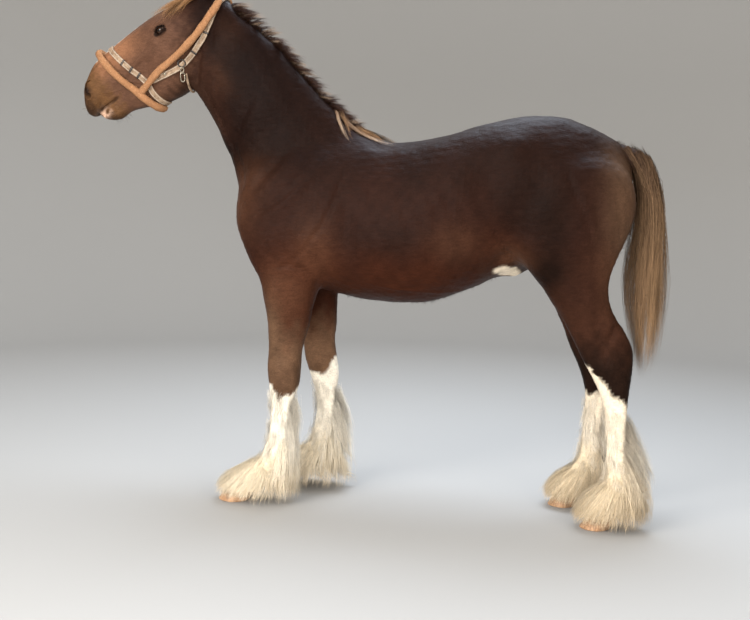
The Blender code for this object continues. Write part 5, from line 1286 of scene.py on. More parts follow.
class Finish:
    """A material's node tree with short ways to add its nodes."""

    def __init__(self, name, **settings):
        self.material = bpy.data.materials.new(name)
        self.material.use_nodes = True
        self.nodes = self.material.node_tree.nodes
        self.links = self.material.node_tree.links
        self.shader = self.nodes["Principled BSDF"]
        for socket, value in settings.items():
            self.shader.inputs[socket.replace("_", " ")].default_value = value

    def node(self, kind, **settings):
        """A new node, with sockets or settings of these names filled in."""
        made = self.nodes.new("ShaderNode" + kind)
        for key, value in settings.items():
            if key in made.inputs:
                made.inputs[key].default_value = value
            else:
                setattr(made, key, value)
        return made

    def link(self, source, out, target, socket):
        """Joins one node's output to another's input, both by name."""
        self.links.new(source.outputs[out], target.inputs[socket])

    def places(self, scale, turn=(0, 0, 0)):
        """Object coordinates, scaled and turned."""
        source = self.node("TexCoord")
        mapping = self.node("Mapping", Scale=scale, Rotation=turn)
        self.link(source, "Object", mapping, "Vector")
        return mapping

    def noise(self, places, scale, detail, rough=0.55):
        """Smooth noise over places."""
        made = self.node("TexNoise", Scale=scale, Detail=detail, Roughness=rough)
        self.link(places, "Vector", made, "Vector")
        return made

    def levels(self, source, *values):
        """A noise's value with low..high mapped to to_low..to_high, clamped."""
        made = self.node("MapRange")
        for socket, value in zip(("From Min", "From Max", "To Min", "To Max"), values):
            made.inputs[socket].default_value = value
        self.link(source, "Fac", made, "Value")
        return made.outputs["Result"]

    def math(self, kind, *values):
        """One step of arithmetic on numbers, each of them a constant or another node's value."""
        made = self.node("Math", operation=kind)
        for socket, value in zip(made.inputs, values):
            if isinstance(value, bpy.types.NodeSocket):
                self.links.new(value, socket)
            else:
                socket.default_value = value
        return made.outputs[0]

    def times(self, colour, out, factor):
        """The colour multiplied by another node's value."""
        made = self.node("VectorMath", operation="SCALE")
        self.link(colour, out, made, 0)
        self.links.new(factor, made.inputs["Scale"])
        return made

    def blend(self, first, second, factor):
        """From one colour, or another node's colour, to a second one by another node's value."""
        made = self.node("Mix", data_type="RGBA")
        if isinstance(first, bpy.types.NodeSocket):
            self.links.new(first, made.inputs["A"])
        else:
            made.inputs["A"].default_value = (*first, 1)
        made.inputs["B"].default_value = (*second, 1)
        self.links.new(factor, made.inputs["Factor"])
        return made

    def bump(self, source, out, strength, distance, under=None):
        """Raises the surface by another node's value, over a coarser bump if one is given."""
        made = self.node("Bump", Strength=strength, Distance=distance)
        self.link(source, out, made, "Height")
        if under:
            self.link(under, "Normal", made, "Normal")
        return made

    def use(self, source, out, socket):
        """Joins a node's output to the shader itself."""
        self.link(source, out, self.shader, socket)
        return self

    def on(self, *objects):
        """Makes this the only material of the objects."""
        for obj in objects:
            obj.data.materials.clear()
            obj.data.materials.append(self.material)
        return self


def coat_finish(name, streaks, turn, gloss, strength):
    """Short hair: its tint darkened and lightened along fine streaks, which also raise the surface."""
    look = Finish(name, Roughness=gloss, Specular_IOR_Level=0.035)
    colour = look.node("Attribute", attribute_name="tint")
    fine = look.noise(look.places(streaks, turn), 1.0, 4.0)
    clumps = look.noise(look.places([v * 0.25 for v in streaks], turn), 1.0, 3.0)
    dark = look.levels(fine, 0.3, 0.72, 0.80, 1.18)
    wide = look.levels(clumps, 0.3, 0.7, 0.88, 1.10)
    look.use(look.times(look.times(colour, "Color", dark), "Vector", wide), "Vector", "Base Color")
    coarse = look.bump(clumps, "Fac", strength * 0.7, 0.004)
    return look.use(look.bump(fine, "Fac", strength, 0.0015, coarse), "Normal", "Normal")


# Hair: every hair is a thin closed three-sided spike that keeps its root's place on the skin's unwrap

def hairs(name, paths, widths, outward, roots, tips, chart, flat=0.5, lean=0.7):
    """Spikes along paths (count, steps, 3): a flat triangle carried along each, full to the middle and
    drawn to a point as one less the share of its length to the power 2.4. chart holds each root's place,
    from 0 to 1 both ways. The shading normals lean to the skin's by a share, so that hair takes the light
    as the surface below does."""
    count, steps = paths.shape[:2]
    ahead = unit(np.gradient(paths, axis=1))
    across = unit(np.cross(ahead, outward[:, None, :]))
    lift = np.cross(across, ahead)
    t = np.linspace(0, 1, steps)[None, :-1, None, None]
    swell = 0.65 + 0.35 * np.sin(np.pi * np.clip(t * 1.4, 0, 1))
    section = np.array([(-1, -0.4 * flat), (1, -0.4 * flat), (0, 0.8 * flat)])
    corners = across[:, :-1, None] * section[:, :1] + lift[:, :-1, None] * section[:, 1:]
    rings = paths[:, :-1, None] + swell * (1 - t**2.4) * widths[:, None, None, None] * corners
    each = 3 * (steps - 1) + 1
    points = np.concatenate([rings.reshape(count, -1, 3), paths[:, -1:]], axis=1).reshape(-1, 3)
    i = np.arange(steps - 2)[:, None] * 3
    j, k = np.arange(3)[None, :], (np.arange(3)[None, :] + 1) % 3
    sides = np.stack([i + k, i + j, i + 3 + j, i + 3 + k], axis=-1).reshape(-1, 4)
    last = 3 * (steps - 2)
    ends = np.array([(0, 1, 2)] + [(last + (c + 1) % 3, last + c, each - 1) for c in range(3)])
    first = (np.arange(count) * each)[:, None, None]
    obj = mesh_object(name, points, sides[None] + first, ends[None] + first)
    around = np.concatenate([unit(corners).reshape(count, -1, 3), lift[:, -1:]], axis=1)
    shading = unit(unit(outward)[:, None] * lean + around * (1 - lean))
    obj.data.normals_split_custom_set_from_vertices(shading.reshape(-1, 3).astype(np.float32))
    share = np.append(np.repeat(np.linspace(0, 1, steps)[:-1], 3), 1.0)
    colours = roots[:, None] * (1 - share[None, :, None]) + tips[:, None] * share[None, :, None]
    tint(obj, colours.reshape(-1, 3))
    corner = np.empty(len(obj.data.loops), np.int32)
    obj.data.loops.foreach_get("vertex_index", corner)
    own = corner // each
    local = corner - own * each
    uv = np.clip(chart, 0, 1)[own] * 0.994
    uv[:, 0] += 0.003 * (local % 3) / 2
    uv[:, 1] += 0.003 * share[local]
    obj.data.uv_layers.new(name="OFBake").data.foreach_set("uv", uv.astype(np.float32).ravel())
    return obj


def eased(guides, steps):
    """Guides (count, few, 3) read at more steps by the same cubic pieces, evenly by their number."""
    want = np.linspace(0, guides.shape[1] - 1, steps)
    k = np.clip(want.astype(int), 0, guides.shape[1] - 2)
    slope = np.gradient(guides, axis=1)
    t = (want - k)[None, :, None]
    return hermite(t, 1, guides[:, k], slope[:, k], guides[:, k + 1], slope[:, k + 1])


def bundle(guides, each, steps, draw, root, tip, wave=0.0, turns=2.0, short=0.7):
    """Hairs round each guide: they start spread by root, draw together to tip, wave by a sine that grows
    with the length, and end at a share of the guide's length between short and 1."""
    fine = eased(guides, 40)
    count = len(guides) * each
    own = np.repeat(np.arange(len(guides)), each)
    t = np.linspace(0, 1, steps)[None, :]
    reach = draw.uniform(short, 1.0, (count, 1)) * t * 39
    k = np.clip(reach.astype(int), 0, 38)
    part = (reach - k)[..., None]
    paths = fine[own[:, None], k] * (1 - part) + fine[own[:, None], k + 1] * part
    start = draw.normal(0, root, (count, 1, 3))
    end = draw.normal(0, tip, (count, 1, 3))
    share = (t**0.8)[..., None]
    paths = paths + start * (1 - share) + end * share
    if wave:
        ways = unit(draw.normal(size=(count, 1, 3)) * (1, 1, 0.2))
        shared = draw.uniform(0, 2 * math.pi, len(guides))[own][:, None]
        phase = shared + draw.normal(0, 0.5, (count, 1))
        paths = paths + ways * (wave * t * np.sin(phase + t * 2 * math.pi * turns))[..., None]
    return paths, own


def surface_reach(trees, centre, out, start):
    """How far the outermost of these surfaces lies from a middle point, in a level direction."""
    far = 0.0
    for surface in trees:
        hit, _, _, distance = surface.ray_cast(Vector(centre + out * start), Vector(-out), start)
        if hit is not None:
            far = max(far, start - distance)
    return far


def hanging_guide(skins, bounds, line, leg, turn, drop, share, bend):
    """A guide that leaves the skin and hangs between it and the hair's outer bounds: at each height its
    distance is the skin's plus share times the room to the bounds, growing from the root."""
    high, low = drop
    side, shift, top = leg
    out = np.array([math.cos(turn), math.sin(turn), 0.0])
    heights, middles = np.array([z for _, z in line])[::-1], np.array([x for x, _ in line])[::-1]
    path = []
    for f in (0.0, 0.12, 0.3, 0.55, 0.8, 1.0):
        z = high + (low - high) * f
        centre = np.array([float(slant(np.interp(z, heights, middles), z, shift, top)), side, z])
        inner = surface_reach(skins, centre, out, 0.17)
        outer = max(surface_reach([bounds], centre, out, 0.5), inner + 0.004)
        room = outer - inner - 0.002
        away = inner - 0.008 if f == 0 else inner + 0.002 + room * share * min(1.0, f * 2) ** 0.7
        path.append(centre + out * away + np.array([-out[1], out[0], 0.0]) * bend * f)
    return path


def hull_tree(rows, y=0.0):
    """A search tree of a loft that only bounds the hair."""
    hull = faced_out(mesh_object("hull", *tube(loft(rows, y, 24, 0.04))))
    tree = tree_of(hull)
    bpy.data.objects.remove(hull)
    return tree


def white_hair(name, guides, turns, each, steps, thick, draw):
    """Fine white hairs round guides of one leg, warmer and a little soiled towards the floor. On the hind
    legs the ends near the floor turn browner and darker, partly soil and partly painted shade.
    """
    turns = np.array(turns)
    paths, own = bundle(np.array(guides), each, steps, draw, 0.0110, 0.0095, 0.003, 1.2)
    paths[..., 2] = np.maximum(paths[..., 2], 0.002)
    count = len(paths)
    out = np.stack([np.cos(turns), np.sin(turns), np.full(len(turns), 0.2)], axis=1)[own]
    shade = draw.uniform(0.86, 1.06, (count, 1))
    root = coat_colour(paths[:, 1]) * shade
    low = ramp(-paths[:, -1, 2], -0.22, -0.02) * draw.uniform(0.5, 1.0, count)
    end = mix(all_of(WHITE, count), WHITE_WARM, 0.7 * low)
    end = mix(end, WHITE_SOIL_AND_SHADE, 0.6 * ramp(low, 0.5, 1.0)) * shade
    # On the hind legs the ends near the floor turn browner and darker: soil with painted shade.
    dirt_and_shade = ramp(-paths[:, -1, 2], -0.30, -0.02) * (paths[:, 0, 0] > MID_X) * draw.uniform(0.4, 1.0, count)
    end = mix(end, FOOT_DIRT_AND_SHADE * shade, 0.75 * dirt_and_shade)
    chart = np.stack([(turns[own] / (2 * math.pi)) % 1, np.clip(paths[:, 0, 2] / 0.6, 0, 1)], axis=1)
    return hairs(name, paths, thick * draw.uniform(0.7, 1.3, count), out, root, end, chart, 0.5, 0.88)


def feather(name, trees, rows, lines, side, track, shift, top, more, draw):
    """The long white hair of one leg: a curtain down the back of the cannon and fetlock, and a skirt all
    round over the coronet that nearly hides the hoof."""
    y = side * track
    bounds = hull_tree(leg_rows(fuller(rows, more), side, shift, top), y)
    guides, turns = [], []

    def add(line, turn, high, low, shares, sway):
        share, bend = draw.uniform(*shares), draw.normal(0, sway)
        guides.append(hanging_guide(trees, bounds, line, (y, shift, top), turn, (high, low), share, bend))
        turns.append(turn)

    for i in range(FEATHER_GUIDES):
        t = (i + draw.uniform(0, 1)) / FEATHER_GUIDES
        high = 0.485 - 0.330 * t**0.75
        turn = draw.uniform(-1, 1) * (0.25 + 1.45 * t)
        add(lines[0], turn, high, max(0.006, high - draw.uniform(0.13, 0.25)), (0.60, 1.04), 0.008)
    for i in range(CORONET_GUIDES):
        turn = math.pi + (i + draw.uniform(0, 1)) / CORONET_GUIDES * 2 * math.pi
        high = draw.uniform(0.085, 0.190)
        low = 0.010 + 0.016 * (1 - math.cos(turn)) / 2 + draw.uniform(-0.006, 0.016)
        add(lines[1], turn, high, low, (0.78, 1.03), 0.007)
    long = white_hair(name, guides, turns, FEATHER_HAIRS, 6, 0.0009, draw)
    guides, turns = [], []
    for i in range(CANNON_GUIDES):
        high = 0.50 - 0.34 * (i + draw.uniform(0, 1)) / CANNON_GUIDES
        turn = math.pi + draw.uniform(-1, 1) * 2.2
        add(lines[0], turn, high, high - draw.uniform(0.05, 0.09), (0.05, 0.30), 0.006)
    short = white_hair(name.replace("feather", "cannon_hair"), guides, turns, CANNON_HAIRS, 5, 0.0008, draw)
    return long, short


def tail_hair(dock, draw):
    """Long waving locks from all round the dock, dark at the top and golden below. Each leaves the dock
    along its own lie and then hangs between the dock and the tail's bounds."""
    bounds = hull_tree(with_offset(TAIL_BOUNDS))
    tree = tree_of(dock)
    share_down, root_x, root_z = np.array(TAIL_ROOTS).T
    guides, turns = [], []
    for i in range(TAIL_GUIDES):
        t = (i + 0.5) / TAIL_GUIDES
        turn = i * GOLDEN_TURN
        x, z = (np.interp(t**0.8, share_down, values) for values in (root_x, root_z))
        out = np.array([math.cos(turn), math.sin(turn), 0.75 * (1 - t)])
        root, normal = on_skin(tree, np.array([x, 0.0, z]) + unit(out) * 0.06, -0.006)
        low = draw.uniform(0.575, 0.70) if draw.uniform() < 0.7 else draw.uniform(0.70, 0.95)
        share, bend = draw.uniform(0.55, 1.05), draw.normal(0, 0.012)
        drop = (root[2] - 0.05, low)
        hang = hanging_guide([tree], bounds, TAIL_LINE, (0.0, 0.0, FORE_TOP), turn, drop, share, bend)
        guides.append([root, root + normal * 0.008 + np.array([0.012, 0, -0.008])] + hang[1:])
        turns.append(turn)
    guides, turns = np.array(guides), np.array(turns)
    paths, own = bundle(guides, TAIL_HAIRS, 11, draw, 0.009, 0.007, 0.010, 2.4, 0.86)
    count = len(paths)
    out = np.stack([np.cos(turns), np.sin(turns), np.zeros(len(turns))], axis=1)[own]
    shade = draw.uniform(0.7, 1.2, (count, 1))
    pale = (draw.uniform(0, 1, (len(guides), 1))[own] * 0.6 + draw.uniform(0, 0.4, (count, 1)))[:, 0]
    outer = ramp(np.cos(turns[own]), -0.4, 0.7)
    root = mix(all_of(TAIL_DARK, count), TAIL_BROWN, 0.30 * pale) * shade
    end = mix(all_of(TAIL_BROWN, count), TAIL_GOLD, 0.25 + 0.75 * pale * (0.5 + 0.5 * outer)) * shade
    chart = np.stack([(turns[own] / (2 * math.pi)) % 1, (paths[:, 0, 2] - 1.0) / 0.5], axis=1)
    return hairs("tail_hair", paths, draw.uniform(0.0007, 0.0013, count), out, root, end, chart)


def on_skin(tree, guess, lift):
    """The nearest place on the skin, lifted off it, and the skin's direction there."""
    near, normal, _, _ = tree.find_nearest(Vector(guess))
    return np.array(near + normal * lift), np.array(normal)


def crest_at(share):
    """The crest's x and z at shares of its length, from the poll to the withers."""
    knots = np.linspace(0, 1, len(MANE_CREST))
    return tuple(np.interp(share, knots, values) for values in zip(*MANE_CREST))


def unwrapped(paths, *axes):
    """Each root's place on a chart: for both ways, its distance from a start times a scale."""
    return np.stack([(paths[:, 0, axis] - start) * scale for axis, start, scale in axes], axis=1)


def golden_locks(name, guides, outs, shape, tones, thick, axes):
    """Locks round guides that go from one tone at the root to brown or gold, by lock, at the tip."""
    each, steps, draw, *spread = shape
    paths, own = bundle(np.array(guides), each, steps, draw, *spread)
    shades, dark, (gold_least, gold_more) = tones
    count = len(paths)
    shade = draw.uniform(*shades, (count, 1))
    gold = gold_least + gold_more * draw.uniform(0, 1, len(guides))[own]
    root, end = all_of(dark, count) * shade, mix(all_of(MANE_BROWN, count), MANE_GOLD, gold) * shade
    chart = unwrapped(paths, *axes)
    return hairs(name, paths, draw.uniform(*thick, count), np.array(outs)[own], root, end, chart)


def mane_hair(tree, draw):
    """Short scraggly locks rooted along the crest: they fall on the far side, and the last ones, some of
    them on the near side, trail back over the withers."""
    guides, outs = [], []
    for i in range(MANE_GUIDES):
        t = (i + draw.uniform(0, 1)) / MANE_GUIDES
        x, z = crest_at(t)
        (ahead_x, ahead_z), (behind_x, behind_z) = crest_at(t + 0.05), crest_at(t - 0.05)
        lie = unit(np.array([ahead_x - behind_x, 0.0, ahead_z - behind_z]))
        down = np.array([lie[2], 0.0, -lie[0]])
        trail = ramp(t, 0.72, 0.92)
        side = -1 if draw.uniform() < 0.4 * trail else 1
        length = draw.uniform(0.10, 0.17) * (0.7 if side < 0 else 1.0) * (1 + 0.9 * trail)
        fall = unit(down * (1 - 0.85 * trail) + lie * (draw.uniform(0.2, 0.8) + 1.2 * trail))
        crest, up = on_skin(tree, (x, side * 0.004, z), 0.0)
        stand = draw.uniform(0.003, 0.016)
        path = [crest - up * 0.010, crest + up * stand + np.array([0, side * draw.uniform(0.0, 0.010), 0])]
        for far in (0.25, 0.5, 0.75, 1.0):
            aside = side * (0.02 + 0.06 * far) * (1 - 0.75 * trail)
            guess = crest + fall * far * length + np.array([0.0, aside, 0.0])
            path.append(on_skin(tree, guess, 0.004 + stand * (1 - far) + draw.uniform(0.0, 0.006))[0])
        guides.append(path)
        outs.append(unit(up + np.array([0, side * 0.6, 0])))
    shape = (MANE_HAIRS, 8, draw, 0.007, 0.006, 0.004, 1.3, 0.6)
    tones = ((0.75, 1.2), NECK_DARK, (0.2, 0.7))
    thick, chart = (0.0008, 0.0014), ((0, -0.75, 1.25), NEAR_MIDDLE)
    return golden_locks("mane_hair", guides, outs, shape, tones, thick, chart)


def crest_fringe(tree, draw):
    """A tousled fringe that stands along the crest in small pointed tufts, most leaning back and to the
    far side and some falling to the near one, longest by the poll. A tuft's hairs start apart and meet
    at its tip."""
    tufts, count = CREST_TUFTS, CREST_HAIRS
    tuft_at = draw.uniform(0, 1, tufts) ** 0.9 * 0.96
    own = draw.integers(0, tufts, count)
    at = np.clip(tuft_at[own] + draw.normal(0, 0.008, count), 0, 0.97)
    side = draw.normal(0.0, 0.010, count)
    x, z = crest_at(at)
    found = [on_skin(tree, guess, -0.003) for guess in zip(x, side, z + 0.02)]
    roots, ups = (np.array(v) for v in zip(*found))
    knots = np.linspace(0, 1, len(MANE_CREST))
    crest_x, crest_z = np.array(MANE_CREST).T
    ahead = unit(np.stack([np.gradient(crest_x), 0 * knots, np.gradient(crest_z)], axis=1))
    lie = np.stack([np.interp(tuft_at, knots, ahead[:, i]) for i in range(3)], axis=1)
    rise = np.stack([-lie[:, 2], np.zeros(tufts), lie[:, 0]], axis=1)
    rise *= np.sign(rise[:, 2:])
    to_near = draw.uniform(0, 1, (tufts, 1)) < 0.3
    aside = (np.where(to_near, -0.55, 0.45) + 0.3 * draw.normal(size=(tufts, 1))) * np.array([0, 1.0, 0])
    way = unit(rise + lie * draw.uniform(0.1, 1.1, (tufts, 1)) + aside)
    tall = draw.uniform(0.035, 0.068, (tufts, 1)) * (1.1 - 0.35 * tuft_at[:, None])
    x, z = crest_at(tuft_at)
    tip = np.stack([x, np.zeros(tufts), z], axis=1) + way * tall
    fall = 0.35 * tall * (lie * 0.6 + np.array([0, 0, -0.6]) + 0.8 * aside)
    t = np.linspace(0, 1, 5)[None, :, None]
    long = draw.uniform(0.55, 1.05, (count, 1, 1))
    reach = (tip[own] - roots + draw.normal(0, 0.005, (count, 3)))[:, None]
    swelling = 0.25 * (ups * tall[own])[:, None] * t * (1 - t)
    paths = roots[:, None] + long * (reach * t + fall[own][:, None] * t**2) + swelling
    root = all_of(NECK_DARK, count) * draw.uniform(0.8, 1.5, (count, 1))
    pale = 0.75 * (draw.uniform(0, 1, tufts) > 0.86)[own] * draw.uniform(0.3, 1, count)
    end = mix(mix(root, MANE_BROWN, draw.uniform(0, 1, count) ** 2), STREAK_PALE, pale)
    chart = np.stack([at, 0.5 + side * 8], axis=1)
    thick = draw.uniform(0.0004, 0.0008, count)
    return hairs("crest_fringe", paths, thick, ups + np.array([0, -0.8, 0]), root, end, chart)


def withers_streaks(tree, draw):
    """Thin pale locks that leave the end of the mane and trail back over the near side of the withers."""
    guides, outs = [], []
    for at, run, drop, aside in WITHERS_STREAKS:
        x, z = crest_at(at)
        crest, up = on_skin(tree, (x, 0.0, z), -0.008)
        path = [crest]
        for f in (0.06, 0.25, 0.5, 0.75, 1.0):
            sag = math.sin(math.pi * f) * 0.012
            guess = crest + np.array([run * f, -aside * f**0.8, -drop * f - sag])
            low, normal = on_skin(tree, guess, 0.0045)
            path.append(low)
        guides.append(path)
        outs.append(unit(normal + up))
    paths, own = bundle(np.array(guides), STREAK_HAIRS, 12, draw, 0.0060, 0.0035, 0.004, 2.2, 0.50)
    count = len(paths)
    shade = draw.uniform(0.8, 1.2, (count, 1))
    root, end = all_of(MANE_BROWN, count) * shade, all_of(STREAK_PALE, count) * shade
    chart = unwrapped(paths, (0, -0.45, 2.0), NEAR_MIDDLE)
    thick = draw.uniform(0.0006, 0.0010, count)
    return hairs("withers_streaks", paths, thick, np.array(outs)[own], root, end, chart)


def forelock_hair(tree, draw):
    """Locks from between the ears that fan out over the forehead and both temples, close to the skin."""
    guides, outs = [], []
    for i in range(FORELOCK_GUIDES):
        spread = (i + draw.uniform(0, 1)) / FORELOCK_GUIDES * 2 - 1
        length = draw.uniform(0.18, 0.33) * (1 - 0.20 * abs(spread))
        start, stand = draw.uniform(-0.010, 0.030), draw.uniform(0.003, 0.018)
        root, normal = on_skin(tree, head_places(start, spread * 0.030, 0.10), -0.010)
        path, bend = [root], draw.normal(0, 0.12)
        for t in (0.06, 0.25, 0.5, 0.75, 1.0):
            turn = spread * (0.35 + 1.15 * t) + bend * t * t
            guess = head_places(start + length * t, 0.16 * math.sin(turn), -0.05 + 0.19 * math.cos(turn))
            low, normal = on_skin(tree, guess, 0.003 + stand * math.sin(math.pi * (0.25 + 0.65 * t)))
            path.append(low)
        guides.append(path)
        outs.append(normal)
    shape = (FORELOCK_HAIRS, 8, draw, 0.0050, 0.0035, 0.006, 1.8, 0.65)
    tones = ((0.75, 1.15), MANE_BROWN, (0.35, 0.65))
    thick, chart = (0.0005, 0.0009), (NEAR_MIDDLE, (2, 2.0, 5.0))
    return golden_locks("forelock_hair", guides, outs, shape, tones, thick, chart)


def scattered(skin, count, density, draw):
    """Random places on the skin, as many to an area as density says there: (points, normals)."""
    mesh = skin.data
    mesh.calc_loop_triangles()
    corners = np.empty(len(mesh.loop_triangles) * 3, np.int32)
    mesh.loop_triangles.foreach_get("vertices", corners)
    points, normals = points_of(skin), normals_of(skin)
    a, b, c = (points[corners.reshape(-1, 3)[:, i]] for i in range(3))
    area = np.linalg.norm(np.cross(b - a, c - a), axis=1) / 2
    weight = area * density((a + b + c) / 3)
    pick = draw.choice(len(area), count, p=weight / weight.sum())
    r, q = np.sqrt(draw.uniform(0, 1, count)), draw.uniform(0, 1, count)
    shares = np.stack([1 - r, r * (1 - q), r * q], axis=1)[..., None]
    own = corners.reshape(-1, 3)[pick]
    return (points[own] * shares).sum(axis=1), unit((normals[own] * shares).sum(axis=1))


def coat_lie(points):
    """Which way the short hair lies: back and down on neck and trunk, straight down on the legs, down the
    face from the poll, and back along the jaw."""
    x, _, z = points.T
    trunk = np.stack([np.full(len(x), 0.80), np.zeros(len(x)), -0.62 + 0.45 * ramp(z, 1.40, 1.55)], axis=1)
    trunk = mix(trunk, np.array([0.15, 0.0, -1.0]), ramp(-x, 0.30, 0.55) * ramp(-z, -1.70, -1.35))
    way = mix(trunk, np.array([0.12, 0.0, -1.0]), 1 - ramp(z, 0.85, 1.15))
    head = in_head(points)
    s, _, n = head_frame(points)
    jaw = 1 - ramp(n + 0.3 * s, -0.20, -0.02)
    face = mix(all_of(head_way(1.0, 0.0, 0.0), len(x)), head_way(-0.6, 0.0, -0.8), jaw)
    way[head] = face[head]
    return unit(way + 0.35 * np.stack([wander(points, 0.25, 41 + i) for i in range(3)], axis=1))


def edge_density(points):
    """Most tufts where the coat breaks the outline: belly, breast, elbow, buttock, jaw, crest and legs."""
    x, _, z = points.T
    density = 0.12 + 1.5 * (1 - ramp(z, 0.90, 1.02)) * (z > 0.80) * (np.abs(x) < 0.62)
    density = density + hump(x, -0.56, 0.10) * hump(z, 1.2, 0.25)
    density = density + 1.1 * ramp(x, 0.93, 1.0) + 0.8 * (z < 0.85)
    return np.where(in_head(points), 2.0, density)


def short_coat(skin, draw):
    """Small overlapping tufts of short hair all over, in pieces by body part."""
    points, normals = scattered(skin, COAT_TUFTS, edge_density, draw)
    s, _, n = head_frame(points)
    eye = np.hypot(s - EYE_AT[0], (n - EYE_AT[2]) * 1.4) < 0.024
    nose = np.hypot(s - NOSTRIL[0], n - NOSTRIL[2]) < 0.030
    keep = ~(in_head(points) & (eye | nose)) & (points[:, 2] >= 0.07)
    points, normals = points[keep], normals[keep]
    x, _, z = points.T
    head = in_head(points)
    _, _, n = head_frame(points)
    count = len(x)
    long = 0.013 + 0.004 * spot(points, (0.20, 0.0, 0.88), (0.45, 0.14, 0.05)) + 0.006 * ramp(x, 0.95, 1.02)
    long = np.where(z < 0.53, 0.018, long)
    long = np.where(head, 0.006 + 0.006 * ramp(-n, 0.10, 0.24), long)
    long *= draw.uniform(0.7, 1.25, count)
    lie = coat_lie(points)
    lie = lie - normals * (lie * normals).sum(axis=1, keepdims=True)
    lie = unit(lie + 0.12 * draw.normal(size=lie.shape))
    rise = np.where(head, 0.06, 0.07) * draw.uniform(0.5, 1.4, count)
    t, arch = np.array([(-0.15, -0.6), (0.45, 0.75), (1.0, 1.0)]).T[:, None, :, None]
    paths = points[:, None] + lie[:, None] * (long[:, None, None] * t)
    paths = paths + normals[:, None] * ((rise * long)[:, None, None] * arch)
    colours = coat_colour(points) * draw.uniform(0.92, 1.12, (count, 1))
    tips = colours * draw.uniform(1.0, 1.3, (count, 1))
    widths = np.where(head, 0.0004, 0.0007) * draw.uniform(0.7, 1.3, count)
    made = []
    for name, own, chart in charts(points, head):
        for part in range(-(-own.sum() // TUFTS_PER_PIECE)):
            some = np.nonzero(own)[0][part * TUFTS_PER_PIECE:(part + 1) * TUFTS_PER_PIECE]
            tufts = (v[some] for v in (paths, widths, normals, colours, tips, chart))
            made.append(hairs(f"coat_{name}_{part}", *tufts, 0.4, 0.9))
    return made


def charts(points, head):
    """Body parts with an unwrap of each: how far round its long axis, and how far along it."""
    x, y, z = points.T
    s, _, n = head_frame(points)

    def unwrap(up, out, along):
        return np.stack([np.arctan2(up, out) / (2 * math.pi) + 0.5, along], axis=1)

    yield "head", head, unwrap(y, n + 0.08, (s + 0.05) / 0.82)
    legs = (z < 0.90) & ~head
    for side in SIDES:
        for rows, word in ((FORELEG, "fore"), (HINDLEG, "hind")):
            own = legs & (y * side > 0) & ((x < MID_X) == (rows is FORELEG))
            chart = unwrap(y - side * FORE_HALF_TRACK, x - middle_at(z, rows), z / 0.9)
            yield f"{word}leg_{NAMES[side]}", own, chart
    body = ~(head | legs)
    yield "body", body & (x > -0.35), unwrap(y, z - 1.3, (x + 0.35) / 1.45)
    yield "neck", body & (x <= -0.35), unwrap(y, x + 0.5 - 0.5 * (z - 1.5), (z - 0.9) / 1.25)


def ear_hair(side, wall, axis, opening, draw):
    """Soft hair that fills the ear's cup and fringes its edges."""
    rows, columns = wall.shape[:2]
    count = EAR_HAIRS
    i = draw.integers(1, int(rows * 0.86), count)
    on_edge = draw.uniform(size=count) < 0.6
    edge = draw.choice([1, 2, columns - 3, columns - 2], count)
    j = np.where(on_edge, edge, draw.integers(2, columns - 2, count))
    root = wall[i, j]
    way = opening * draw.uniform(0.1, 0.5, (count, 1)) + axis * draw.uniform(0.7, 1.2, (count, 1))
    way = unit(way + 0.12 * draw.normal(size=(count, 3)))[:, None]
    inward = unit(wall[i, columns // 2] - root + 1e-5)[:, None]
    long = (draw.uniform(0.010, 0.024, count) * (1 - 0.5 * (i / rows)))[:, None, None]
    t = np.linspace(-0.1, 1, 5)[None, :, None]
    paths = root[:, None] + way * long * t + inward * long * 0.35 * t * (1 - 0.4 * t)
    colour = mix(all_of(EAR_BROWN, count), STREAK_PALE, 0.7 * draw.uniform(0, 1, count))
    chart = np.stack([i / rows, j / columns], axis=1)
    thick, out = np.full(count, 0.0003), all_of(opening, count)
    return hairs("ear_hair_" + NAMES[side], paths, thick, out, colour, colour * 1.3, chart)


def lashes(side, draw):
    """A row of dark lashes along the upper lid and a sparse one along the lower, curving up."""
    along, up, out = eye_frame(side)
    upper, lower = np.linspace(0.12, 0.92, UPPER_LASHES), -np.linspace(0.25, 0.80, LOWER_LASHES)
    turn = np.concatenate([upper, lower]) * math.pi
    count = len(turn)
    turn += draw.normal(0, 0.02, count)
    x, y = almond(turn)
    above = (np.sin(turn) > 0)[:, None]
    depth = np.sqrt(np.maximum((EYE_RADIUS + LID) ** 2 - x**2 - y**2, 0.0)) - 0.0012
    root = eye_centre(side) + x[:, None] * along + y[:, None] * up + depth[:, None] * out
    long = draw.uniform(0.010, 0.015, (count, 1)) * np.where(above, 1.0, 0.55)
    way = unit(out + 0.35 * np.sign(y)[:, None] * up + 0.5 * (x / 0.023)[:, None] * along)
    t = np.linspace(-0.1, 1, 5)[None, :, None]
    curl = up[None, None] * (t**2) * long[:, None] * np.where(above, 0.35, -0.25)[:, None]
    paths = root[:, None] + way[:, None] * long[:, None] * t + curl
    tone, thick = all_of(LASH_DARK, count), np.full(count, 0.00042)
    return hairs("lashes_" + NAMES[side], paths, thick, all_of(up, count), tone, tone, np.zeros((count, 2)))


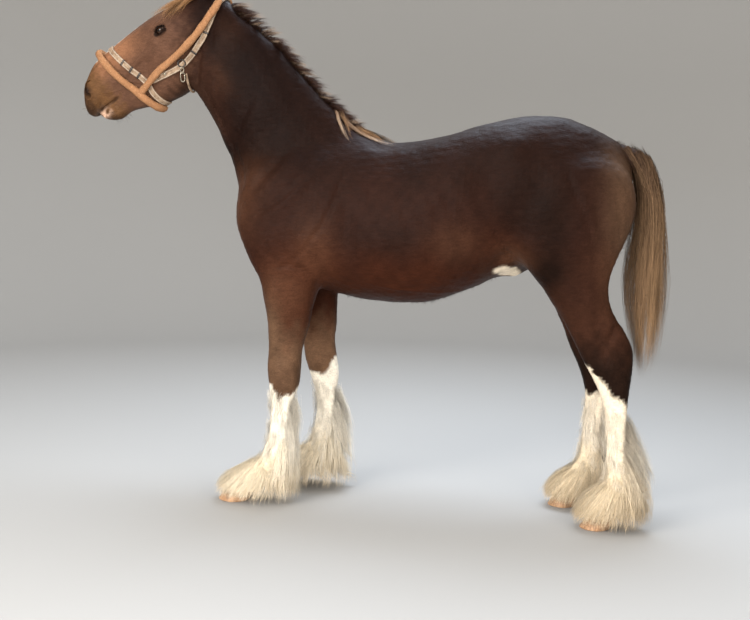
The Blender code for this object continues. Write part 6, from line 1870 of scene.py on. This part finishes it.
def whiskers(tree, draw):
    """Long single hairs on lips and chin."""
    count = WHISKERS
    side = np.where(draw.uniform(size=count) < 0.5, -1.0, 1.0)
    chin = draw.uniform(size=count) < 0.5
    s = np.where(chin, draw.uniform(0.60, 0.70, count), draw.uniform(0.66, 0.745, count))
    n = np.where(chin, draw.uniform(-0.20, -0.14, count), draw.uniform(-0.10, -0.05, count))
    guess = head_places(s, side * draw.uniform(0.02, 0.08, count), n)
    root, normal = (np.array(v) for v in zip(*[on_skin(tree, g, -0.001) for g in guess]))
    long = draw.uniform(0.012, 0.034, (count, 1))[:, None]
    t = np.linspace(0, 1, 6)[None, :, None]
    paths = root[:, None] + unit(normal + 0.4 * draw.normal(size=normal.shape))[:, None] * long * t
    paths = paths + np.array([0, 0, -0.35]) * long * t**2
    tone, thick = all_of(WHISKER_BROWN, count), np.full(count, 0.00028)
    return hairs("whiskers", paths, thick, np.roll(normal, 1, 1), tone, tone * 1.6, np.zeros((count, 2)))


# The halter, the eyes, the hooves and the studio

def laid_on(tree, points):
    """Each point dropped on the nearest skin, with the skin's direction there."""
    places, outward = [], []
    for point in points:
        near, normal, _, _ = tree.find_nearest(Vector(point))
        away = Vector(point) - near
        out = away.normalized() if away.length > 0.004 and away.dot(normal) > 0 else normal
        places.append(np.array(near))
        outward.append(np.array(out))
    return np.array(places), unit(blurred(np.array(outward), 1, False))


def both_sides(half):
    """The whole route of a strap from its left half, and whether it closes on itself."""
    mirrored = [(s, -y, n) for s, y, n in half if y]
    if half[0][1] == 0 and half[-1][1] != 0:
        return [head_places(*p) for p in half[::-1] + mirrored], False
    return [head_places(*p) for p in half + mirrored[::-1]], half[0][1] == 0


def blurred(values, rounds, closed):
    """Each row moved to the mean of its neighbours and itself, that many rounds."""
    for _ in range(rounds):
        before, after = np.roll(values, 1, 0), np.roll(values, -1, 0)
        mean = (before + 2 * values + after) / 4
        if not closed:
            mean[0], mean[-1] = values[0], values[-1]
        values = mean
    return values


def way_along(path, closed):
    """The unit direction of a path at each of its points."""
    return unit(np.roll(path, -1, 0) - np.roll(path, 1, 0) if closed else np.gradient(path, axis=0))


def strap_frame(tree, name, step=0.004):
    """A strap's middle line clear of the skin, its way across and its way out, step by step along it."""
    half, half_width, _ = STRAPS[name]
    route, closed = both_sides(half)
    middle, outward = laid_on(tree, smooth_route(route, step, closed))
    middle, outward = blurred(middle, 30, closed), unit(blurred(outward, 50, closed))
    across = unit(np.cross(way_along(middle, closed), outward))
    lack = np.zeros(len(middle))
    for share in (-1.0, 0.0, 1.0):
        for i, point in enumerate(middle + across * half_width * share):
            near, normal, _, _ = tree.find_nearest(Vector(point))
            lack[i] = max(lack[i], -(Vector(point) - near).dot(normal))
    lack = np.maximum(blurred(lack[:, None], 12, closed)[:, 0], 0.7 * lack)
    return middle + outward * blurred(lack[:, None], 4, closed), across, outward, closed


def strap_section(count, across_power=1.0, up_power=1.0):
    """A strap's section as an oval: across from -1 to 1, up from 0 to 1."""
    turn = circle(count)
    across, up = squarer(np.cos(turn), across_power), squarer(np.sin(turn), up_power)
    return np.stack([across, 0.5 + 0.5 * up], axis=1)


ROUNDED = strap_section(24, 0.35, 0.6)
OVAL = strap_section(20)


def cut_out(frame_of, first, last):
    """The part of a strap's frame between two of its steps."""
    return (*(values[first:last + 1] for values in frame_of[:3]), False)


def band(name, frame_of, half_width, low, high, section, grow=1.0):
    """A strap's mesh: its section (across from -1 to 1, up from 0 to 1) carried along the middle line, at a
    size that may change along it, with a UV map in metres: along it, and across it."""
    middle, across, outward, closed = frame_of
    wide, up = section.T
    grow = np.broadcast_to(grow, len(middle))[:, None]
    rings = (
        middle[:, None]
        + across[:, None] * (half_width * wide)[None, :, None] * grow[..., None]
        + outward[:, None] * (low + (high - low) * ((up - 0.5) * grow + 0.5))[..., None]
    )
    around = len(section)
    points, quads, fans = closed_tube(rings) if closed else tube(rings)
    obj = mesh_object(name, points, quads, fans)
    length = run_of(middle)
    length = np.append(length, length[-1] + (length[-1] - length[-2]))
    uv = np.zeros((len(obj.data.loops), 2), np.float32)
    row, column = np.divmod(np.arange(len(quads)), around)
    for corner, (down, right) in enumerate(((0, 0), (0, 1), (1, 1), (1, 0))):
        uv[corner:4 * len(quads):4, 0] = length[row + down]
        uv[corner:4 * len(quads):4, 1] = wide[(column + right) % around] * half_width
    obj.data.uv_layers.new(name="weave").data.foreach_set("uv", uv.ravel())
    return faced_out(obj)


def keeper(frame_of, at, half_width, low, high, length):
    """A loop round the strap at a share of its length: a short band, a tenth smaller at both its ends."""
    count = len(frame_of[0])
    step = np.linalg.norm(frame_of[0][1] - frame_of[0][0])
    half = max(1, int(round(length / 2 / step)))
    middle = int(round(at * (count - 1)))
    first, last = max(0, middle - half), min(count - 1, middle + half)
    grow = 1 - 0.10 * np.abs(np.linspace(-1, 1, last - first + 1)) ** 3
    return band("keeper", cut_out(frame_of, first, last), half_width, low, high, ROUNDED, grow)


def rod(path, radius, around=12, closed=False):
    """A round bar along a path: circles square to it."""
    path = np.asarray(path, float)
    ahead = way_along(path, closed)
    side = unit(np.cross(ahead, (0.31, 0.17, 0.93)))
    up = np.cross(ahead, side)
    turn = circle(around)[None, :, None]
    radius = np.broadcast_to(radius, len(path))[:, None, None]
    rings = path[:, None] + radius * (np.cos(turn) * side[:, None] + np.sin(turn) * up[:, None])
    return closed_tube(rings) if closed else tube(rings)


def loop_path(centre, one, two, half_one, half_two, count=48, power=2.0):
    """A closed superellipse about a centre, in the plane of two ways."""
    turn = circle(count)
    a = squarer(np.cos(turn), 2 / power) * half_one
    b = squarer(np.sin(turn), 2 / power) * half_two
    return centre + a[:, None] * one + b[:, None] * two


def dome(centre, out, radius, height, rows=8, around=24):
    """A rivet's head: rings on a quarter turn, from its edge to near its top, on a short foot."""
    out, side, up = square_to(out)
    turn = circle(around)[None, :, None]
    ring = np.cos(turn) * side + np.sin(turn) * up
    pitch = np.linspace(0, math.pi / 2 * 0.97, rows)[:, None, None]
    rings = centre + radius * np.cos(pitch) * ring + height * np.sin(pitch) * out
    return tube(np.concatenate([centre - 0.002 * out + radius * ring, rings]))


def share_at(frame_of, point):
    """How far along a strap, from 0 to 1, its middle line comes nearest to a point."""
    return np.argmin(np.linalg.norm(frame_of[0] - point, axis=1)) / (len(frame_of[0]) - 1)


def wool(name, frame_of, low, grow, draw):
    """Small curled tufts standing all over a fleece tube: each leaves its surface and bends round."""
    middle, across, outward, _ = frame_of
    count = WOOL_TUFTS[name]
    at = draw.uniform(0, len(middle) - 1.001, count)
    i, part = at.astype(int), (at % 1)[:, None]
    turn = draw.uniform(0, 2 * math.pi, count)
    line = middle[i] * (1 - part) + middle[i + 1] * part
    ahead = unit(middle[i + 1] - middle[i])
    centre = line + outward[i] * (low + low + FLEECE_THICK) / 2
    c, s = np.cos(turn)[:, None], np.sin(turn)[:, None]
    out = c * across[i] + s * outward[i]
    size = 0.92 * grow[i][:, None]
    root = centre + size * c * across[i] * FLEECE_HALF + size * s * outward[i] * FLEECE_THICK / 2
    aside = np.cos(draw.uniform(0, 2 * math.pi, count))[:, None] * ahead
    side = unit(aside + 0.8 * np.cross(out, ahead) * draw.normal(size=(count, 1)))
    long = draw.uniform(0.0045, 0.0085, (count, 1))
    bend = 2.6 * np.linspace(0, 1, 5)[None, :, None]
    curl = np.sin(bend) / 2.2 * out[:, None] + (1 - np.cos(bend)) / 2.6 * side[:, None]
    paths = root[:, None] + long[:, None] * curl
    shade = draw.uniform(0.75, 1.15, (count, 1))
    tone = mix(all_of(FLEECE, count), FLEECE_PALE, draw.uniform(0, 1, count) ** 2) * shade
    chart = np.stack([at / len(middle), turn / (2 * math.pi)], axis=1)
    thick = draw.uniform(0.0007, 0.0012, count)
    return hairs(name + "_wool", paths, thick, out, tone * 0.8, tone * 1.1, chart)


def webbing_finish():
    """Woven cotton tape, by its own UV in metres: a fine twill of two crossing sine waves, a line of
    stitches along each edge and grime in the weave."""
    look = Finish("woven webbing", Roughness=0.88, Specular_IOR_Level=0.2)
    split = look.node("SeparateXYZ")
    look.link(look.node("UVMap", uv_map="weave"), "UV", split, "Vector")
    along, wide = split.outputs["X"], split.outputs["Y"]
    one = look.math("SINE", look.math("MULTIPLY", look.math("ADD", along, wide), 2 * math.pi / 0.0026))
    two = look.math("SINE", look.math("MULTIPLY", look.math("SUBTRACT", along, wide), 2 * math.pi / 0.0017))
    weave = look.math("MULTIPLY_ADD", look.math("MULTIPLY", one, two), 0.5, 0.5)
    edge = look.math("ABSOLUTE", look.math("SUBTRACT", look.math("ABSOLUTE", wide), 0.0088))
    row = look.math("LESS_THAN", edge, 0.0009)
    dash = look.math("LESS_THAN", look.math("FRACT", look.math("MULTIPLY", along, 1 / 0.0050)), 0.62)
    stitch = look.math("MULTIPLY", row, dash)
    grime = look.levels(look.noise(look.places((1, 1, 1)), 55.0, 5.0), 0.35, 0.75, 0.0, 1.0)
    worn = look.blend(TAPE_PALE, TAPE_GRIME, grime)
    shade = look.times(worn, "Result", look.math("MULTIPLY_ADD", weave, 0.35, 0.75))
    look.use(look.blend(shade.outputs["Vector"], THREAD, stitch), "Result", "Base Color")
    bump = look.node("Bump", Strength=0.7, Distance=0.0008)
    look.links.new(look.math("ADD", weave, look.math("MULTIPLY", stitch, 1.5)), bump.inputs["Height"])
    return look.use(bump, "Normal", "Normal")


def metal_finish(name, tone, rough):
    """Dull metal with a fine uneven tarnish."""
    look = Finish(name, Metallic=1.0, Roughness=rough)
    spots = look.noise(look.places((1, 1, 1)), 240.0, 5.0)
    tarnish = look.levels(spots, 0.35, 0.65, 0, 1)
    look.use(look.blend([v * 0.55 for v in tone], tone, tarnish), "Result", "Base Color")
    return look.use(look.bump(spots, "Fac", 0.2, 0.0004), "Normal", "Normal")


def snap_hook(tree, top, level, down):
    """A snap under a cheek ring: an eye, a barrel below it, a long hook and the gate that shuts it."""
    neck, _ = on_skin(tree, top + down * 0.034, 0.0110)
    eye = rod(loop_path(neck - down * 0.008, level, down, 0.0070, 0.0105, 40), 0.0022, 12, True)
    body, _ = on_skin(tree, neck + down * 0.022, 0.0110)
    hook = rod(loop_path(body, level, down, 0.0085, 0.0190, 56, 2.6), 0.0026, 12, True)
    barrel = rod(np.linspace(neck, neck + down * 0.008, 6), np.array(SNAP_BARREL), 16)
    edge = body - level * 0.0085
    gate = rod(np.linspace(edge - down * 0.010, edge + down * 0.010, 5), 0.0034, 12)
    return joined([eye, hook, barrel, gate])


def cheek_metal(tree, dull, bright):
    """The rivets, ring and snap of each cheek, with their metals."""
    small = []
    for side in SIDES:
        for s, n in HALTER_RIVETS:
            at, out = on_skin(tree, head_places(s, side * 0.12, n), 0.0080)
            small.append((faced_out(mesh_object("rivet", *dome(at, out, 0.0062, 0.0034))), bright))
        top, out = on_skin(tree, head_places(RING_AT[0], side * 0.11, RING_AT[1]), 0.0105)
        hang = np.array([0.10, 0.0, -1.0])
        down = unit(hang - out * (hang @ out))
        level = np.cross(down, out)
        ring = rod(loop_path(top, level, down, 0.0150, 0.0150), 0.0030, 14, True)
        small.append((faced_out(mesh_object("ring", *ring)), dull))
        small.append((faced_out(mesh_object("snap", *snap_hook(tree, top, level, down))), bright))
    return small


def fleece_sizes(count, nose):
    """The fleece tube's size at each step: waves along it, and a bulge in the middle over the nose."""
    step = np.arange(count)
    bulge = nose * np.exp(-(((step / count - 0.5) / 0.16) ** 2))
    return 1 + bulge + 0.07 * np.sin(step * 0.21 + 2 * np.sin(step * 0.063))


def make_halters(tree, draw):
    """The webbing halter with its keepers, rivets, rings and snaps, and the fleece tubes over it."""
    tape, wool_look = webbing_finish(), coat_finish("curled fleece", (300, 300, 300), (0, 0, 0), 0.9, 0.3)
    dull, bright = metal_finish("dark iron", IRON, 0.45), metal_finish("worn brass", BRASS, 0.35)
    frames = {name: strap_frame(tree, name) for name in STRAPS}
    parts, small = {}, []
    for name, low in STRAP_OFF.items():
        _, half_width, thick = STRAPS[name]
        parts[name] = [band(name + "_tape", frames[name], half_width, low, low + thick, ROUNDED)]
        for s, n in STRAP_KEEPERS.get(name, ()):
            for side in SIDES:
                at = share_at(frames[name], on_skin(tree, head_places(s, side * 0.10, n), 0)[0])
                sizes = (half_width + 0.0022, low - 0.001, low + thick + 0.0028, 0.011)
                small.append((keeper(frames[name], at, *sizes), dull))
    small += cheek_metal(tree, dull, bright)
    ends = [int(round(share * (len(frames["webbing_throat"][0]) - 1))) for share in (0.10, 0.90)]
    throat = cut_out(frames["webbing_throat"], *ends)
    parts["webbing_throat"] = [band("throat_cord", throat, 0.0048, 0.0015, 0.0105, OVAL)]
    for name, nose in (("fleece_nose", 0.22), ("fleece_cheek", 0.0)):
        grow = fleece_sizes(len(frames[name][0]), nose)
        sizes = (FLEECE_HALF, FLEECE_OFF, FLEECE_OFF + FLEECE_THICK)
        core = band(name + "_tube", frames[name], *sizes, OVAL, grow)
        tint(core, all_of(FLEECE, len(core.data.vertices)))
        parts[name] = [core, wool(name, frames[name], FLEECE_OFF, grow, draw)]
    for name, pieces in parts.items():
        slot = "fleece" if "fleece" in name else "webbing"
        look = wool_look if slot == "fleece" else tape
        place(pieces[0], look, name, slot=slot)
        for piece in pieces[1:]:
            place(piece, look, slot=slot)
    for k, (piece, look) in enumerate(small):
        piece.name = f"{piece.name.split('.')[0]}_{k}"
        place(piece, look, slot="webbing")


def horn_finish():
    """Hoof horn: pale and pinkish, with streaks down it and soiled patches."""
    look = Finish("hoof horn", Roughness=0.42, Specular_IOR_Level=0.35)
    streaks = look.noise(look.places((170, 170, 12)), 1.0, 4.0)
    stains = look.noise(look.places((1, 1, 1)), 28.0, 4.0)
    horn = look.blend(HORN, HORN_DARK, look.levels(streaks, 0.35, 0.72, 0, 1))
    soiled = look.blend(horn.outputs["Result"], HORN_SOILED, look.levels(stains, 0.45, 0.75, 0, 0.7))
    look.use(soiled, "Result", "Base Color")
    return look.use(look.bump(streaks, "Fac", 0.25, 0.0006), "Normal", "Normal")


def make_eye(side):
    """An eyeball whose front bulges into a cornea, with colours kept by the distance from its axis."""
    along, up, out = eye_frame(side)
    centre = eye_centre(side)
    obj = round_ball("eye_ball_" + NAMES[side], centre, EYE_RADIUS - 0.0002, 60, 72, out)
    points = points_of(obj)
    d = points - centre
    a, b, c = d @ along, d @ up, d @ out
    spread = np.hypot(a, b)
    points += out * (0.0012 * np.exp(-((spread / 0.011) ** 2)) * (c > 0))[:, None]
    move_points(obj, points)
    pupil = (np.abs(a) / 0.0072) ** 3 + (np.abs(b) / 0.0042) ** 3
    colour = mix(all_of(IRIS, len(points)), PUPIL, 1 - ramp(pupil, 0.7, 1.2))
    turn = np.arctan2(b, a)
    streak = 1 + 0.25 * np.sin(turn * 31 + 2 * np.sin(turn * 7))
    colour = colour * np.where(pupil > 1, streak, 1)[:, None]
    colour = mix(colour, PUPIL, 0.8 * hump(spread, 0.0150, 0.0016))
    tint(obj, mix(colour, EYE_RIM, ramp(spread, 0.0160, 0.0180)))
    return obj


def make_hoof(name, sizes, y, shift):
    """Rounded in front, straighter at the heels, leaning back up to the coronet. Its radius swells in rings
    of growth, by 0.5 and 0.4 mm times two sines of the height, and draws in by 3 mm at the floor."""
    toe, half_length, half_width, toe_height, heel_height = sizes
    turn = circle(96)
    level = np.linspace(0, 1, 46)[:, None]
    heel = 1 - ramp(np.cos(turn), -0.35, 0.05)
    reach = (1 - 0.18 * heel) * np.cos(turn)
    height = level * (heel_height + (toe_height - heel_height) * (1 + np.cos(turn)) / 2)
    ring = 0.0005 * np.sin(height * 620 + 0.8 * np.sin(turn * 3)) + 0.0004 * np.sin(height * 260 + 1.3)
    edge = -0.0030 * np.exp(-((height / 0.003) ** 2))
    inward = 0.985 * (1 + (ring + edge) / half_width)
    middle = toe + half_length + shift
    x = middle - half_length * (1 - 0.17 * level) * reach * inward + TOE_SLOPE * height * 0.72
    side = half_width * (1 - 0.19 * level) * np.sin(turn) * (1 - 0.04 * heel) * inward
    rings = np.stack([x, y + side, height], axis=2)
    sole = rings[:1] * (0.55, 0.55, 1) + np.array([middle, y, 0.004]) * (0.45, 0.45, 1)
    return faced_out(mesh_object(name, *tube(np.concatenate([sole, rings]))))


def place(obj, look, *nodes, slot):
    """Gives a piece its material, moves it to the part's frame and lets it stand for the nodes."""
    look.on(obj)
    move_points(obj, settled(points_of(obj)))
    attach(obj, "root")
    if nodes:
        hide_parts(*nodes)


def floor_dish():
    """A round pale floor that curves up into a wall all round."""
    look = Finish("pale floor", Roughness=0.75, Base_Color=FLOOR_TONE)
    grain = look.noise(look.places((1, 1, 1)), 6.0, 6.0)
    look.use(look.bump(grain, "Fac", 0.05, 0.01), "Normal", "Normal")
    profile = [(0.4, 0.0), (2.0, 0.0), (FLOOR_REACH, 0.0)]
    for t in np.linspace(0, math.pi / 2, 20)[1:]:
        profile.append((FLOOR_REACH + FLOOR_CURVE * math.sin(t), FLOOR_CURVE * (1 - math.cos(t))))
    profile.append((FLOOR_REACH + FLOOR_CURVE, WALL_HEIGHT))
    far, high = np.array(profile).T[:, :, None]
    turn = circle(FLOOR_SIDES)[None, :]
    points = np.stack([far * np.cos(turn), far * np.sin(turn), high - FLOOR_BELOW + 0 * turn], axis=2)
    points = np.vstack([points.reshape(-1, 3), (0, 0, -FLOOR_BELOW)])
    j = np.arange(FLOOR_SIDES)
    fan = np.stack([np.full(FLOOR_SIDES, len(points) - 1), j, (j + 1) % FLOOR_SIDES], axis=1)
    floor = mesh_object("pale_floor", points, grid_faces(len(profile), FLOOR_SIDES, True)[:, ::-1], fan)
    look.on(floor)
    return floor


def studio():
    """The floor, soft light all round and four lamps, and the camera at the photograph's angle."""
    scene = bpy.context.scene
    scene.view_settings.view_transform = "Standard"
    floor_dish()
    world = bpy.data.worlds.new("soft light")
    scene.world = world
    world.use_nodes = True
    world.node_tree.nodes["Background"].inputs["Color"].default_value = WORLD_TONE
    world.node_tree.nodes["Background"].inputs["Strength"].default_value = WORLD_STRENGTH
    for name, (where, aim, width, power, tone) in LAMPS.items():
        light = bpy.data.lights.new(name, "AREA")
        light.color, light.energy, light.size = tone, power, width
        lamp = bpy.data.objects.new(name, light)
        lamp.location = where
        lamp.rotation_euler = (Vector(aim) - Vector(where)).to_track_quat("-Z", "Y").to_euler()
        lamp.visible_glossy = name in GLOSSY_LAMPS
        scene.collection.objects.link(lamp)
    camera = bpy.data.objects.new("camera", bpy.data.cameras.new("camera"))
    scene.collection.objects.link(camera)
    scene.camera = camera
    turn, pitch, roll = (math.radians(v) for v in CAMERA_TURNS)
    ahead = Vector((-math.sin(turn) * math.cos(pitch), math.cos(turn) * math.cos(pitch), -math.sin(pitch)))
    camera.location = (math.sin(turn) * CAMERA_AWAY + CENTRE_X, -math.cos(turn) * CAMERA_AWAY, CAMERA_HEIGHT)
    camera.rotation_mode = "QUATERNION"
    camera.rotation_quaternion = Quaternion(ahead, -roll) @ ahead.to_track_quat("-Z", "Y")
    camera.data.lens, camera.data.sensor_width = CAMERA_LENS, SENSOR_WIDTH
    camera.data.clip_start, camera.data.clip_end = 0.05, 60


def feet(tree, look, draw):
    """Places the white hair of all four legs, and gives back their hooves to be placed later."""
    hooves = {}
    for side, fore_shift, hind_shift in LEGS:
        for limb, sizes, y, rows, lines, shift, top in (
            ("fore", FORE_HOOF, FORE_HALF_TRACK, FORE_BOUNDS, FORE_LINES, fore_shift, FORE_TOP),
            ("hind", HIND_HOOF, HIND_HALF_TRACK, HIND_BOUNDS, HIND_LINES, hind_shift, HIND_TOP),
        ):
            hoof = make_hoof(f"{limb}_hoof_{NAMES[side]}", sizes, side * y, shift)
            hooves[limb, side] = hoof
            more = FAR_FEATHER_MORE if limb == "fore" and side > 0 else 0.0
            name, trees = f"{limb}_feather_{NAMES[side]}", [tree, tree_of(hoof)]
            for piece in feather(name, trees, rows, lines, side, y, shift, top, more, draw):
                place(piece, look, slot="white_hair")
    return hooves


def main():
    """The skin, then hair from the feet up to the head, short coat, halter, eyes and hooves."""
    studio()
    skin, tree = make_skin()
    tint(skin, coat_colour(points_of(skin)))
    coat = coat_finish("short bay coat", (110, 420, 420), (0, 0.5, 0), 0.44, 0.5)
    long_hair = coat_finish("long hair", (260, 260, 40), (0, 0, 0), 0.42, 0.25)
    coat_tufts = coat_finish("coat tufts", (110, 420, 420), (0, 0.5, 0), 0.5, 0.2)
    draw = np.random.default_rng(SEED)
    hooves = feet(tree, long_hair, draw)
    dock = faced_out(mesh_object("dock", *tube(loft(with_offset(DOCK)))))
    tint(dock, all_of(TAIL_DARK, len(dock.data.vertices)))
    place(tail_hair(dock, draw), long_hair, "tail", slot="tail_hair")
    for hair in (mane_hair, crest_fringe, withers_streaks, forelock_hair):
        place(hair(tree, draw), long_hair, slot="tail_hair")
    place(dock, coat, slot="bay_coat")
    for side in SIDES:
        shell, *cup = ear_shell(side)
        bpy.data.objects.remove(shell)
        place(ear_hair(side, *cup, draw), long_hair, slot="bay_coat")
        place(lashes(side, draw), long_hair, slot="bay_coat")
    place(whiskers(tree, draw), long_hair, slot="bay_coat")
    for piece in short_coat(skin, draw):
        place(piece, coat_tufts, slot="bay_coat")
    place(skin, coat, *FLESH, slot="bay_coat")
    make_halters(tree, draw)
    wet = Finish("eye", Roughness=0.03, Specular_IOR_Level=0.35)
    wet.use(wet.node("Attribute", attribute_name="tint"), "Color", "Base Color")
    horn = horn_finish()
    for side in SIDES:
        place(make_eye(side), wet, "eye_" + NAMES[side], slot="eye")
        for limb in ("fore", "hind"):
            place(hooves[limb, side], horn, f"hoof_{limb}_{NAMES[side]}", slot="hoof")


main()
